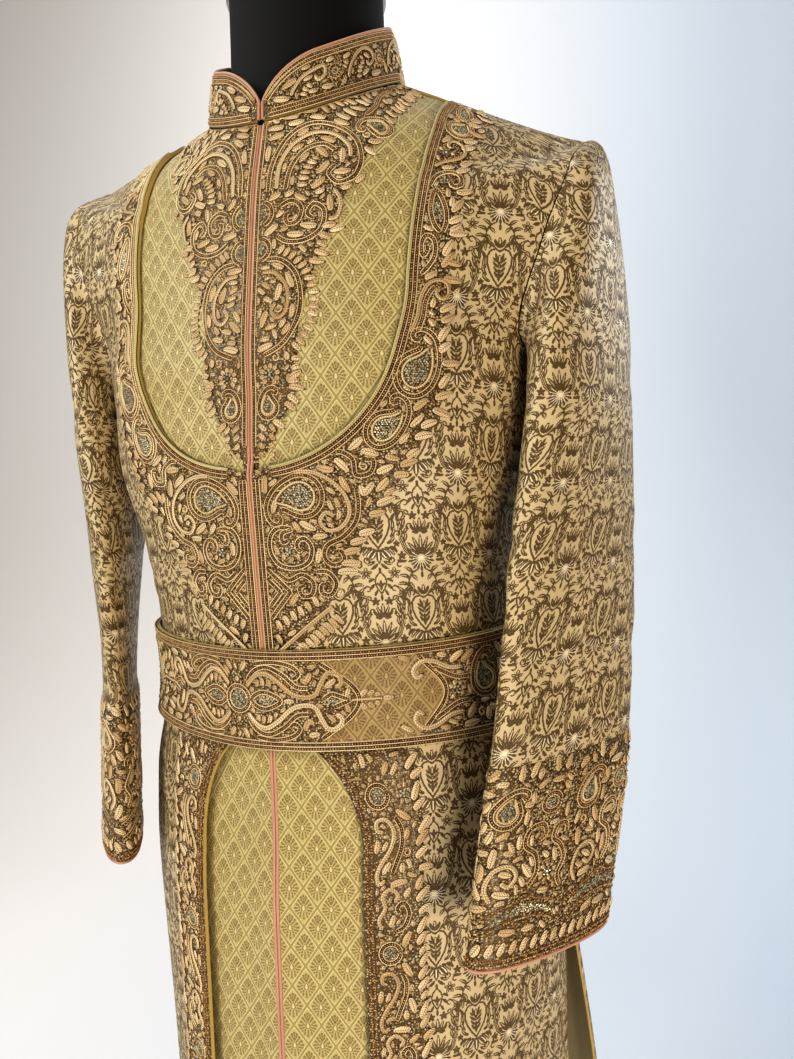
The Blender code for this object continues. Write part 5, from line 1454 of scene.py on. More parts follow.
def make_belt():
    """A band all round the waist that meets end to end at the centre back."""
    across = {"front": np.linspace(0.0, 1.0, 110), "back": np.linspace(1.0, 0.0, 110)[1:]}
    shares = np.linspace(0.0, 1.0, 20)
    points, normals = [], []
    for half in across:
        rise = BELT_SIDE_RISE * (across[half] ** 1.5 if half == "front" else np.ones(109))
        level = BELT_BOTTOM_Z + (BELT_TOP_Z + rise - BELT_BOTTOM_Z) * shares[:, None]
        points.append(block_point(half, across[half], level))
        normals.append(block_normal(half, across[half], level))
    points, normals = np.concatenate(points, axis=1), np.concatenate(normals, axis=1)
    run = np.concatenate([[0.0], np.cumsum(np.linalg.norm(np.diff(points[10], axis=0), axis=1))])
    face_height = BELT_CLEAR + BELT_THICK
    face = whole_surface(Surface(run, shares * BELT_HEIGHT, points + normals * face_height, normals))
    us = np.concatenate([-run[:0:-1], run])
    us = us[np.abs(us) < run[-1] - 1e-6]
    us = np.unique(np.concatenate([[-run[-1] + GAP], us, [run[-1] - GAP, GAP_FROM, GAP_TO]]))
    rows = np.concatenate([[0.0], np.linspace(0.0008, BELT_HEIGHT - 0.0008, 10), [BELT_HEIGHT]])
    u, v = np.meshgrid(us, rows)
    lattice_gap = (u > GAP_FROM - 1e-6) & (u < GAP_TO - 1e-6)
    first, last = gap_bow(v)
    middle = 0.5 * (GAP_FROM + GAP_TO)
    before, after = np.abs(u - GAP_FROM), np.abs(u - GAP_TO)
    start_share = np.clip(1 - before / np.where(u < GAP_FROM, GAP_REACH, middle - GAP_FROM), 0.0, 1.0)
    end_share = np.clip(1 - after / np.where(u > GAP_TO, GAP_REACH, GAP_TO - middle), 0.0, 1.0)
    u = u + first * start_share + last * end_share
    worked = np.full(u.shape, BELT_WORK)
    worked[0], worked[-1] = 0.0, 0.0
    outer, _ = face.at(u, v, worked)
    inner, _ = face.at(u, v, np.full(u.shape, -BELT_THICK))
    slots = np.where(lattice_gap[:-1, :-1], 1, 0)
    uv = np.stack([u, v + BELT_CHART_SHIFT], -1)
    piece = cloth_wall("belt_cloth", outer, inner, uv, (BEAD_GROUND, SHADED_BELT_LATTICE, LINING), slots)
    # the grid's own columns lean with the bow, so the height comes from the band and not from them
    length, _, area = flat_size(outer)
    return (piece, "belt", (length, BELT_HEIGHT + BELT_SIDE_RISE, area)), face


belt, belt_face = make_belt()
print("belt", described([belt]))

# %% [markdown]
# ## Piping
# A bias strip folded round a fine cord makes piping. It edges the collar, both sides of the centre front
# and the hems of the sleeves. Each length is a swept tube with a UV map along it.


# %% Swept tubes
PIPING_SIDES = 8


def sweep(name, path, radius, material, closed=False):
    """A round cord along a path. Its ends are capped, or the path runs round to its start."""
    along = (np.roll(path, -1, 0) - np.roll(path, 1, 0)) if closed else np.gradient(path, axis=0)
    along /= np.linalg.norm(along, axis=1, keepdims=True)
    first = np.cross(along, np.array([0.31, 0.17, 0.93]))
    first /= np.linalg.norm(first, axis=1, keepdims=True)
    second = np.cross(along, first)
    rows, sides = len(path), PIPING_SIDES
    angles = np.linspace(0.0, 2 * math.pi, sides, endpoint=False)
    ring = np.cos(angles)[None, :, None] * first[:, None] + np.sin(angles)[None, :, None] * second[:, None]
    points = path[:, None] + radius * ring
    index = np.arange(rows * sides).reshape(rows, sides)
    nearby = np.roll(index, -1, axis=1)
    faces = np.stack([index[:-1], nearby[:-1], nearby[1:], index[1:]], -1).reshape(-1, 4).tolist()
    if closed:
        faces += np.stack([index[-1], nearby[-1], nearby[0], index[0]], -1).tolist()
    else:
        faces += [index[0, ::-1].tolist(), index[-1].tolist()]
    run = np.concatenate([[0.0], np.cumsum(np.linalg.norm(np.diff(path, axis=0), axis=1))])
    uv = np.stack([np.broadcast_to(run[:, None], (rows, sides)),
                   np.broadcast_to(np.sin(angles) * radius, (rows, sides))], -1)
    obj = new_mesh(name, points.reshape(-1, 3), faces, uv.reshape(-1, 2), None, (material,))
    work = bmesh.new()
    work.from_mesh(obj.data)
    bmesh.ops.recalc_face_normals(work, faces=work.faces)
    work.to_mesh(obj.data)
    work.free()
    return obj


print("sides of a cord:", PIPING_SIDES)


# %% Lengths of piping
def make_piping():
    """Both centre fronts from hem to collar, the collar's top edge, and the hem of each cuff."""
    made = []
    levels = np.concatenate([np.linspace(HEM_Z + 0.005, 0.85, 60), np.linspace(0.85, 1.12, 60)[1:],
                             np.linspace(1.12, 1.17, 20)[1:], np.linspace(1.17, NECK_Z, 70)[1:]])
    centre, out = block_point("front", 0.0, levels), block_normal("front", 0.0, levels)
    on_front_share = np.clip((levels - 0.95) / 0.05, 0.0, 1.0)
    on_inset = np.clip((levels - U_BOTTOM_Z + 0.006) / 0.012, 0.0, 1.0)
    below = skirt_panel_below(CENTRE_EDGE, levels) * (1 - on_front_share) + LAYER * on_inset
    path = centre - out * (below + 0.1 * CLOTH)[:, None]
    path[-1] += (path[-2] - path[-1]) * 0.12
    path[:, 0] = PIPING_RADIUS + 0.5 * GAP
    for name, side in SIDES:
        node = "front_piping_" + name
        made.append((sweep(node + "_cord", path * np.array([side, 1.0, 1.0]), PIPING_RADIUS, ROSE), node))
    distances = np.concatenate([CENTRE_EDGE + (COLLAR_CORNER - CENTRE_EDGE) * np.linspace(0.0, 1.0, 30) ** 1.7,
                                np.linspace(COLLAR_CORNER, NECK_RUN[-1], 60)[1:]])
    edge = np.stack([distances, collar_height(distances)], -1)
    edge = np.concatenate([[[CENTRE_EDGE, 0.0012], [CENTRE_EDGE, edge[0, 1] * 0.6]], edge])
    run = np.gradient(edge, axis=0)
    run /= np.linalg.norm(run, axis=1, keepdims=True)
    run[:2], run[-1] = (0.0, 1.0), (1.0, 0.0)
    away = edge + np.stack([-run[:, 1], run[:, 0]], -1) * (PIPING_RADIUS + 0.2 * GAP)
    away[:, 0] = np.maximum(away[:, 0], PIPING_RADIUS + 0.5 * GAP)
    path = whole(collar_point(away[:, 0], away[:, 1])[None])[0]
    inwards = path * np.array([-1.0, -1.0, 0.0])
    inwards /= np.linalg.norm(inwards, axis=1, keepdims=True)
    inwards[np.abs(path[:, 0]) < 0.01, 0] = 0.0
    path = hang(path + inwards * CLOTH / 3)
    made.append((sweep("collar_piping_cord", path, PIPING_RADIUS, ROSE), "collar_piping"))
    for side in SLEEVES:
        ring = sleeve_ring(side, SLEEVES[side]["cuff"][0], np.linspace(0.0, 360.0, 90, endpoint=False))
        away = ring - ring.mean(axis=0)
        away /= np.linalg.norm(away, axis=1, keepdims=True)
        path = ring - away * 0.0003 - np.array([0.0, 0.0, PIPING_RADIUS + GAP])
        if side == "right":
            path = path[::-1] * MIRROR
        node = "cuff_piping_" + side
        made.append((sweep(node + "_cord", path, PIPING_RADIUS, ROSE, closed=True), node))
    return made


piping = make_piping()
print("piping:", [p.name for p, _ in piping])

# %% [markdown]
# ## The dress form
# The coat hangs on a limbless form: a padded torso under black jersey, a turned steel cap on its neck, and
# a steel pole in a round base. It follows the coat's own block a little inside the cloth, so it never shows
# through, and it is smooth all round because its neck can be seen inside the collar.

# %% Form
FORM_BOTTOM_Z, FORM_WAIST_Z = 0.720, 1.000
FORM_CLEAR, FORM_HIP_CLEAR, FORM_WAIST_CLEAR = 0.0090, 0.028, 0.003
# rings of the neck: front height, back height, half width, front y, back y
NECK_ROWS = ((1.424, 1.480, 0.0705, -0.084, 0.056), (1.458, 1.496, 0.0675, -0.077, 0.0585),
             (1.500, 1.520, 0.0668, -0.0755, 0.0585), (1.545, 1.545, 0.0665, -0.0745, 0.0585))
CAP_RADIUS, CAP_Z, CAP_Y = 0.069, 1.5455, -0.008
POLE_RADIUS, BASE_RADIUS, BASE_HEIGHT = 0.014, 0.190, 0.022


def form_ring(level, around):
    """A ring of the form at one level: down the front from the centre to the side, and back."""
    share = np.clip((FORM_WAIST_Z - level) / (FORM_WAIST_Z - FORM_BOTTOM_Z), 0.0, 1.0)
    clear = FORM_CLEAR + FORM_WAIST_CLEAR * min(1.0, 8 * share) + (FORM_HIP_CLEAR - FORM_CLEAR) * share
    clear += 0.0012 if level > UNDERARM_Z else 0.0
    front, back_part = (block_point(half, around, level) - block_normal(half, around, level) * clear
                        for half in ("front", "back"))
    left = np.concatenate([front, back_part[::-1]])
    return np.concatenate([left, left[-2:0:-1] * MIRROR])


def neck_ring(row, steps):
    """A slanting oval ring of the neck, from the centre front round the wearer's left."""
    front_z, back_z, half_x, front_y, back_y = row
    angles = np.concatenate([np.linspace(-90.0, -1.0, steps), np.linspace(1.0, 90.0, steps)])
    angles = np.radians(np.concatenate([angles, 180.0 - angles[-2:0:-1]]))
    across = (1 + np.sin(angles)) / 2
    return np.stack([half_x * np.cos(angles), front_y + (back_y - front_y) * across,
                     front_z + (back_z - front_z) * across], -1)


def closed_rings(name, rings, material, crease=60.0):
    """A closed body from rings that run anticlockwise seen from above, bottom to top."""
    rows, count = rings.shape[:2]
    index = np.arange(rows * count).reshape(rows, count)
    beside = np.roll(index, -1, axis=1)
    faces = np.stack([index[:-1], beside[:-1], beside[1:], index[1:]], -1).reshape(-1, 4).tolist()
    low, high = rows * count, rows * count + 1
    faces += [(low, int(b), int(a)) for a, b in zip(index[0], beside[0])]
    faces += [(high, int(a), int(b)) for a, b in zip(index[-1], beside[-1])]
    points = np.concatenate([rings.reshape(-1, 3), [rings[0].mean(axis=0), rings[-1].mean(axis=0)]])
    obj = new_mesh(name, points, faces, None, None, (material,))
    obj.data.set_sharp_from_angle(angle=math.radians(crease))
    return obj


def turned(name, profile, material, y=0.0, sides=72):
    """A turned body from a profile of (radius, z)."""
    angles = np.linspace(0.0, 2 * math.pi, sides, endpoint=False)
    rings = np.array([[(r * math.cos(a), y + r * math.sin(a), z) for a in angles] for r, z in profile])
    return closed_rings(name, rings, material, 40.0)


print("rings of the neck:", len(NECK_ROWS))


# %% Making the form
def make_form():
    """The padded torso with its neck, and the turned cap, pole and base."""
    around = np.linspace(0.0, 1.0, 30)
    levels = np.concatenate([np.linspace(FORM_BOTTOM_Z, UNDERARM_Z, 22),
                             np.linspace(UNDERARM_Z, TIP_Z - 0.004, 16)[1:],
                             [1.422, 1.430, 1.438, 1.446, 1.454, NECK_Z]])
    rings = hang([form_ring(level, around) for level in levels] + [neck_ring(row, 30) for row in NECK_ROWS])
    torso = closed_rings("form_torso_cover", rings, JERSEY)
    # profiles of (radius, z) from the bottom up, each with a small flat middle at both ends
    cap = [(0.004, CAP_Z), (CAP_RADIUS - 0.001, CAP_Z), (CAP_RADIUS, CAP_Z + 0.001), (CAP_RADIUS, CAP_Z + 0.016),
           (CAP_RADIUS - 0.0015, CAP_Z + 0.019), (CAP_RADIUS - 0.005, CAP_Z + 0.0215), (0.040, CAP_Z + 0.029),
           (0.015, CAP_Z + 0.0335), (0.004, CAP_Z + 0.034)]
    low, under = BASE_HEIGHT + GAP, FORM_BOTTOM_Z - 0.0125
    pole = [(0.004, low), (0.026, low), (0.026, low + 0.029), (POLE_RADIUS, low + 0.036),
            (POLE_RADIUS, under - 0.030), (0.024, under - 0.024), (0.024, under), (0.004, under)]
    base = [(0.004, 0.0), (BASE_RADIUS, 0.0), (BASE_RADIUS, 0.006), (BASE_RADIUS - 0.002, 0.0095),
            (BASE_RADIUS - 0.006, 0.011), (0.110, 0.017), (0.050, BASE_HEIGHT), (0.004, BASE_HEIGHT)]
    cap = turned("form_cap_turned", cap, STEEL, CAP_Y)
    pole = turned("form_pole_turned", pole, STEEL, sides=48)
    base = turned("form_base_turned", base, STEEL, sides=96)
    return [(torso, "form_torso"), (cap, "form_neck_cap"), (pole, "form_pole"), (base, "form_base")]


form = make_form()
print("form:", [piece.name for piece, _ in form])

# %% [markdown]
# ## Raised metal-thread work
# The borders are couched and padded by hand: a row of copper beads between two fine cords draws most
# scrolls, padded ropes of thread draw the boldest, satin leaves fill out from them, and silver stones sit in
# the hearts of flowers. Here each motif is sketched on paper in millimetres, turned and repeated along a
# band, and then laid on the cloth, where each line becomes a low swept ridge that follows the surface.


# %% Sketching motifs
def flow(points, step=1.6, closed=False):
    """A smooth path through a few control points, with points about `step` apart."""
    p = np.asarray(points, float)
    before, after = (p[-1:], p[:2]) if closed else (2 * p[:1] - p[1:2], 2 * p[-1:] - p[-2:-1])
    ring = np.concatenate([before, p, after])
    t = np.linspace(0.0, 1.0, 12, endpoint=False)[:, None]
    parts = []
    for a, b, c, d in zip(ring, ring[1:], ring[2:], ring[3:]):
        parts.append(0.5 * (2 * b + (c - a) * t + (2 * a - 5 * b + 4 * c - d) * t**2
                            + (3 * b - a - 3 * c + d) * t**3))
    fine = np.concatenate(parts + [p[:1] if closed else p[-1:]])
    return even(fine, step)


def even(path, step):
    """The same path with its points evenly about `step` apart."""
    path = np.asarray(path, float)
    run = np.concatenate([[0.0], np.cumsum(np.linalg.norm(np.diff(path, axis=0), axis=1))])
    at = np.linspace(0.0, run[-1], max(3, int(round(run[-1] / step)) + 1))
    return np.stack([np.interp(at, run, path[:, k]) for k in (0, 1)], -1)


def thin_out(path, reach=0.0036, turn=6.0):
    """The same path without the points that a straight stretch doesn't need."""
    kept = [0]
    for k in range(1, len(path) - 1):
        back, on = path[k] - path[kept[-1]], path[k + 1] - path[k]
        bend = abs(math.degrees(math.atan2(back[0] * on[1] - back[1] * on[0], back @ on)))
        if bend > turn or np.linalg.norm(path[k + 1] - path[kept[-1]]) > reach:
            kept.append(k)
    return path[kept + [len(path) - 1]]


def across_path(path):
    """Unit directions to the left of a flat path."""
    along = np.gradient(path, axis=0)
    along /= np.maximum(np.linalg.norm(along, axis=1, keepdims=True), 1e-12)
    return np.stack([-along[:, 1], along[:, 0]], -1)


print("points of a smooth path of 40 mm:", len(flow([(0, 0), (40, 0)])))


# %% A sketch
class Sketch:
    """Strokes on paper in millimetres. Each has a kind, a path and a width."""

    def __init__(self):
        self.strokes = []

    def put(self, kind, path, width):
        self.strokes.append((kind, np.asarray(path, float), width))
        return self

    def line(self, points, closed=False, smooth_it=True):
        """A row of beads between two cords."""
        return self.put("line", flow(points, 1.6, closed) if smooth_it else even(points, 1.6), 1.0)

    def cord(self, points, width=0.6):
        """A single fine cord."""
        return self.put("cord", flow(points, 1.8), width)

    def rope(self, points, width=1.25):
        """A thick padded cord of slanting threads."""
        return self.put("rope", flow(points, 1.8), width)

    def edge(self, points, width=0.8):
        """A thick pale cord along a cut edge."""
        return self.put("edge", even(points, 2.4), width)

    def leaf(self, x, y, heading, length, width, bend=0.0):
        """A padded leaf from its foot, bending by `bend` degrees."""
        return self.put("leaf", leaf_line(x, y, heading, length, bend, 7), width)

    def stones(self, x, y, radius):
        """A cluster of silver stones."""
        return self.put("stones", [(x, y), (x + 0.01, y)], radius)

    def fill(self, points):
        """Silver beads packed inside an outline."""
        return self.put("fill", points, 1.0)

    def comb(self, points, length, width, side=1, lean=25.0, step=4.2):
        """Short leaves side by side along a path, like the teeth of a comb."""
        path = flow(points, step)
        out = across_path(path) * side
        for p, n in zip(path[:-1], out[:-1]):
            heading = math.degrees(math.atan2(n[1], n[0])) - side * lean
            self.leaf(p[0] + 1.7 * n[0], p[1] + 1.7 * n[1], heading, length, width)
        return self

    def add(self, other, x=0.0, y=0.0, turn=0.0, flip=False):
        """Another sketch, flipped, turned by degrees and moved."""
        c, s = math.cos(math.radians(turn)), math.sin(math.radians(turn))
        for kind, path, width in other.strokes:
            p = path * ((-1.0, 1.0) if flip else (1.0, 1.0))
            p = np.stack([p[:, 0] * c - p[:, 1] * s + x, p[:, 0] * s + p[:, 1] * c + y], -1)
            self.put(kind, even(p, 1.8) if kind in ("line", "cord", "rope") else p, width)
        return self


print("leaves of a comb of 40 mm:", len(Sketch().comb([(0, 0), (40, 0)], 8.0, 1.7).strokes))

# %% The motifs
# the outline of a drop with a curled tip, one unit long
BOTEH = [(0.28, 0.51), (0.24, 0.46), (0.31, 0.41), (0.39, 0.48), (0.34, 0.59), (0.20, 0.645), (0.03, 0.62),
         (-0.15, 0.48), (-0.28, 0.26), (-0.34, 0.0), (-0.26, -0.23), (-0.06, -0.35), (0.16, -0.31), (0.30, -0.15),
         (0.32, 0.05), (0.23, 0.23), (0.16, 0.33), (0.17, 0.41)]


def spiral(radius, start, turns):
    """A scroll that winds in towards its middle from an outer end `start` degrees round."""
    t = np.linspace(0.0, 1.0, int(10 * abs(turns)) + 6)
    angle = np.radians(start + 360.0 * turns * t)
    r = radius * (1 - 0.78 * t)
    return np.stack([r * np.cos(angle), r * np.sin(angle)], -1)


def paisley(length):
    """A drop about its belly's middle, with a curled tip, a beaded outline, a fine cord and a silver heart."""
    outline = np.array(BOTEH) * length
    s = Sketch().line(outline)
    body, up = outline[6:17], (0.0, 0.02 * length)
    s.put("cord", flow(body * 0.68 + up, 1.6, True), 0.6)
    return s.fill(body * 0.56 + up)


def fan(count, length, width, spread):
    """Leaves that open from one foot, over `spread` degrees."""
    s = Sketch()
    for k in range(count):
        share = k / (count - 1) - 0.5
        size = 1.0 - 0.35 * abs(share) * 2
        s.leaf(-1.2 * math.sin(math.radians(share * spread)), 0.0, 90 - share * spread, length * size, width,
               -share * 30)
    return s


def flower(radius, petals=8):
    """Silver stones ringed with petals."""
    s = Sketch()
    s.stones(0.0, 0.0, 0.42 * radius)
    for k in range(petals):
        turn = 360.0 * k / petals + 12
        c, n = math.cos(math.radians(turn)), math.sin(math.radians(turn))
        s.leaf(0.50 * radius * c, 0.50 * radius * n, turn, 0.62 * radius, 0.19 * radius)
    return s


def rosette(radius):
    """A silver flower ringed with beads and small petals."""
    s = Sketch()
    turns = np.linspace(0, 2 * math.pi, 13)[:-1]
    ring = np.stack([np.cos(turns), np.sin(turns)], -1)
    s.fill(ring * 0.58 * radius)
    s.line(ring * 0.78 * radius, closed=True)
    for turn in turns:
        s.leaf(math.cos(turn) * 1.05 * radius, math.sin(turn) * 1.05 * radius, math.degrees(turn),
               0.42 * radius, 0.13 * radius)
    return s


def leaves(s, rows, width=1.9, bend=12):
    """Adds a leaf for each row of foot x and y, heading and length."""
    for x, y, heading, length in rows:
        s.leaf(x, y, heading, length, width, bend)
    return s


print("strokes: paisley", len(paisley(40).strokes), "flower", len(flower(8).strokes),
      "rosette", len(rosette(9).strokes))

# %% [markdown]
# ## From strokes to stitches
# A piece of work takes the sketches it is given and keeps their strokes on its surface's flat places. Lines
# and cords stay where they are drawn. Leaves give way: each turns about its foot, shrinks or is left out
# until its tip is clear of its neighbours.

# %% Laying the work on cloth
LINE_HALF, BEAD_SIZE, BEAD_STEP = 0.00152, 0.00074, 0.00200
PACK_STEP = 0.0019          # between silver beads packed inside an outline
RIDGE_HEIGHT = {"line": 0.0010, "cord": 0.0011, "edge": 0.0019, "rope": 0.0018, "leaf": 0.0018}
HALF_WIDTH = {"cord": 0.001, "edge": 0.001, "rope": 0.00098}       # for each millimetre of a stroke's width
# turn in degrees and size of each try to find room for a leaf
LEAF_TRIES = ((0, 1.0), (10, 1.0), (-10, 1.0), (20, 0.95), (-20, 0.95), (0, 0.8), (30, 0.85), (-30, 0.85),
              (12, 0.7), (-12, 0.7), (40, 0.7), (-40, 0.7))


class Strokes:
    """The raised work on one piece, gathered stroke by stroke. base() is the cloth's height at flat places."""

    def __init__(self, name, node, surface, base):
        self.name, self.node, self.surface, self.base = name, node, surface, base
        self.ridges = {"leaf": [], "rope": [], "cord": [], "line": [], "edge": []}
        self.dots = {"beads": [], "stones": [], "seeds": []}
        self.random = random.Random(len(name) * 17 + ord(name[-1]))
        self.taken, self.pending = [], []

    def lay(self, sketch, place):
        """Lays a sketch where place() puts its millimetres on the surface, in metres."""
        for kind, path, width in sketch.strokes:
            flat = place(path * 0.001)
            if kind == "line":
                self.ridge(kind, flat, LINE_HALF, RIDGE_HEIGHT[kind])
                self.row(flat, BEAD_SIZE)
            elif kind in HALF_WIDTH:
                self.ridge(kind, flat, width * HALF_WIDTH[kind], RIDGE_HEIGHT[kind])
            elif kind == "leaf":
                self.pending.append((flat, width * 0.001))
            elif kind == "stones":
                self.cluster(flat[0], width * 0.001)
            elif kind == "fill":
                self.pack(flat)

    def place_leaves(self):
        """Each leaf keeps its tip clear of its neighbours: it turns about its foot, shrinks or is left out."""
        spots = np.concatenate([flat for flat, _ in self.taken])
        reach = np.concatenate([np.full(len(flat), half) for flat, half in self.taken])
        left_out = 0
        for line, half in self.pending:
            for turn, size in LEAF_TRIES:
                c, s = math.cos(math.radians(turn)) * size, math.sin(math.radians(turn)) * size
                tried = (line - line[0]) @ np.array([(c, s), (-s, c)]) + line[0]
                near = (np.linalg.norm(tried[2:, None] - spots[None], axis=2) - reach).min(axis=1)
                if (near < half * 0.85).sum() <= 1:
                    break
            else:
                left_out += 1
                continue
            self.ridge("leaf", tried, half * min(1.0, size + 0.1), RIDGE_HEIGHT["leaf"])
            spots = np.concatenate([spots, tried])
            reach = np.concatenate([reach, np.full(len(tried), half * 1.15)])
        print(self.name, len(self.ridges["leaf"]), "leaves placed,", left_out, "left out")
        self.pending = []

    def ridge(self, kind, flat, half, height):
        """A swept ridge with a tone of its own."""
        shown = flat if kind == "leaf" else thin_out(flat)
        self.ridges[kind].append((shown, half, height, self.random.random()))
        self.taken.append((flat, half * 1.12))

    def dot(self, kind, x, y, height, size):
        """A bead at a flat place, with a tone of its own."""
        self.dots[kind].append((x, y, height, size, self.random.random()))

    def row(self, flat, size):
        """A row of beads along a path."""
        at = even(flat, BEAD_STEP * size / BEAD_SIZE)
        self.taken.append((at, size * 1.2))
        for p in at:
            self.dot("beads", *p, 0.6 * size, size * self.random.uniform(0.93, 1.07))

    def cluster(self, middle, radius):
        """One silver stone with a ring of smaller ones round it."""
        self.taken.append((middle[None], radius * 1.5))
        size = min(0.00125, radius * 0.62)
        self.dot("stones", *middle, 0.5 * size, size)
        count = int(2 * math.pi * max(radius - 0.3 * size, 0.0) / (2.0 * size))
        for k in range(count):
            turn = 2 * math.pi * k / count
            self.dot("stones", middle[0] + radius * math.cos(turn), middle[1] + radius * math.sin(turn),
                     0.45 * size, 0.82 * size)

    def pack(self, outline):
        """Silver beads packed inside a closed outline."""
        spots = self.scatter(outline.min(axis=0), outline.max(axis=0), PACK_STEP)
        spots = spots[inside(outline, spots)]
        for p in spots:
            self.dot("stones", *p, 0.0002, 0.00080 * self.random.uniform(0.7, 1.15))
        self.taken += [(p[None], 0.0014) for p in spots]

    def scatter(self, low, high, step):
        """Jittered places of a grid with every other row moved by half a step."""
        found = []
        for i in range(int((high[1] - low[1]) / (0.87 * step)) + 1):
            y = low[1] + 0.87 * step * i
            x = low[0] + (0.5 * step if i % 2 else 0.0)
            while x <= high[0]:
                found.append((x + self.random.uniform(-0.22, 0.22) * step,
                              y + self.random.uniform(-0.22, 0.22) * step))
                x += step
        return np.array(found)


def inside(outline, points):
    """Whether points lie inside a closed flat outline."""
    found = np.zeros(len(points), bool)
    for a, b in zip(outline, np.roll(outline, -1, axis=0)):
        crosses = (a[1] > points[:, 1]) != (b[1] > points[:, 1])
        x = a[0] + (points[:, 1] - a[1]) * (b[0] - a[0]) / (b[1] - a[1] if b[1] != a[1] else 1e-12)
        found ^= crosses & (points[:, 0] < x)
    return found


print("ridges:", sorted(RIDGE_HEIGHT))

# %% [markdown]
# ## Filling the bare places
# Close work leaves no ground bare. A grid of small squares records what is taken, so curls and leaves can be
# tucked in where they fit, the largest first, and what is left is sown with seed beads.


# %% Tucking in leaves and seeds
CELL = 0.0006
# kind, length and half width of what is tucked in
TUCKED = (("leaf", 0.0150, 0.0027), ("curl", 0.0052, 0.0022), ("leaf", 0.0118, 0.0023),
          ("curl", 0.0034, 0.0016), ("leaf", 0.0090, 0.0018), ("leaf", 0.0062, 0.0013))
TUCK_STEP = 0.0033          # between the spots where something may be tucked in
TUCK_TRIES = 8              # directions tried at each spot, 45 degrees apart
SEED_SIZE = 0.00060


class FilledStrokes(Strokes):
    """Strokes with what is tucked and sown between them."""

    def cells(self, flat):
        """The squares of the occupancy grid that places fall on."""
        k = np.floor((flat - self.corner) / CELL).astype(int) + 4
        return np.clip(k, 0, np.array(self.full.shape) - 1)

    def mark(self, flat, half):
        """Marks the squares within `half` of a path as taken."""
        spots = even(flat, CELL) if len(flat) > 1 else flat
        reach = int(round(float(np.max(half)) / CELL))
        k = self.cells(spots)
        for dx in range(-reach, reach + 1):
            for dy in range(-reach, reach + 1):
                if dx * dx + dy * dy <= reach * reach:
                    a, b = (k + (dx, dy)).T
                    ok = (a >= 0) & (b >= 0) & (a < self.full.shape[0]) & (b < self.full.shape[1])
                    self.full[a[ok], b[ok]] = True

    def tuck(self, kind, line, half):
        """A curl is a thin cord with a row of beads beside it."""
        if kind == "curl":
            self.ridge("cord", line, 0.00045, 0.0010)
            self.row(line + across_path(line) * 0.00130 * np.sign(self.random.random() - 0.5), 0.00066)
            self.mark(line, half)
        else:
            self.ridges["leaf"].append((line, half * 0.86, 0.0016, self.random.random()))
            self.mark(line, half * 0.85)

    def shape(self, kind, length, heading, curl_turns, spot):
        """The path of a curl or of a leaf whose middle is at a spot."""
        if kind == "curl":
            return even(spiral(length, heading, curl_turns) + spot, 0.0011)
        line = np.array(leaf_line(0, 0, heading, length, self.random.uniform(-30, 30), 7))
        return line + (spot - line[3])

    def fill_bare(self, low, high, allowed, seed_step=0.0025):
        """Tucks curls and leaves in where they fit between the strokes, then sows what is left with seeds."""
        self.place_leaves()
        low, high = np.asarray(low), np.asarray(high)
        self.corner, self.full = low, np.zeros(tuple(np.ceil((high - low) / CELL).astype(int) + 8), bool)
        for flat, half in self.taken:
            self.mark(flat, half)
        tucked = 0
        spots = self.scatter(low, high, TUCK_STEP)
        spots = spots[allowed(spots)]
        for kind, length, half in TUCKED:
            for p in spots:
                if self.full[tuple(self.cells(p))]:
                    continue
                turn = self.random.uniform(0, 360)
                for k in range(TUCK_TRIES):
                    line = self.shape(kind, length, turn + 45 * k, 1.2 if k % 2 else -1.2, p)
                    out = across_path(line) * half
                    edge = np.concatenate([line[:1], line[-1:], (line + out)[1:-1], (line - out)[1:-1]])
                    free = ~self.full[tuple(self.cells(edge).T)] & allowed(edge)
                    if free.all():
                        self.tuck(kind, line, half)
                        tucked += 1
                        break
        spots = self.scatter(low, high, seed_step)
        k = self.cells(spots)
        spots = spots[~self.full[k[:, 0], k[:, 1]]]
        spots = spots[allowed(spots)]
        for p in spots:
            self.dot("seeds", *p, 0.0001, SEED_SIZE * self.random.uniform(0.8, 1.15))
        print(self.name, "leaves tucked in", tucked, "seed beads", len(spots))

    def trim(self, allowed):
        """Drops every stroke and bead that leaves the allowed places."""
        for kind, rows in self.ridges.items():
            self.ridges[kind] = [row for row in rows if allowed(row[0]).all()]
        for kind, rows in self.dots.items():
            if rows:
                keep = allowed(np.array(rows)[:, :2])
                self.dots[kind] = [row for row, kept in zip(rows, keep) if kept]


print("tucked in:", TUCKED)

# %% [markdown]
# ## Ridges
# Every stroke is swept with a low section: a leaf and a rope are rounded, a cord is narrow, and a beaded
# line has two cords with a trough between them for its beads. The section's skirts sink into the cloth, and
# the attribute `rim` darkens them there, so each stroke keeps a fine shadow line as couched thread does.


# %% Making the meshes
# sections as (across, up, rim), where the rim runs from 0 on the thread to 1 in its shadow
LEAF_RING = np.array([(-1.32, -0.15, 1.0), (-0.98, 0.52, 0.5), (0.0, 1.0, 0.0), (0.98, 0.52, 0.5),
                      (1.32, -0.15, 1.0)])
CORD_RING = np.array([(-1.7, -0.3, 1.0), (-0.5, 0.95, 0.0), (0.5, 0.95, 0.0), (1.7, -0.3, 1.0)])
LINE_RING = np.array([(-1.42, -0.3, 1.0), (-1.0, 1.0, 0.0), (-0.70, 0.28, 1.0),
                      (0.70, 0.28, 1.0), (1.0, 1.0, 0.0), (1.42, -0.3, 1.0)])
RIDGE_LOOKS = (("leaf", PEACH, LEAF_RING), ("rope", PEACH, LEAF_RING), ("cord", GOLD, CORD_RING),
               ("line", GOLD, LINE_RING), ("edge", EDGE_CORD, CORD_RING))
DOT_LOOKS = (("beads", COPPER), ("stones", SILVER), ("seeds", SEED))


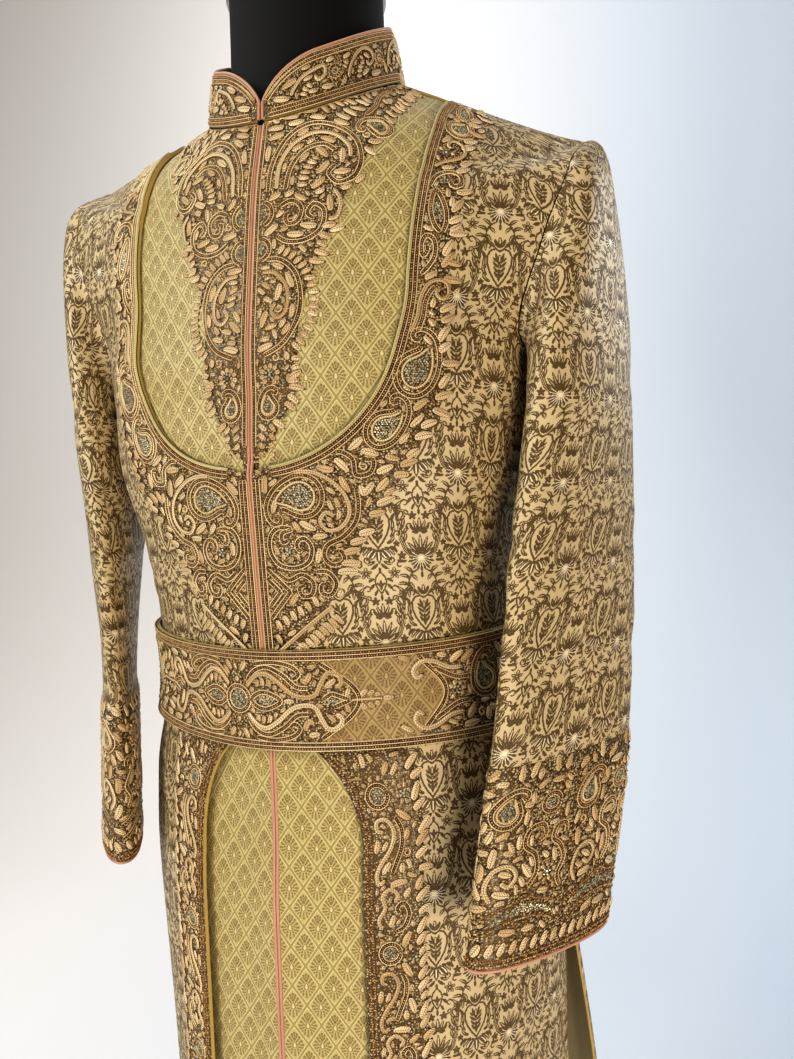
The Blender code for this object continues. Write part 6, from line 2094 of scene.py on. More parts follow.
def ridge_swell(kind, count):
    """How full a ridge is at each of its points: a leaf swells and closes, a cord only tapers at its ends."""
    t = np.linspace(0.0, 1.0, count)
    if kind == "leaf":
        return 0.10 + 0.90 * np.sin(np.pi * (0.10 + 0.88 * t)) ** 0.85
    return np.minimum(1.0, np.minimum(t, 1 - t) * count * 0.6 + 0.35)


class Work(FilledStrokes):
    """Filled strokes that are made as one mesh for each kind of ridge and of bead."""

    def make(self):
        """All the meshes with the node they are sewn on."""
        made = [self.make_ridges(*look) for look in RIDGE_LOOKS if self.ridges[look[0]]]
        made += [self.make_dots(*look) for look in DOT_LOOKS if self.dots[look[0]]]
        return [(piece, self.node) for piece in made]

    def make_ridges(self, kind, material, ring):
        """Every ridge of one kind as one mesh of closed bodies, with a tone for each and its rim."""
        flats, heights, uvs, tones, rims, faces, caps, start = [], [], [], [], [], [], [], 0
        sides = len(ring)
        for flat, half, height, tone in self.ridges[kind]:
            count = len(flat)
            swell = ridge_swell(kind, count)
            across = ring[:, 0] * (half * swell)[:, None]
            flats.append((flat[:, None] + across_path(flat)[:, None] * across[..., None]).reshape(-1, 2))
            stand = self.base(flats[-1]).reshape(across.shape)
            heights.append((stand + ring[:, 1] * (height * swell)[:, None]).ravel())
            run = np.concatenate([[0.0], np.cumsum(np.linalg.norm(np.diff(flat, axis=0), axis=1))])
            uvs.append(np.stack([np.broadcast_to(run[:, None], across.shape), across], -1).reshape(-1, 2))
            tones.append(np.full(count * sides, tone))
            rim = np.tile(ring[:, 2], (count, 1))
            rim[[0, -1]] = 1.0
            rims.append(rim.ravel())
            index = start + np.arange(count * sides).reshape(count, sides)
            beside = np.roll(index, -1, axis=1)
            faces.append(np.stack([index[:-1], index[1:], beside[1:], beside[:-1]], -1).reshape(-1, 4))
            caps += [index[0].tolist(), index[-1, ::-1].tolist()]
            start += count * sides
        flat = np.concatenate(flats)
        points, _ = self.surface.at(flat[:, 0], flat[:, 1], np.concatenate(heights))
        faces = np.concatenate(faces).tolist() + caps
        if self.turned():
            faces = [face[::-1] for face in faces]
        obj = new_mesh(self.name + "_" + kind, points, faces, np.concatenate(uvs), None, (material,))
        for key, values in (("tone", np.concatenate(tones)), ("rim", np.concatenate(rims))):
            obj.data.attributes.new(key, "FLOAT", "POINT").data.foreach_set("value", values)
        return obj

    def turned(self):
        """Whether this surface's u and v turn against its normal."""
        s = self.surface
        i, j = len(s.vs) // 2, len(s.us) // 2
        side = s.points[i, j + 1] - s.points[i, j]
        up = s.points[i + 1, j] - s.points[i, j]
        return float(np.dot(np.cross(side, up), s.normals[i, j])) < 0

    def make_dots(self, kind, material):
        """Every bead of one kind as one mesh."""
        rows = np.array(self.dots[kind])
        points, normals = self.surface.at(rows[:, 0], rows[:, 1], self.base(rows[:, :2]) + rows[:, 2])
        return grow_beads(self.name + "_" + kind, points, normals, rows[:, 3], rows[:, 4], material, kind)


print("finishes of the ridges:", {kind: material.name for kind, material, _ in RIDGE_LOOKS})

# %% [markdown]
# ## Beads by Geometry Nodes
# There are many thousands of beads, so they are grown from loose points that carry a size, a tone and the
# cloth's normal. The tree puts one small faceted ball on each, makes them real and gives them their finish.


# %% Bead tree
def bead_tree():
    """A node tree that puts a flattened ball on every point."""
    tree = bpy.data.node_groups.new("grow_beads", "GeometryNodeTree")
    for name, kind in (("Points", "Geometry"), ("Sides", "Int"), ("Rings", "Int"), ("Flatness", "Float"),
                       ("Finish", "Material")):
        tree.interface.new_socket(name, in_out="INPUT", socket_type="NodeSocket" + kind)
    tree.interface.new_socket("Beads", in_out="OUTPUT", socket_type="NodeSocketGeometry")
    nodes, links = tree.nodes, tree.links
    given, result = nodes.new("NodeGroupInput"), nodes.new("NodeGroupOutput")
    ball, place, real, finish = (nodes.new("GeometryNode" + kind) for kind in
                                 ("MeshUVSphere", "InstanceOnPoints", "RealizeInstances", "SetMaterial"))
    ball.inputs["Radius"].default_value = 1.0
    named = {}
    for key, kind in (("size", "FLOAT"), ("lean", "FLOAT_VECTOR")):
        node = nodes.new("GeometryNodeInputNamedAttribute")
        node.data_type = kind
        node.inputs["Name"].default_value = key
        named[key] = node.outputs["Attribute"]
    turn, scale = nodes.new("FunctionNodeAlignRotationToVector"), nodes.new("ShaderNodeCombineXYZ")
    thick = nodes.new("ShaderNodeMath")
    thick.operation = "MULTIPLY"
    for output, socket in (
            (given.outputs["Sides"], ball.inputs["Segments"]), (given.outputs["Rings"], ball.inputs["Rings"]),
            (named["lean"], turn.inputs["Vector"]), (named["size"], thick.inputs[0]),
            (given.outputs["Flatness"], thick.inputs[1]), (named["size"], scale.inputs[0]),
            (named["size"], scale.inputs[1]), (thick.outputs[0], scale.inputs[2]),
            (given.outputs["Points"], place.inputs["Points"]), (ball.outputs["Mesh"], place.inputs["Instance"]),
            (turn.outputs["Rotation"], place.inputs["Rotation"]), (scale.outputs[0], place.inputs["Scale"]),
            (place.outputs[0], real.inputs[0]), (real.outputs[0], finish.inputs["Geometry"]),
            (given.outputs["Finish"], finish.inputs["Material"]), (finish.outputs[0], result.inputs[0])):
        links.new(output, socket)
    return tree


BEAD_TREE = bead_tree()
print("bead tree:", len(BEAD_TREE.nodes), "nodes")
BEAD_SHAPES = {"beads": (5, 3, 0.85), "stones": (6, 3, 0.65), "seeds": (4, 2, 0.80)}    # sides, rings, flatness


def grow_beads(name, points, normals, sizes, tones, material, kind):
    """A plain mesh of beads grown on points."""
    mesh = bpy.data.meshes.new(name + "_points")
    mesh.from_pydata(points.tolist(), [], [])
    for key, sort, field, values in (("size", "FLOAT", "value", sizes), ("tone", "FLOAT", "value", tones),
                                     ("lean", "FLOAT_VECTOR", "vector", normals)):
        mesh.attributes.new(key, sort, "POINT").data.foreach_set(field, np.asarray(values, float).ravel())
    seed_obj = bpy.data.objects.new(name + "_points", mesh)
    bpy.context.scene.collection.objects.link(seed_obj)
    grow = seed_obj.modifiers.new("grow", "NODES")
    grow.node_group = BEAD_TREE
    sides, rings, flatness = BEAD_SHAPES[kind]
    wanted = {"Sides": sides, "Rings": rings, "Flatness": flatness, "Finish": material}
    for item in grow.node_group.interface.items_tree:
        if item.in_out == "INPUT" and item.name in wanted:
            grow[item.identifier] = wanted[item.name]
    graph = bpy.context.evaluated_depsgraph_get()
    grown = bpy.data.meshes.new_from_object(seed_obj.evaluated_get(graph), depsgraph=graph)
    grown.name = name
    bpy.data.objects.remove(seed_obj)
    if kind == "beads":
        grown.shade_smooth()
    for key in ("size", "lean"):
        if key in grown.attributes:
            grown.attributes.remove(grown.attributes[key])
    obj = bpy.data.objects.new(name, grown)
    bpy.context.scene.collection.objects.link(obj)
    return obj

# %% [markdown]
# ## Where the work goes
# The work follows the edges of the panels. Along the U and the arch it is a band, sketched with its distance
# from the edge across and its run along the edge up. Below the U it fills a free shape between the two
# fronts. The designs are made of the usual paisleys, scrolls, leaves and small flowers, and both halves of
# the coat mirror each other.


# %% Bands along an edge
def along_edge(us, vs):
    """A place() for sketches whose x is the distance out from an edge and whose y runs up along it."""
    path = even(np.stack([us, vs], -1), 0.002)
    out = -across_path(path)
    for _ in range(6):
        out[1:-1] = (out[:-2] + out[1:-1] + out[2:]) / 3
    run = np.concatenate([[0.0], np.cumsum(np.linalg.norm(np.diff(path, axis=0), axis=1))])

    def place(p):
        base, away = (np.stack([np.interp(p[:, 1], run, grid[:, k]) for k in (0, 1)], -1) for grid in (path, out))
        return base + away * p[:, :1]

    return place, run[-1] * 1000


u_rows = front_rows >= U_BOTTOM_Z - 1e-6
arch_rows = front_rows <= OPENING_TOP_Z + 1e-6
edge_v = front_face.up(front_start, front_rows)
border_v = front_face.up(front_border, front_rows)
U_PLACE, U_RUN = along_edge(front_start[u_rows], edge_v[u_rows])
ARCH_PLACE, ARCH_RUN = along_edge(front_start[arch_rows], edge_v[arch_rows])
U_OUTER, U_OUTER_RUN = along_edge(front_border[front_rows > BELT_TOP_Z], border_v[front_rows > BELT_TOP_Z])
SKIRT_OUTER, SKIRT_OUTER_RUN = along_edge(front_border[front_rows < BELT_BOTTOM_Z],
                                          border_v[front_rows < BELT_BOTTOM_Z])
print("the U runs", round(U_RUN), "mm, the arch", round(ARCH_RUN), "mm")


def edge_rows(start, end):
    """What edges a band: a pale cord on the cut edge, then two rows of beads that share the cord between."""
    s = Sketch().edge([(0.5, start), (0.5, end)])
    for distance in (3.1, 6.14):
        s.line([(distance, start), (distance, end)], smooth_it=False)
    return s


def leafy_edge(run, start, seed, length=11.0, step=6.2, turn=62.0, width=2.5):
    """Leaves that lean up and outwards across the outer edge of a bed, in small sprays."""
    s, dice = Sketch(), random.Random(seed)
    y, k = start, 0
    while y < run - 6:
        heading = turn - (0, 26, 52, 14)[k % 4] + dice.uniform(-7, 7)
        s.leaf(-4.2 + (0, 1.4, 1.0, -0.6)[k % 4], y, heading, length * dice.uniform(0.85, 1.12), width,
               dice.uniform(-26, 8))
        y += step * dice.uniform(0.8, 1.15)
        k += 1
    return s


print("leaves along the outer edges:", len(leafy_edge(U_OUTER_RUN, 60, 5, 15.0, 8.4).strokes), "and",
      len(leafy_edge(SKIRT_OUTER_RUN, 4, 9, 15.0, 8.4).strokes))


# %% Motifs that fill a band about 30 mm wide, each from its foot up
def slanted_paisley(size):
    """A paisley that leans outwards, with leaves on both sides."""
    s = Sketch().add(paisley(size), 20, 0.5 * size, -18, flip=True)
    return leaves(s, ((33, 6, 20, 11), (35, 16, 42, 12), (34, 27, 66, 12), (9, 10, 95, 12), (9, 27, 84, 10)))


def tall_scroll():
    """An upright rope that curls over, with a beaded line inside it and a fan at its foot."""
    s = Sketch().rope([(9, 0), (11, 12), (11, 25), (15, 36), (23, 40), (30, 37), (31, 30), (26, 27), (22, 31),
                       (25, 34)])
    s.line([(13.5, 2), (15, 12), (15, 24), (18, 32), (22, 36)])
    s.add(fan(5, 12.0, 1.9, 110), 24, 8, -12)
    return leaves(s, ((33, 20, 55, 12), (34, 31, 80, 11), (32, 9, 30, 11), (20, 20, 78, 8)), 1.8, 16)


def open_fan():
    """A wide fan of leaves inside a beaded crook."""
    s = Sketch().add(fan(6, 14.5, 2.1, 150), 27, 14, -70).add(fan(4, 10.0, 1.8, 100), 24, 17, 20)
    s.line([(9, 2), (14, 8), (19, 18), (18, 29), (12, 33), (8.8, 26), (10.5, 17), (13.5, 22), (12.4, 27)])
    s.leaf(12.5, 8, 78, 8, 1.5)
    return s


def almond():
    """A pointed drop filled with silver, between leaves."""
    outline = np.array([(23, 0), (17, 6), (13, 16), (12, 27), (14, 36), (20, 28), (24, 18), (25, 8), (23, 0)],
                       float)
    s = Sketch().line(outline)
    s.fill((outline - (18, 18)) * 0.55 + (18, 18))
    return leaves(s, ((28, 2, 48, 12), (28, 12, 30, 12), (27, 22, 66, 11), (9, 8, 84, 10), (24, 30, 86, 9)),
                  bend=14)


def hook_and_flower():
    """A beaded hook round a stone, a flower and a rope that curls over, with two fans."""
    s = Sketch().line([(8.6, 0), (12, 11), (20, 17), (29, 16), (32, 9), (28, 4), (23.5, 7), (26, 10)])
    s.rope([(9, 20), (14, 26), (24, 34), (29, 43), (26, 52), (18, 54), (15, 47), (20, 44)])
    s.stones(19, 8.5, 2.2)
    s.add(flower(6.5), 15, 38)
    return s.add(fan(5, 12.5, 1.9, 130), 31, 24, -50).add(fan(4, 11.5, 1.9, 100), 33, 46, -35)


# from the band's foot up, each motif with its height
U_MOTIFS = ((slanted_paisley(34), 35), (slanted_paisley(42), 44), (tall_scroll(), 40), (open_fan(), 34),
            (almond(), 36), (hook_and_flower(), 56), (slanted_paisley(30), 30), (almond(), 36))
print("motifs beside the U:", len(U_MOTIFS))


# %% The chest
def u_band():
    """The band beside the U, with its motifs one above another."""
    s = edge_rows(4, U_RUN - 3)
    s.line([(7.6, 52), (11, 58), (20, 61), (30, 57), (35, 64), (30, 70), (26, 67)])
    motifs, y = Sketch(), 70
    for motif, height in U_MOTIFS:
        motifs.add(motif, 0.0, y)
        y += height + 1.0
    return s.add(motifs)


def below_u():
    """The free shape under the U, in millimetres from the centre line and above 1.000 m."""
    s = Sketch()
    for d in (3.9, 6.94):
        s.line([(d, 137), (d, 3)], smooth_it=False)
    # the large paisley and the comb that wraps it
    s.add(paisley(46), 41, 122, 98, flip=True)
    s.rope([(36, 139.5), (50, 139.5), (64, 133), (74, 122), (76, 109), (69, 99), (59, 97), (54, 104), (59, 110),
            (65, 107)], 1.3)
    leaves(s, ((60, 128, -30, 9), (66, 121, -62, 9), (69, 112, -98, 8), (52, 134, -14, 9), (63, 104, 160, 5)),
           1.6, -14)
    s.line([(82, 128), (83, 116), (80, 103), (70, 92), (58, 86), (55, 77), (61, 71), (69, 74), (68, 81), (62, 81)])
    # the ring with two curls
    s.line([(30, 91), (24, 88), (24, 95), (32, 98), (21, 99), (14, 92), (14, 80), (21, 71), (33, 69), (43, 74),
            (46, 84), (41, 91), (35, 88), (36, 82), (40, 84)])
    s.stones(29, 81, 2.4)
    leaves(s, ((24, 75, 60, 7), (36, 75, 110, 7)), 1.4)
    leaves(s, ((29, 109, 135, 9), (31, 108, 62, 10), (33, 104, -58, 11), (47, 92, 22, 13), (49, 72, 62, 13)),
           2.0, 10)
    # half a diamond on the centre line
    s.line([(9, 69), (27, 51), (9, 30)], smooth_it=False)
    s.line([(9, 61), (19, 51), (9, 39)], smooth_it=False)
    leaves(s, ((9.5, 51, 40, 7), (9.5, 50, 0, 8), (9.5, 49, -40, 7)), 1.3, 0)
    # scrolls at its side
    s.line([(16, 67), (26, 60), (37, 64), (45, 58), (43, 49), (36, 48), (34, 54), (39, 56)])
    s.line([(46, 66), (56, 66), (62, 58), (58, 49), (51, 50), (51, 56), (55, 57)])
    # slanting leaves between the diamond and the long cord
    for k in range(6):
        s.leaf(13.5 + 6.0 * k, 30 + 3.6 * k, -62, 9.5, 1.9, -10)
        s.leaf(12.5 + 6.4 * k, 19 + 4.9 * k, -60, 9.0, 1.9, -12)
    s.leaf(27, 44, -62, 9, 1.8)
    s.leaf(33, 47, -62, 9, 1.8)
    s.rope([(12, 3.5), (26, 15), (42, 28), (58, 40)], 1.4)
    s.comb([(18, 4.5), (33, 16.5), (46, 27), (61, 38)], 11.0, 1.85, side=-1, lean=4, step=4.8)
    # leaves on the outer side
    s.add(fan(5, 13.5, 2.2, 120), 62, 47, -62)
    s.add(fan(4, 12.0, 2.0, 90), 70, 66, -40)
    leaves(s, ((74, 90, -70, 13), (80, 96, -58, 14), (86, 108, -48, 13), (72, 82, -92, 10)), 2.0, -16)
    return s.add(fan(6, 14.5, 2.2, 150), 87, 122, -55)


print("strokes beside the U", len(u_band().strokes), "and below it", len(below_u().strokes))


# %% Sewing the chest
def bed_base(us, vs, deep=0.0):
    """The height of the beaded bed inside an outline of half widths us at heights vs, and of the cloth beyond."""
    def base(flat):
        edge = np.interp(flat[:, 1], vs, us)
        return WORK * np.clip((edge + 0.0016 - np.abs(flat[:, 0])) / 0.0016, 0.0, 1.0) - deep

    return base


def level_base(height):
    """The height of a bed that is level all over."""
    return lambda flat: height + 0 * flat[:, 0]


def sided(place, side):
    """A place() for one half of the coat."""
    return lambda p: place(p) * (side, 1.0)


def box(side, width, low, high):
    """The low and high corners of a flat box on one side of the centre line."""
    return ((0.0, low), (width, high)) if side > 0 else ((-width, low), (0.0, high))


# where seeds and tucked leaves stay clear of the centre front, the edge's beads and the bed's outline
BESIDE_CENTRE, BESIDE_BEADS, INSIDE_BED = 0.0035, 0.0082, 0.0008
TOP_V = float(min(edge_v[-1], border_v[-1]))
print("the fronts end at", round(TOP_V, 3))


def sew_chest(side, name):
    """The border beside the U and the free shape below it."""
    work = Work(name + "_chest", name, front_flat, bed_base(front_border, border_v))
    work.lay(leafy_edge(U_OUTER_RUN, 60, 5, 15.0, 8.4), sided(U_OUTER, side))
    work.lay(u_band(), sided(U_PLACE, side))
    work.lay(below_u(), sided(lambda p: p + (0.0, 1.0), side))

    def allowed(p):
        x, v = p[:, 0] * side, p[:, 1]
        inner = np.interp(v, edge_v[u_rows], front_start[u_rows])
        return ((x > BESIDE_CENTRE) & (x < np.interp(v, border_v, front_border) - INSIDE_BED)
                & ((v < U_BOTTOM_Z) | (x > inner + BESIDE_BEADS)) & (v > 1.003))

    work.fill_bare(*box(side, 0.205, 1.0, TOP_V), allowed)
    work.trim(lambda p: p[:, 1] < TOP_V - 0.001)
    return work.make()


work_pieces = []
for name, side in SIDES:
    work_pieces += sew_chest(side, "front_" + name)


# %% The skirt's border
def skirt_repeat():
    """One repeat of the arch border: two facing scrolls, leaf sprays and a rosette."""
    s = Sketch().rope([(17, 6), (12, 2), (10, 9), (14, 18), (21, 28), (24, 38), (20, 46), (13, 46), (12, 40),
                       (17, 38)], 1.4)
    s.line([(21, 8), (25, 18), (29, 28), (30, 38), (27, 46)])
    s.add(fan(5, 13.0, 2.1, 120), 28, 10, -48)
    s.add(fan(4, 12.5, 2.0, 90), 31, 32, -52)
    s.add(rosette(9.5), 19, 62)
    s.add(flower(6.0), 38, 58)
    s.rope([(14, 80), (11, 88), (16, 97), (14, 106), (20, 111), (26, 106), (22, 101)], 1.3)
    s.line([(22, 78), (30, 82), (34, 92), (30, 100), (25, 96), (28, 91)])
    s.add(fan(5, 12.5, 2.0, 130), 36, 82, -55)
    return leaves(s, ((19, 82, 65, 11), (30, 104, 20, 11), (34, 70, 30, 11), (9, 24, 84, 11), (9, 72, 95, 9)),
                  1.9, 10)


SKIRT_PITCH, SKIRT_REPEATS = 0.113, 5
print(SKIRT_REPEATS, "repeats of", len(skirt_repeat().strokes), "strokes beside the arch")


def sew_skirt(side, name):
    """The border beside the arch, from the hem up to the belt."""
    low, high = HEM_Z + 0.001, BELT_BOTTOM_Z - 0.001
    work = Work(name + "_skirt", name, front_flat, bed_base(front_border, border_v))
    work.lay(leafy_edge(SKIRT_OUTER_RUN, 4, 9, 15.0, 8.4), sided(SKIRT_OUTER, side))
    work.lay(edge_rows(0, ARCH_RUN - 2), sided(ARCH_PLACE, side))
    for k in range(SKIRT_REPEATS):
        work.lay(skirt_repeat(), sided(lambda p, k=k: ARCH_PLACE(p + (0.0, SKIRT_PITCH * k - 0.046)), side))

    def allowed(p):
        x, v = p[:, 0] * side, p[:, 1]
        return ((x > np.interp(v, edge_v[arch_rows], front_start[arch_rows]) + BESIDE_BEADS)
                & (x < np.interp(v, border_v, front_border) - INSIDE_BED) & (v > low) & (v < high))

    work.fill_bare(*box(side, 0.13, HEM_Z, BELT_BOTTOM_Z), allowed, seed_step=0.0029)
    work.trim(lambda p: (p[:, 1] > low) & (p[:, 1] < high))
    return work.make()


for name, side in SIDES:
    work_pieces += sew_skirt(side, "front_" + name)


# %% The tongue on the chest insets
def tongue():
    """The tongue of one inset, in millimetres from the centre line and above the floor."""
    s = Sketch()
    s.line([(4.1, 1474), (4.1, 1158)], smooth_it=False)
    # the comb paisley at the collar
    big = np.array([(12, 1352), (14, 1376), (24, 1398), (42, 1410), (62, 1408), (78, 1396), (84, 1378), (80, 1362),
                    (68, 1356), (60, 1364), (66, 1372)], float)
    s.line(big)
    s.rope([(19, 1354), (21, 1376), (30, 1392), (46, 1401), (62, 1399), (74, 1388), (76, 1376)], 1.5)
    s.line([(26, 1352), (30, 1372), (40, 1386), (54, 1390), (64, 1384)])
    s.comb([(34, 1356), (37, 1370), (46, 1380), (56, 1381)], 9.0, 1.7, side=-1, lean=10, step=5.2)
    s.add(fan(5, 11.0, 1.9, 120), 46, 1358, 20)
    # stones ringed with beads on the centre line
    for y, r in ((1336, 9.5), (1308, 8.5)):
        turns = np.radians(np.linspace(-80, 80, 9))
        half_ring = np.stack([7 + r * np.cos(turns), y + r * np.sin(turns)], -1)
        s.line(half_ring)
        s.fill(np.concatenate([(half_ring - (7, y)) * 0.66 + (7, y), [(6.6, y + 0.6 * r), (6.6, y - 0.6 * r)]]))
    s.line([(20, 1318), (30, 1312), (44, 1312), (56, 1320), (58, 1334), (50, 1340), (45, 1333), (50, 1328)])
    s.line([(22, 1340), (32, 1344), (40, 1338), (38, 1328), (30, 1326), (28, 1333), (33, 1335)])
    s.rope([(64, 1352), (70, 1342), (68, 1330), (61, 1326)], 1.3)
    leaves(s, ((62, 1318, 10, 13), (50, 1348, 20, 9), (70, 1350, 60, 12), (80, 1356, 40, 11), (26, 1348, 20, 9)),
           2.0)
    # the hanging drop with its fringe
    drop = [(12, 1300), (26, 1298), (38, 1286), (42, 1266), (38, 1248), (28, 1234), (12, 1226)]
    s.line(drop)
    s.comb([(22, 1301), (32, 1295), (42, 1282), (46, 1264), (42, 1246), (32, 1232)], 9.5, 1.8, lean=8, step=5.0)
    s.rope([(10, 1290), (22, 1288), (31, 1276), (31, 1260), (24, 1254), (19, 1260), (23, 1266)], 1.3)
    leaves(s, ((10, 1282, -30, 10), (12, 1270, -20, 9), (14, 1246, 20, 11), (26, 1246, 60, 9), (10, 1238, 10, 9)),
           1.8, -10)
    s.stones(34, 1270, 2.0)
    # the wide top beside the collar
    s.add(paisley(26), 98, 1408, 70, flip=True)
    s.add(fan(6, 14.0, 2.2, 140), 108, 1440, -40)
    s.add(fan(5, 12.0, 2.0, 120), 128, 1466, -40)
    s.line([(86, 1420), (96, 1434), (104, 1452), (118, 1468), (126, 1484)])
    leaves(s, ((88, 1392, 20, 13), (92, 1428, 60, 13), (112, 1458, 70, 12), (132, 1484, 30, 12)), 2.2)
    # a star, a small paisley and the point
    s.add(flower(8.0, 10), 18, 1212)
    s.add(fan(4, 11.0, 1.9, 90), 32, 1222, -40)
    s.add(fan(4, 11.0, 1.9, 90), 32, 1206, -60)
    s.add(paisley(22), 16, 1188, 8)
    s.stones(29, 1184, 2.6)
    for k in range(4):
        leaves(s, ((8, 1176 - 7 * k, -35, 9 - 1.2 * k), (17, 1176 - 7 * k, -50, 8 - k)), 1.7, -8)
    return s


print("strokes of the tongue:", len(tongue().strokes))

# %% Sewing the tongue
inset_rows = np.concatenate([
    U_BOTTOM_Z - INSET_MARGIN + (UNDERARM_Z - U_BOTTOM_Z + INSET_MARGIN) * np.linspace(0.0, 1.0, 24) ** 1.6,
    np.linspace(UNDERARM_Z, NECK_Z, 60)[1:]])
tongue_edge = lengths_where(inset_rows, lambda z: by_height(TONGUE, z) - BED_IN_TONGUE)
tongue_v = front_face.up(tongue_edge, inset_rows)
TONGUE_PLACE, TONGUE_RUN = along_edge(tongue_edge[inset_rows > 1.15], tongue_v[inset_rows > 1.15])
TONGUE_TOP = float(tongue_v[-1]) - 0.0015


def sew_tongue(side, name):
    """The worked tongue beside the centre front, with leaves on its outer edge."""
    work = Work(name + "_tongue", name, front_flat, bed_base(tongue_edge, tongue_v, LAYER))
    work.lay(tongue(), lambda p: p * (side, 1.0))
    work.lay(leafy_edge(TONGUE_RUN, 6, 12, 12.0, 7.4, 20.0, 2.2), sided(TONGUE_PLACE, side))

    def allowed(p):
        x, v = p[:, 0] * side, p[:, 1]
        outer = np.interp(v, tongue_v, tongue_edge)
        return (x > BESIDE_CENTRE) & (x < outer - INSIDE_BED) & (v > 1.152) & (v < TONGUE_TOP)

    work.fill_bare(*box(side, 0.165, 1.15, 1.505), allowed)
    work.trim(lambda p: p[:, 1] < TONGUE_TOP)
    return work.make()


for name, side in SIDES:
    work_pieces += sew_tongue(side, "inset_" + name)


# %% Belt
ROSETTE_AT = (-22.0, 38.5)         # the middle of the design, in millimetres from the centre front and up


def belt_side():
    """The belt's design to one side of the rosette, measured from the rosette's middle."""
    s = Sketch()
    for up in (1, -1):
        s.rope([(8, 10 * up), (15, 18 * up), (24, 21 * up), (34, 15 * up), (44, 6 * up), (54, 3 * up),
                (62, 5 * up), (66, 13 * up), (71, 21 * up), (79, 20 * up), (81, 13 * up), (76, 10 * up)], 1.6)
        s.line([(9, 15 * up), (16, 23 * up), (26, 26 * up), (38, 20 * up), (48, 11 * up), (58, 10 * up)])
        s.add(fan(4, 10.5, 1.9, 120), 56, 14 * up, 90 * up - 90)
        s.line([(14, 28 * up), (30, 30 * up), (44, 27 * up), (50, 21 * up), (45, 17 * up), (42, 22 * up)])
        leaves(s, ((56, 26 * up, 20 * up, 11), (66, 26 * up, 160 * up, 8), (4, 22 * up, 70 * up, 10)), 1.9, 0)
    eye = [(12, 0), (18, 5.5), (26, 6), (36, 0), (26, -6), (18, -5.5)]
    s.line(eye, closed=True)
    s.fill(np.array([(16, 0), (20, 2.8), (26, 3), (31, 0), (26, -3), (20, -2.8)]))
    for up in (1, -1):
        s.comb([(13, 7 * up), (20, 9.2 * up), (28, 8.6 * up), (36, 4 * up)], 7.5, 1.6, up, -10, 4.6)
    leaves(s, ((38, 0, 0, 9), (39, 3, 28, 9), (39, -3, -28, 9)), 1.7, 0)
    s.line([(66, 0), (74, 5.5), (88, 0), (74, -5.5)], closed=True, smooth_it=False)
    s.fill(np.array([(69, 0), (74, 3), (82, 0), (74, -3)]))
    for k in range(5):
        for up in (1, -1):
            s.leaf(85 + 5 * k, 2.5 * up, 52 * up, 9.0 - 0.7 * k, 1.7, -20 * up)
    s.cord([(88, 0), (112, 0)], 0.6)
    return s.put("leaf", leaf_line(111, 0, 0, 9, 0, 7), 1.8)


LYRE = ((1.6, 13), (7, 20), (10, 30), (8.4, 40), (3.6, 43), (2.6, 37), (5, 34))      # half of a lyre of rope


def belt_field(start, end, first):
    """Rosettes, paisleys and lyres in turn, for the belt's sides and back."""
    s = Sketch()
    x, k = start, first
    while x < end - 16:
        if k % 3 == 0:
            s.add(rosette(10), x + 10, 38)
            s.add(fan(5, 12, 2.3, 140), x + 10, 54, 0).add(fan(5, 12, 2.3, 140), x + 10, 22, 180)
        elif k % 3 == 1:
            s.add(paisley(34), x + 12, 42, 20, flip=k % 2 == 0)
            s.add(fan(5, 13, 2.4, 120), x + 13, 21, 190)
        else:
            middle = x + 12.5
            for side in (1, -1):
                s.rope([(middle + side * a, b) for a, b in LYRE], 1.3)
            s.stones(middle, 26, 2.4)
            s.add(fan(5, 14, 2.4, 130), middle, 50, 0)
        x, k = x + 27, k + 1
    return s


def belt_gap_hooks():
    """The hooked scrolls that reach into the stretch of plain lattice from its far side."""
    s = Sketch()
    for up in (1, -1):
        y = 38 + 21 * up
        s.rope([(152, y - 4 * up), (140, y - 3 * up), (128, y + 3 * up), (118, y + 4 * up), (112, y - 2 * up),
                (115, y - 8 * up), (120, y - 5 * up)], 1.5)
        s.line([(158, y - 12 * up), (146, y - 11 * up), (134, y - 5 * up), (126, y - 1 * up)])
        leaves(s, ((110, y + 6 * up, 150, 11), (122, y + 9 * up, 175, 10), (138, y + 6 * up, 165, 9)), 1.8, 0)
    s.add(flower(7.0), 146, 38).add(fan(4, 11, 1.9, 100), 140, 38, 90)
    return s


print("strokes beside the belt's rosette:", len(belt_side().strokes))


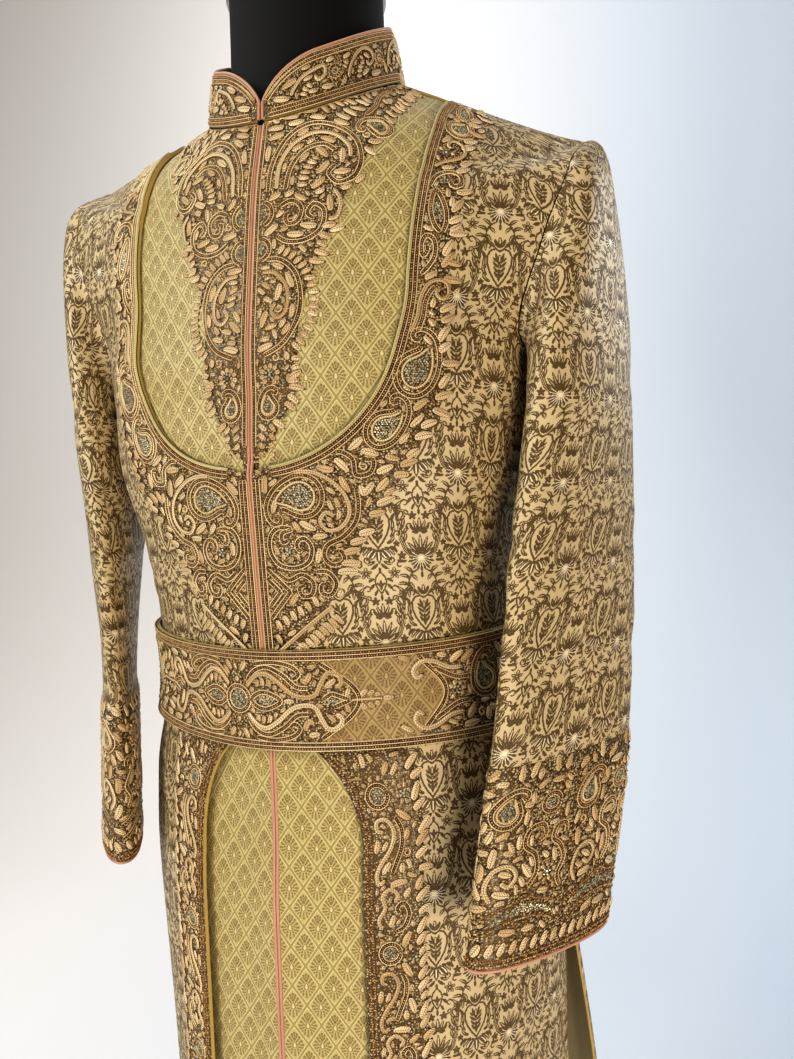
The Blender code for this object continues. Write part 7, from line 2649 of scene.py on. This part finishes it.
# %% Sewing the belt
def sew_belt():
    """The belt's beaded edges, its rosette with two sides, and the turns of motifs round to its back."""
    work = Work("belt", "belt", belt_face, level_base(BELT_WORK))
    length = float(belt_face.us[-1]) * 1000 - 2
    parts = [Sketch().line([(-length, v), (length, v)], smooth_it=False) for v in (2.5, 5.54, 71.46, 74.5)]
    parts += [Sketch().add(belt_side(), *ROSETTE_AT, flip=flip) for flip in (False, True)]
    parts.append(Sketch().add(rosette(12.5), *ROSETTE_AT))
    heights = np.linspace(0.009, 0.068, 20)
    for place, bow in zip((GAP_FROM - 0.0016, GAP_TO + 0.0016), gap_bow(heights)):
        parts.append(Sketch().line(np.stack([place + bow, heights], -1) * 1000, smooth_it=False))
    parts += [belt_gap_hooks(), belt_field(160, length - 2, 1), belt_field(-length + 6, -142, 2)]
    for part in parts:
        work.lay(part, lambda p: p)

    def allowed(p):
        x, v = p[:, 0], p[:, 1]
        first, last = gap_bow(v)
        plain = (x > GAP_FROM + first - 0.001) & (x < GAP_TO + last + 0.001)
        return (np.abs(x) < length * 0.001) & (v > 0.0078) & (v < 0.0692) & ~plain

    work.fill_bare((-0.28, 0.0), (0.28, 0.077), allowed, seed_step=0.0029)
    for start in (-length * 0.001, 0.28):
        work.fill_bare((start, 0.0), (start + length * 0.001 - 0.28, 0.077), allowed, seed_step=0.0060)
    return work.make()


work_pieces += sew_belt()


# %% Cuffs
def cuff_repeat():
    """One repeat of a cuff, 60 mm round and 135 mm high."""
    s = Sketch()
    for k in range(8):
        s.leaf(1 + 7.5 * k, 8.0, 62, 10.5, 2.3, 14)
    s.line([(0, 19), (14, 28), (30, 31), (46, 28), (60, 19)])
    s.line([(0, 31), (10, 38), (22, 42), (30, 46), (38, 42), (50, 38), (60, 31)])
    s.fill(np.array([(6, 27), (16, 32.5), (30, 35), (44, 32.5), (54, 27), (46, 35), (30, 41), (14, 35)]))
    s.rope([(8, 44), (4, 54), (8, 66), (17, 68), (22, 61), (18, 54), (12, 58)], 1.4)
    s.line([(30, 50), (36, 60), (34, 72), (26, 80), (28, 90), (37, 92), (40, 85), (35, 81)])
    s.line([(56, 44), (52, 54), (56, 64), (52, 74), (46, 80), (48, 88), (55, 88), (56, 81)])
    s.add(flower(6.5, 9), 44, 58)
    s.add(fan(5, 12.0, 1.9, 130), 18, 76, 6)
    s.add(fan(4, 11.0, 1.9, 100), 43, 68, -10)
    s.add(paisley(26), 12, 104, -14)
    s.add(rosette(8), 42, 106)
    s.add(fan(4, 12.0, 2.2, 100), 28, 108, 10)
    s.add(fan(4, 12.0, 2.2, 100), 54, 112, -10)
    return leaves(s, ((28, 52, 120, 9), (24, 94, 80, 12), (30, 96, 50, 11), (54, 92, 100, 12), (2, 84, 70, 11),
                      (58, 104, 60, 11)), 1.9)


CUFF_PLACE_TOP, CUFF_REPEATS = 0.1265, 4
print(CUFF_REPEATS, "repeats of", len(cuff_repeat().strokes), "strokes round a cuff")


# %% Sewing the cuffs
def sew_cuff(side):
    """A cuff's beaded hem, its repeats and the leaves that stand on its top edge."""
    face = sleeve_faces[side]
    foot, round_ = float(face.vs[0]), float(face.us[-1])
    name = "sleeve_upper_" + side
    top = foot + CUFF_PLACE_TOP

    def base(flat):
        return WORK * np.clip((top + 0.0045 - flat[:, 1]) / 0.002, 0.0, 1.0)

    work = Work(name + "_cuff", name, face, base)
    rows = Sketch()
    for v in (2.3, 5.34):
        rows.line([(0.0, v), (round_ * 1000, v)], smooth_it=False)
    work.lay(rows, lambda p: p + (0.0, foot))
    pitch = round_ / CUFF_REPEATS
    for k in range(CUFF_REPEATS):
        work.lay(cuff_repeat(), lambda p, k=k: p * (pitch / 0.060, 1.0) + (pitch * k, foot))
    dice = random.Random(31)
    edge = Sketch()
    for k in range(int(round_ * 1000 / 7.6)):
        edge.leaf(7.6 * k + 2, 125.5 + dice.uniform(-2, 2), 90 + (-42, 8, 46, -10)[k % 4] + dice.uniform(-8, 8),
                  14.0 * dice.uniform(0.85, 1.15), 2.4, dice.uniform(-20, 20))
    work.lay(edge, lambda p: p + (0.0, foot))

    def allowed(p):
        return (p[:, 0] > 0.002) & (p[:, 0] < round_ - 0.002) & (p[:, 1] > foot + 0.0075) & (p[:, 1] < top - 0.001)

    work.fill_bare((0.0, foot), (round_, foot + 0.14), allowed, seed_step=0.0029)
    work.trim(lambda p: (p[:, 0] > 0.0008) & (p[:, 0] < round_ - 0.0008))
    return work.make()


for side in SLEEVES:
    work_pieces += sew_cuff(side)


# %% Collar
def sew_collar():
    """The collar's beaded edges, and scrolls with rosettes from the centre front round to the back."""
    work = Work("collar", "collar", collar_face, level_base(COLLAR_WORK))
    end = float(NECK_RUN[-1]) * 1000 - 1
    stations = np.linspace(5, end, 140)
    tops = collar_height(stations * 0.001) * 1000
    s = Sketch()
    for v in (2.3, 5.34):
        s.line([(4.0 + 0.8 * v, v), (end, v)], smooth_it=False)
    for inset in (2.5, 5.54):
        keep = tops > 9.5 + inset
        s.line(np.stack([stations[keep], tops[keep] - inset], -1), smooth_it=False)
    x = 26.0
    while x < end - 22:
        room = 1.0 if x > 40 else 0.85
        s.rope([(x, 12), (x + 2, 20 * room), (x + 9, 29 * room), (x + 19, 33 * room), (x + 28, 29), (x + 29, 22),
                (x + 23, 19), (x + 20, 24)], 1.3)
        s.comb([(x + 6, 13), (x + 9, 21 * room), (x + 16, 26 * room)], 6.5, 1.4, side=-1, lean=10, step=4.2)
        s.add(rosette(5.5), x + 38, 22)
        leaves(s, ((x + 14, 12, 20, 10), (x + 30, 32, -20, 9), (x + 44, 14, 60, 10), (x + 46, 30, 10, 9)), 1.7)
        x += 50.0
    for flip in (1, -1):
        work.lay(s, lambda p, flip=flip: p * (flip, 1.0))

    def allowed(p):
        x, v = np.abs(p[:, 0]), p[:, 1]
        return (x > 0.006) & (x < end * 0.001) & (v > 0.008) & (v < collar_height(x) - 0.007)

    work.fill_bare((-0.2, 0.0), (0.2, 0.043), allowed)
    return work.make()


work_pieces += sew_collar()
sizes = {piece.name: sum(len(face.vertices) - 2 for face in piece.data.polygons) for piece, _ in work_pieces}
print("raised work:", sum(sizes.values()), "triangles, the largest piece", max(sizes.values()))

# %% [markdown]
# ## Each piece in place of its part
# Every cloth panel stands for its solid, whose part is hidden, and rides on the one rigid body. The flat size it
# was cut to is worked out here. The raised work and the piping are gathered under the panel they are sewn on.

# %% Hiding the parts and attaching the pieces
PIPING_ON = {"front": "inset_{}", "collar": "collar", "cuff": "sleeve_upper_{}"}


def family_and_side(node):
    """The first and the last word of a node's name."""
    words = node.split("_")
    return words[0], words[-1]


panels = fronts + insets + skirt_panels + [back, collar, belt] + sleeves
for piece, node, _ in panels:
    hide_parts(node)
    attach(piece, "root")
for piece, node in piping + form:
    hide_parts(node)
    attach(piece, "root")
sewn_on = {}
for piece, node in work_pieces:
    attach(piece, "root")
    sewn_on.setdefault(node, []).append(piece)
for piece, node in piping:
    family, side = family_and_side(node)
    # the piping's own name also ends with its side, as in front_piping_left
    sewn_on.setdefault(PIPING_ON[family].format(side), []).append(piece)
for piece, node, (width, length, area) in panels:
    family, side = family_and_side(node)
    # the flat rectangle always holds the area, also where a panel's rows are measured a little short
    width, length = max(width, area / length * 1.0001), max(length, area / width * 1.0001)
print(len(panels), "cloth pieces,", len(work_pieces), "pieces of raised work,", len(piping), "lengths of piping")

# %% [markdown]
# ## Floor and light
# A plain sweep of pale paper and an even pale surround keep the eye on the cloth. A large soft light stands
# high at the front left, as a window would. A low warm lamp lights the belt and the skirt, one light falls on
# the paper behind, and a small one from behind draws the rim of the sleeve and of the metal.


# %% Stage
def make_stage():
    """A pale paper sweep: a level floor that curves up behind, warm at one side and cool at the other."""
    floor = [(y, -0.0005) for y in (-3.4, -1.0, 1.2)]
    curve = [(1.2 + 1.6 * math.sin(a), 1.6 - 1.6 * math.cos(a) - 0.0005)
             for a in np.linspace(0, math.pi / 2, 14)[1:]]
    profile = floor + curve + [(2.8, 6.5)]
    points = [(x, y, z) for x in (-7.0, 7.0) for y, z in profile]
    count = len(profile)
    faces = [(k, count + k, count + k + 1, k + 1) for k in range(count - 1)]
    t = Tree("paper_sweep", (0.72, 0.67, 0.63), 0.8)
    parts = t.new("SeparateXYZ")
    t.set(parts, 0, t.new("TexCoord").outputs["Object"])
    side = t.math("MINIMUM", t.math("MAXIMUM", t.math("MULTIPLY_ADD", parts.outputs[0], 0.55, 0.75), 0.0), 1.0)
    t.finish(t.mix(side, (0.86, 0.84, 0.84), (0.56, 0.63, 0.72)))
    sweep_obj = new_mesh("floor", points, faces, None, None, (t.material,))
    world = bpy.data.worlds.new("surround")
    bpy.context.scene.world = world
    world.use_nodes = True
    light = world.node_tree.nodes["Background"]
    light.inputs[0].default_value = (1.0, 0.94, 0.86, 1.0)
    light.inputs[1].default_value = SURROUND


SURROUND = 0.29
LIGHTS = {
    # from (metres), towards, size, watts, colour
    "window": ((-1.7, -1.9, 2.3), (0.0, 0.0, 1.10), 1.1, 46.0, (0.97, 0.985, 0.95)),
    "lamp":   ((1.25, -1.5, 0.50), (0.22, -0.05, 0.85), 0.7, 24.0, (1.0, 0.88, 0.74)),
    "back":   ((-0.6, 0.6, 3.4), (0.0, 2.8, 1.2), 2.2, 31.0, (1.0, 0.99, 0.98)),
    "rim":    ((1.5, 1.6, 1.9), (0.0, 0.0, 1.2), 0.9, 13.0, (0.93, 0.97, 1.0)),
}


def make_lights():
    """Square area lights."""
    for name, (at, towards, size, watts, colour) in LIGHTS.items():
        data = bpy.data.lights.new(name, "AREA")
        data.size, data.energy, data.color = size, watts, colour
        lamp = bpy.data.objects.new(name, data)
        turn = (Vector(at) - Vector(towards)).to_track_quat("Z", "Y").to_matrix().to_4x4()
        lamp.matrix_world = Matrix.Translation(at) @ turn
        bpy.context.scene.collection.objects.link(lamp)


make_stage()
make_lights()
bpy.context.scene.view_settings.view_transform = "Standard"
bpy.context.scene.view_settings.look = "High Contrast"
print("lights:", ", ".join(LIGHTS))
